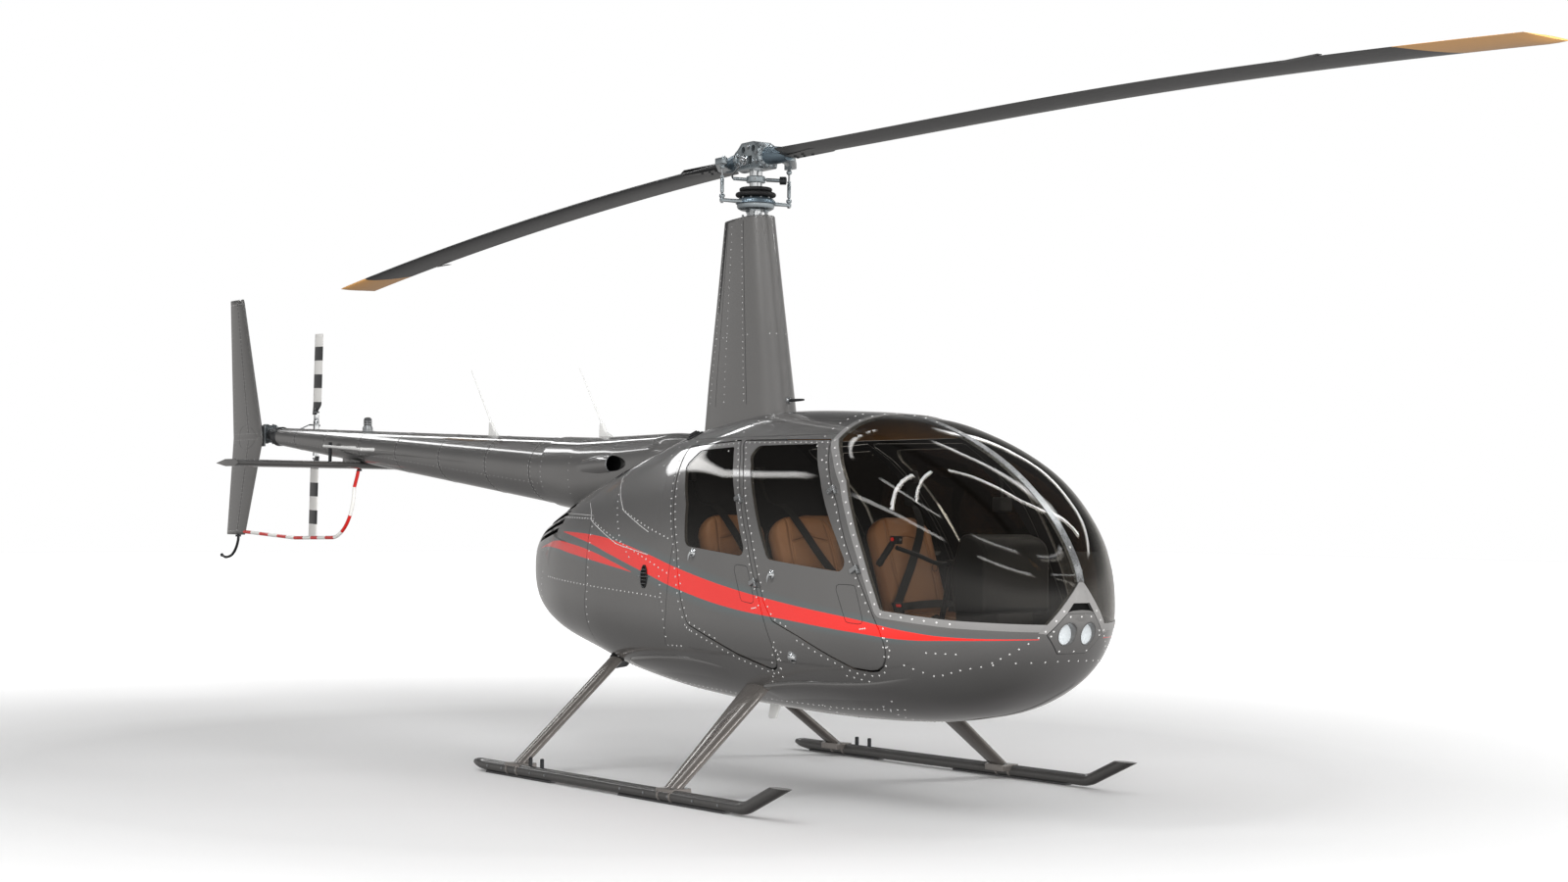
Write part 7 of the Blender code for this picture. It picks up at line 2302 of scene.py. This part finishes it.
class HELI_OT_cabin_trim(bpy.types.Operator):
    """Dress the floor, firewall and engine, and add the compass"""
    bl_idname = "helicopter.cabin_trim"
    bl_label = "Cabin trim"

    def execute(self, context):
        for node, finish in (("cabin_floor", "carpet"), ("firewall", "trim"),
                             ("engine_block", "engine_metal")):
            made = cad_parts[node]
            made.data.materials.clear()
            made.data.materials.append(finish_of(finish))
        compass = box((-0.036, -1.985, 1.425), (0.036, -1.925, 1.490), 0.008, 3)
        face = lathe([(0.024, 0), (0.024, 0.003), (0.020, 0.005), (0, 0.006)], (0, -1.925, 1.457), (0, 1, 0),
                     28)
        bracket = tube([(0, -1.955, 1.488), (0, -1.950, 1.560), (0, -1.905, 1.634)], 0.006, 12)
        piece("compass", [(compass, "black_plastic"), (face, "instrument_glass"), (bracket, "black_plastic")],
              slot="console_black")
        return {"FINISHED"}


# Trim on the skin

# Nose bracket and lamp panel, seen from ahead: x, z of one half
BRACKET_HALF = ((0.0135, 1.117), (0.2065, 0.894), (0.168, 0.8905), (0.0825, 0.982), (0.0475, 1.0265))
LAMP_PANEL_HALF = ((0.080, 0.9795), (0.1655, 0.8880), (0.0865, 0.8030))
RETAINER_WIDTH, STRIP_SCREW_LIFT = 0.034, 0.0014
# Rivet rows on the body, in side view
BODY_ROWS = (
    ((0.538, 1.606), (0.301, 1.271), (0.180, 1.180)),
    ((-0.119, 1.089), (-0.156, 0.918), (-0.146, 0.746)),
    ((-0.146, 0.746), (-0.270, 0.748)),
    ((1.231, 1.053), (0.600, 1.021), (0.100, 0.999), (-0.130, 0.985)),
    ((1.365, 1.075), (1.493, 0.900)),
    ((0.661, 1.373), (0.632, 1.217), (0.630, 1.020), (0.697, 0.827)),
    ((0.660, 1.362), (0.352, 1.270), (0.104, 1.202), (-0.190, 1.108)),
    ((0.344, 1.424), (0.050, 1.337), (-0.170, 1.280)),
    ((1.150, 1.380), (0.661, 1.373)),
    ((-1.060, 0.780), (-0.985, 0.651), (-0.918, 0.595), (-0.840, 0.520)),
    ((-1.110, 0.760), (-1.050, 0.640), (-0.990, 0.570)),
    ((-1.535, 0.672), (-1.687, 0.648), (-1.671, 0.612), (-1.693, 0.561)),
    ((-2.025, 0.799), (-2.149, 0.797)),
    ((-1.898, 0.738), (-2.027, 0.691), (-2.144, 0.727), (-2.260, 0.752)),
    ((-2.413, 0.875), (-2.387, 0.850), (-2.356, 0.824), (-2.315, 0.794), (-2.262, 0.762)),
    ((-1.700, 0.520), (-1.300, 0.500), (-0.700, 0.508), (0.000, 0.540), (0.600, 0.610)),
)
SEAMS = (
    ((-0.060, 1.612), (-0.150, 1.440), (-0.226, 1.270), (-0.205, 1.080), (-0.184, 0.911), (-0.124, 0.748)),
    ((0.682, 1.363), (0.655, 1.217), (0.652, 1.020), (0.720, 0.827), (0.760, 0.700)),
)
# Turned edges of the cowl's panels, drawn in the light rivet finish as a painted highlight
EDGES = (
    ((0.571, 1.598), (0.331, 1.417), (0.020, 1.310)),
    ((0.735, 1.416), (0.682, 1.363), (0.331, 1.245), (-0.001, 1.196)),
    ((1.150, 1.402), (0.682, 1.390)),
    ((0.735, 1.416), (0.810, 1.455)),
)
SEAM_SIZE, EDGE_SIZE = (0.0026, 0.0004), (0.0044, 0.0014)
HATCHES = {
    "front": ((-1.524, 1.090, 0.018), (-1.655, 1.088, 0.018), (-1.712, 0.912, 0.018), (-1.600, 0.919, 0.018)),
    "rear": ((-0.752, 1.165, 0.018), (-0.866, 1.157, 0.018), (-0.938, 0.978, 0.018), (-0.827, 0.990, 0.018)),
}
HANDLES = {"front": (-1.061, 1.122), "rear": (-0.406, 1.212)}
# Each leg's fairing: places along its upper edge, in side view
FAIRING_EDGES = {
    "rear": ((0.520, 0.612), (0.400, 0.650), (0.262, 0.668), (-0.020, 0.690), (-0.308, 0.692),
             (-0.613, 0.655)),
    "front": ((-0.700, 0.520), (-0.800, 0.575), (-0.904, 0.598), (-1.187, 0.627), (-1.627, 0.645),
              (-1.903, 0.682)),
}
# A fairing's section: distance below its edge, rise off the skin
FAIRING_PROFILE = ((0.000, -0.0008), (0.003, 0.0110), (0.012, 0.0175), (0.035, 0.0160), (0.070, 0.0095),
                   (0.110, 0.0030), (0.140, -0.0008))
# Turned parts: radius, height
LAMP_RIM = ((0.0515, 0.050), (0.0515, -0.0026), (0.0488, -0.0034), (0.0470, -0.001), (0.0470, 0.024),
            (0.0470, 0.050))
LAMP_BOWL = ((0.0465, 0.0), (0.0455, 0.000), (0.0440, 0.010), (0.0380, 0.026), (0.0260, 0.038),
             (0.0090, 0.043), (0.0090, 0.046), (0.0465, 0.046))
LAMP_BULB = ((0.0, 0.0), (0.0055, 0.002), (0.0085, 0.008), (0.0085, 0.018), (0.0060, 0.026), (0.0060, 0.040))
LAMP_CAP = ((0, -0.002), (0.010, 0.000), (0.012, 0.003), (0.0105, 0.005), (0, 0.006))
LAMP_LENS = ((0, -0.0075), (0.016, -0.0068), (0.030, -0.0046), (0.042, -0.0012), (0.0465, 0.0012),
             (0.0465, 0.0042), (0.030, 0.0008), (0, -0.0030))
# Bowl and cap glow faintly: emission painted on as a highlight
LAMP_PARTS = ((LAMP_BOWL, 0, 64, "reflector"), (LAMP_BULB, 0.004, 24, "bulb"),
              (LAMP_CAP, -0.001, 24, "reflector"), (LAMP_LENS, -0.0035, 64, "lens"))
HANDLE_KNOB = ((0.0225, -0.001), (0.0225, 0.002), (0.0190, 0.0045), (0.0150, 0.006), (0.0130, 0.012),
               (0.0085, 0.015), (0, 0.016))
DRAIN_KNOB = ((0.030, -0.002), (0.030, 0.0015), (0.0225, 0.003), (0.0215, 0.009), (0.0150, 0.0165),
              (0.006, 0.019), (0, 0.0195))
FILLER_CAP = ((0.048, -0.004), (0.048, 0.002), (0.042, 0.004), (0.032, 0.005), (0.032, 0.011), (0.028, 0.014),
              (0.012, 0.0150), (0, 0.0150))
INLET_PLACE, INLET_REACH = (0.020, 1.085), (0.031, 0.059)
# height, half length
INLET_BARS = ((1.120, 0.020), (1.1025, 0.025), (1.0850, 0.046), (1.0675, 0.025), (1.050, 0.020))


def whole(half):
    """A symmetric outline from its right half."""
    return [*half, *[(-x, z) for x, z in reversed(half)]]


def overlay(zone, *cuts, height=0.0016):
    """A thin sheet that lies on the skin within a zone."""
    return carve(hull(-height), ("DIFFERENCE", hull(-0.0002)), ("INTERSECT", zone),
                 *[("DIFFERENCE", c) for c in cuts])


def looped(points, step):
    """Points at even steps round a closed line, the first two once more at its end."""
    run = spaced(points, step, True)
    return np.vstack((run, run[:2]))


def falling(points, column):
    """Points in the order in which one of their columns falls."""
    return points[np.argsort(-points[:, column])]


def seam_lines(paths, side, size=SEAM_SIZE):
    """Thin strips on one side of the skin: joints between panels, or turned edges."""
    return join(*[ribbon(on_skin(spaced(path, 0.02), side), *size) for path in paths])


class HELI_OT_retainers(bpy.types.Operator):
    """Make the strips that hold the windshields, the nose bracket and their screws"""
    bl_idname = "helicopter.retainers"
    bl_label = "Windshield strips"

    def execute(self, context):
        outer, inner = [prism(grow(rounded(WINDSHIELD), width), "X", -reach, reach)
                        for width, reach in ((RETAINER_WIDTH, 1), (0.0006, 1.1))]
        strips = overlay(cut(outer, inner, nose_wedge(0.0012)))
        bracket = overlay(prism(whole(BRACKET_HALF), "Y", -3, -2.2), height=0.0022)
        edge = bordered(WINDSHIELD, RETAINER_WIDTH * 0.5)
        edge = edge[(edge[:, 0] > -2.5) & (edge[:, 1] < 1.80)]
        edge = edge[np.argsort(np.where(edge[:, 0] > -1.82, -edge[:, 1], 9 - edge[:, 0]))]
        runs = []
        for sign in SIDES.values():
            places, normals = on_skin(spaced(edge, 0.058), sign, STRIP_SCREW_LIFT)
            clear = np.abs(places[:, 0]) > 0.225
            runs += [(places[clear], normals[clear]),
                     on_nose([(sign * x, z) for x, z in ((0.098, 0.991), (0.134, 0.949), (0.176, 0.903))],
                             0.002),
                     on_top([(sign * x, WINDSHIELD[0][0] + RETAINER_WIDTH / 2)
                             for x in np.arange(0.06, 0.56, 0.075)], STRIP_SCREW_LIFT)]
        ys = np.arange(-2.40, -1.33, 0.082)
        tops = section_at(ys)[1]
        spine = np.stack((0 * ys, ys, tops), axis=1)[tops > 1.16]
        runs.append((spine, skin_normals(spine)))
        size = context.scene.helicopter_trim.screw_radius
        screws = domes(together(runs), size, size * 0.5, 12)
        skin_piece("windshield_strips", strips, "retainer", "retainer", [(screws, "screw")],
                   slot="strip_alloy")
        skin_piece("nose_bracket", bracket, "retainer", "retainer", slot="strip_alloy")
        return {"FINISHED"}


def lamp_bezel(x):
    """The ring round a lamp, whose lip follows the nose."""
    ring = turns(64)
    reach = LAMP_RADIUS - 0.001
    rim = on_nose([(x + reach * cos(t), LAMP_Z + reach * sin(t)) for t in ring])[0][:, 1]
    points, faces = loft([[(x + radius * cos(t), y + lift, LAMP_Z + radius * sin(t))
                           for t, y in zip(ring, rim)]
                          for radius, lift in LAMP_RIM], caps=False)
    last = len(points) - 64
    return points, faces + [(last + i, i, (i + 1) % 64, last + (i + 1) % 64) for i in range(64)]


class HELI_OT_lamps(bpy.types.Operator):
    """Make the lamp panel and the two landing lamps, with a near-black box as painted shade behind the air
    slot above them
    """
    bl_idname = "helicopter.lamps"
    bl_label = "Landing lamps"

    def execute(self, context):
        panel = overlay(prism(whole(LAMP_PANEL_HALF), "Y", -3, -2.2), *lamp_bores(0.0006), height=0.0020)
        screws = [(sign * x, z) for sign in SIDES.values()
                  for x, z in ((0.062, 0.9665), (0.138, 0.903), (0.146, 0.882), (0.082, 0.815))]
        edge = looped(whole([(x * 1.012, z) for x, z in LAMP_PANEL_HALF]), 0.012)
        # A near-black box behind the air slot: painted shade
        slot_shade = carve(box((-0.088, -2.452, 0.974), (0.088, -2.400, 1.036)), ("INTERSECT", hull(WALL + 0.001)))
        skin_piece("lamp_panel", panel, "plain_paint", "plain_paint", [
            (domes(on_nose([*screws, (0.0, 0.9665), (0.0, 0.8125)], 0.0018), 0.0046, 0.0024, 12), "screw"),
            (ribbon(on_nose(edge), 0.003, 0.0012), "seal"), (slot_shade, "dark_void")])
        for side, sign in SIDES.items():
            x = sign * LAMP_X
            back = on_nose([(x, LAMP_Z)])[0][0][1] + 0.030
            parts = [(lathe(profile, (x, back + aft, LAMP_Z), (0, 1, 0), sides), finish)
                     for profile, aft, sides, finish in LAMP_PARTS]
            piece(f"landing_lamp_{side}_set", [(lamp_bezel(x), "plain_paint"), *parts], slot="steel",
                  stands_for=[f"landing_lamp_{side}"], smooth=50)
        return {"FINISHED"}


class HELI_OT_skin_trim(bpy.types.Operator):
    """Make the rivets and panel joints of the body, and turned edges of its panels with a painted highlight
    """
    bl_idname = "helicopter.skin_trim"
    bl_label = "Rivets and joints"

    def execute(self, context):
        trim = context.scene.helicopter_trim
        rear, front = bordered(REAR_DOOR, 0.024), bordered(FRONT_DOOR, 0.024)
        rows = [*BODY_ROWS, falling(rear[rear[:, 0] > -0.42], 1),
                falling(rear[(rear[:, 1] < 0.90) & (rear[:, 0] < -0.36)], 0),
                falling(front[(front[:, 1] < 0.93) & (front[:, 0] < -1.10)], 0)]
        runs = [on_skin(spaced(row, trim.rivet_step), sign) for sign in SIDES.values() for row in rows]
        runs += [on_top([(x, y) for x in np.linspace(-0.40, 0.40, 19)], below=True)
                 for y in (-1.60, -1.15, -0.60, 0.05, 0.60)]
        runs += [on_top([(x, y) for x in np.linspace(-0.46, 0.46, 21) if abs(x) > 0.15])
                 for y in (-1.17, -0.46, 0.10)]
        runs.append(on_nose([(x, 0.7685 - abs(x) * 0.03) for x in np.linspace(-0.25, 0.25, 9)]))
        piece("skin_rivets", [(domes(together(runs), trim.rivet_radius, trim.rivet_radius * 0.5), "rivet")])
        tops = [[(sign * 0.30, y) for y in np.linspace(-1.22, 0.40, 28)] for sign in SIDES.values()]
        tops.append([(x, 0.12) for x in np.linspace(-0.40, 0.40, 40)])
        joints = [seam_lines(SEAMS, sign) for sign in SIDES.values()]
        joints += [ribbon(on_top(row), *SEAM_SIZE) for row in tops]
        # The turned edges take the light rivet finish: a painted highlight
        edges = [seam_lines(EDGES, sign, EDGE_SIZE) for sign in SIDES.values()]
        piece("skin_joints", [(join(*joints), "seal"), (join(*edges), "rivet")])
        door_fittings(trim.rivet_radius, trim.rivet_step)
        body_fittings()
        leg_fairings()
        return {"FINISHED"}


def door_fittings(radius, step):
    """The rivets, hatch joint, hatch screws and handle of each door."""
    for side, sign in SIDES.items():
        for door, (outline, _) in DOORS.items():
            aft = -1.2 if door == "front" else -0.6
            run = spaced(bordered(outline, -0.013), step, True)
            run = run[(run[:, 1] > 0.95) | (run[:, 0] > aft)]
            hatch = looped(bordered(HATCHES[door], 0.0), 0.02)
            y, z = HATCHES[door][2][:2]
            screws = spaced([(y + 0.024, z - 0.020), (y - 0.006, z - 0.016)], 0.010)
            place, facing = first_of(on_skin([HANDLES[door]], sign))
            down = np.array((0, 0.35, -1.0))
            down = unit(down - facing * down.dot(facing))
            lever = tube([place + facing * 0.014 - down * 0.004, place + facing * 0.017 + down * 0.018,
                          place + facing * 0.013 + down * 0.040], [0.0060, 0.0056, 0.0036], 14)
            parts = [(domes(on_skin(run, sign), radius, radius * 0.5), "rivet"),
                     (ribbon(on_skin(hatch, sign), *SEAM_SIZE), "seal"),
                     (domes(on_skin(screws, sign, 0.001), 0.0038, 0.0022), "screw"),
                     (join(lathe(HANDLE_KNOB, place, facing, 40), lever), "chrome")]
            piece(f"{door}_door_{side}_fittings", parts, body=f"{door}_{side}_door", slot="steel")


def inlet(sign):
    """The oval inlet on one side of the cowl, with a near-black disc inside as painted shade, and its bars.
    """
    (y, z), (wide, high) = INLET_PLACE, INLET_REACH
    places, normals = on_skin([(y + wide * cos(t), z + high * sin(t)) for t in turns(48)], sign)
    centre, out = first_of(on_skin([INLET_PLACE], sign))
    inner = centre + (places - centre) * 0.86
    rim = loft([places - normals * 0.001, places + normals * 0.004, (places + inner) / 2 + normals * 0.0052,
                inner + normals * 0.003, inner - normals * 0.001], caps=False)
    # The disc inside the rim is painted near-black as shade
    shade_disc, faces = loft([inner + normals * 0.0004, centre + (inner - centre) * 0.5 + out * 0.0006], caps=False)
    faces = [(a, d, c, b) for a, b, c, d in faces] + [tuple(range(48, 96))]
    bars = [tube(on_skin([(y + reach * share, height) for share in (-1, 0, 1)], sign, 0.0075)[0], 0.0022, 8)
            for height, reach in INLET_BARS]
    return [(rim, "dark_steel"), ((shade_disc, faces), "dark_void"), (join(*bars), "steel")]


def body_fittings():
    """The drains, filler caps and inlets of the body."""
    parts = []
    for sign in SIDES.values():
        parts.append((lathe(DRAIN_KNOB, *first_of(on_skin([(-1.190, 0.740)], sign)), 40), "chrome"))
        place, facing = first_of(on_top([(sign * 0.272, 0.100)]))
        turn = Vector((0, 0, 1)).rotation_difference(Vector(facing)).to_matrix().to_4x4()
        grip = moved(box((-0.024, -0.004, 0.0140), (0.024, 0.004, 0.021), 0.003),
                     Matrix.Translation(place) @ turn)
        parts += [(lathe(FILLER_CAP, place, facing, 48), "black_plastic"), (grip, "black_plastic"),
                  *inlet(sign)]
    piece("body_fittings", parts, slot="steel")


def leg_fairings():
    """The low bulges that fair the legs into the belly."""
    parts = []
    for sign in SIDES.values():
        for edge in FAIRING_EDGES.values():
            run = smooth_path([(sign, y, z) for y, z in edge], 0.03)[:, 1:]
            places, normals = on_skin(run, sign)
            down = np.cross(unit(np.gradient(places, axis=0)), normals)
            down *= np.sign(-down[:, 2:3])
            t = np.linspace(0, 1, len(places))
            rings = []
            for place, way, swell in zip(places, down, np.clip(t * 6, 0, 1) * (1 - t ** 2.2)):
                feet = [SKIN.find_nearest(Vector(place + way * away))[0][:] for away, rise in FAIRING_PROFILE]
                rises = [(rise * swell if rise > 0 else rise,) for away, rise in FAIRING_PROFILE]
                rings.append(np.array(feet) + skin_normals(feet) * rises)
            parts.append((loft(rings), "plain_paint"))
    piece("leg_fairings", parts, smooth=50)


class HeliLight(bpy.types.PropertyGroup):
    """Light and lens of the stage"""
    room: bpy.props.FloatProperty(
        name="Room light", description="Strength of the studio's walls",
        default=1.0, min=0.0, max=4.0)
    panels: bpy.props.FloatProperty(
        name="Panels", description="Share of the light panels' power",
        default=1.0, min=0.0, max=4.0)
    lens: bpy.props.FloatProperty(
        name="Lens", description="Focal length on a 36 mm sensor",
        default=55.54, min=10.0, max=300.0)


class HeliPaint(bpy.types.PropertyGroup):
    """Colours of the paint and the seats, in linear light"""
    body_dark: bpy.props.FloatVectorProperty(
        name="Body, dark", description="Charcoal where the paint is darkest",
        subtype="COLOR", default=rgb("565554")[:3], min=0.0, max=1.0)
    body_light: bpy.props.FloatVectorProperty(
        name="Body, light", description="Charcoal where the paint is lightest",
        subtype="COLOR", default=rgb("6b6a69")[:3], min=0.0, max=1.0)
    stripe_dark: bpy.props.FloatVectorProperty(
        name="Stripe, dark", description="Red of the flash where it is darkest",
        subtype="COLOR", default=rgb("cc140c")[:3], min=0.0, max=1.0)
    stripe_light: bpy.props.FloatVectorProperty(
        name="Stripe, light", description="Red of the flash where it is lightest",
        subtype="COLOR", default=rgb("e01e14")[:3], min=0.0, max=1.0)
    leather_dark: bpy.props.FloatVectorProperty(
        name="Leather, dark", description="Leather of the seats where it is darkest",
        subtype="COLOR", default=rgb("7c5640")[:3], min=0.0, max=1.0)
    leather_light: bpy.props.FloatVectorProperty(
        name="Leather, light", description="Leather of the seats where it is lightest",
        subtype="COLOR", default=rgb("a97d5a")[:3], min=0.0, max=1.0)


class HeliTrim(bpy.types.PropertyGroup):
    """Sizes of the small fittings on the skin"""
    rivet_radius: bpy.props.FloatProperty(
        name="Rivet radius", description="Radius of a rivet's head",
        default=0.0046, min=0.001, max=0.01, unit="LENGTH")
    rivet_step: bpy.props.FloatProperty(
        name="Rivet spacing", description="Distance between rivets in a row",
        default=0.042, min=0.01, max=0.2, unit="LENGTH")
    screw_radius: bpy.props.FloatProperty(
        name="Screw radius", description="Radius of a screw's head on the strips",
        default=0.0052, min=0.001, max=0.01, unit="LENGTH")


GROUPS = {"helicopter_light": HeliLight, "helicopter_paint": HeliPaint, "helicopter_trim": HeliTrim}

OPERATORS = (
    HELI_OT_stage, HELI_OT_cabin, HELI_OT_glazing, HELI_OT_doors, HELI_OT_cowl, HELI_OT_tower,
    HELI_OT_rotor_head, HELI_OT_blades, HELI_OT_tail_cone, HELI_OT_fins, HELI_OT_stabiliser,
    HELI_OT_guard, HELI_OT_tail_rotor, HELI_OT_fittings, HELI_OT_gear, HELI_OT_seats, HELI_OT_belts,
    HELI_OT_console, HELI_OT_controls, HELI_OT_cabin_trim, HELI_OT_retainers, HELI_OT_lamps,
    HELI_OT_skin_trim,
)


class HELI_PT_panel(bpy.types.Panel):
    """Lists the makers in the order in which they run"""
    bl_idname = "HELI_PT_panel"
    bl_label = "Light helicopter"
    bl_space_type = "VIEW_3D"
    bl_region_type = "UI"
    bl_category = "Helicopter"

    def draw(self, context):
        for group, kind in GROUPS.items():
            for name in kind.__annotations__:
                self.layout.prop(getattr(context.scene, group), name)
        for maker in OPERATORS:
            self.layout.operator(maker.bl_idname)


def register():
    for made in (*GROUPS.values(), *OPERATORS, HELI_PT_panel):
        bpy.utils.register_class(made)
    for name, kind in GROUPS.items():
        setattr(bpy.types.Scene, name, bpy.props.PointerProperty(type=kind))


def unregister():
    for name in GROUPS:
        delattr(bpy.types.Scene, name)
    for made in (HELI_PT_panel, *reversed(OPERATORS), *GROUPS.values()):
        bpy.utils.unregister_class(made)


def main():
    register()
    for maker in OPERATORS:
        getattr(bpy.ops.helicopter, maker.bl_idname.split(".")[1])()


if __name__ == "__main__":
    main()
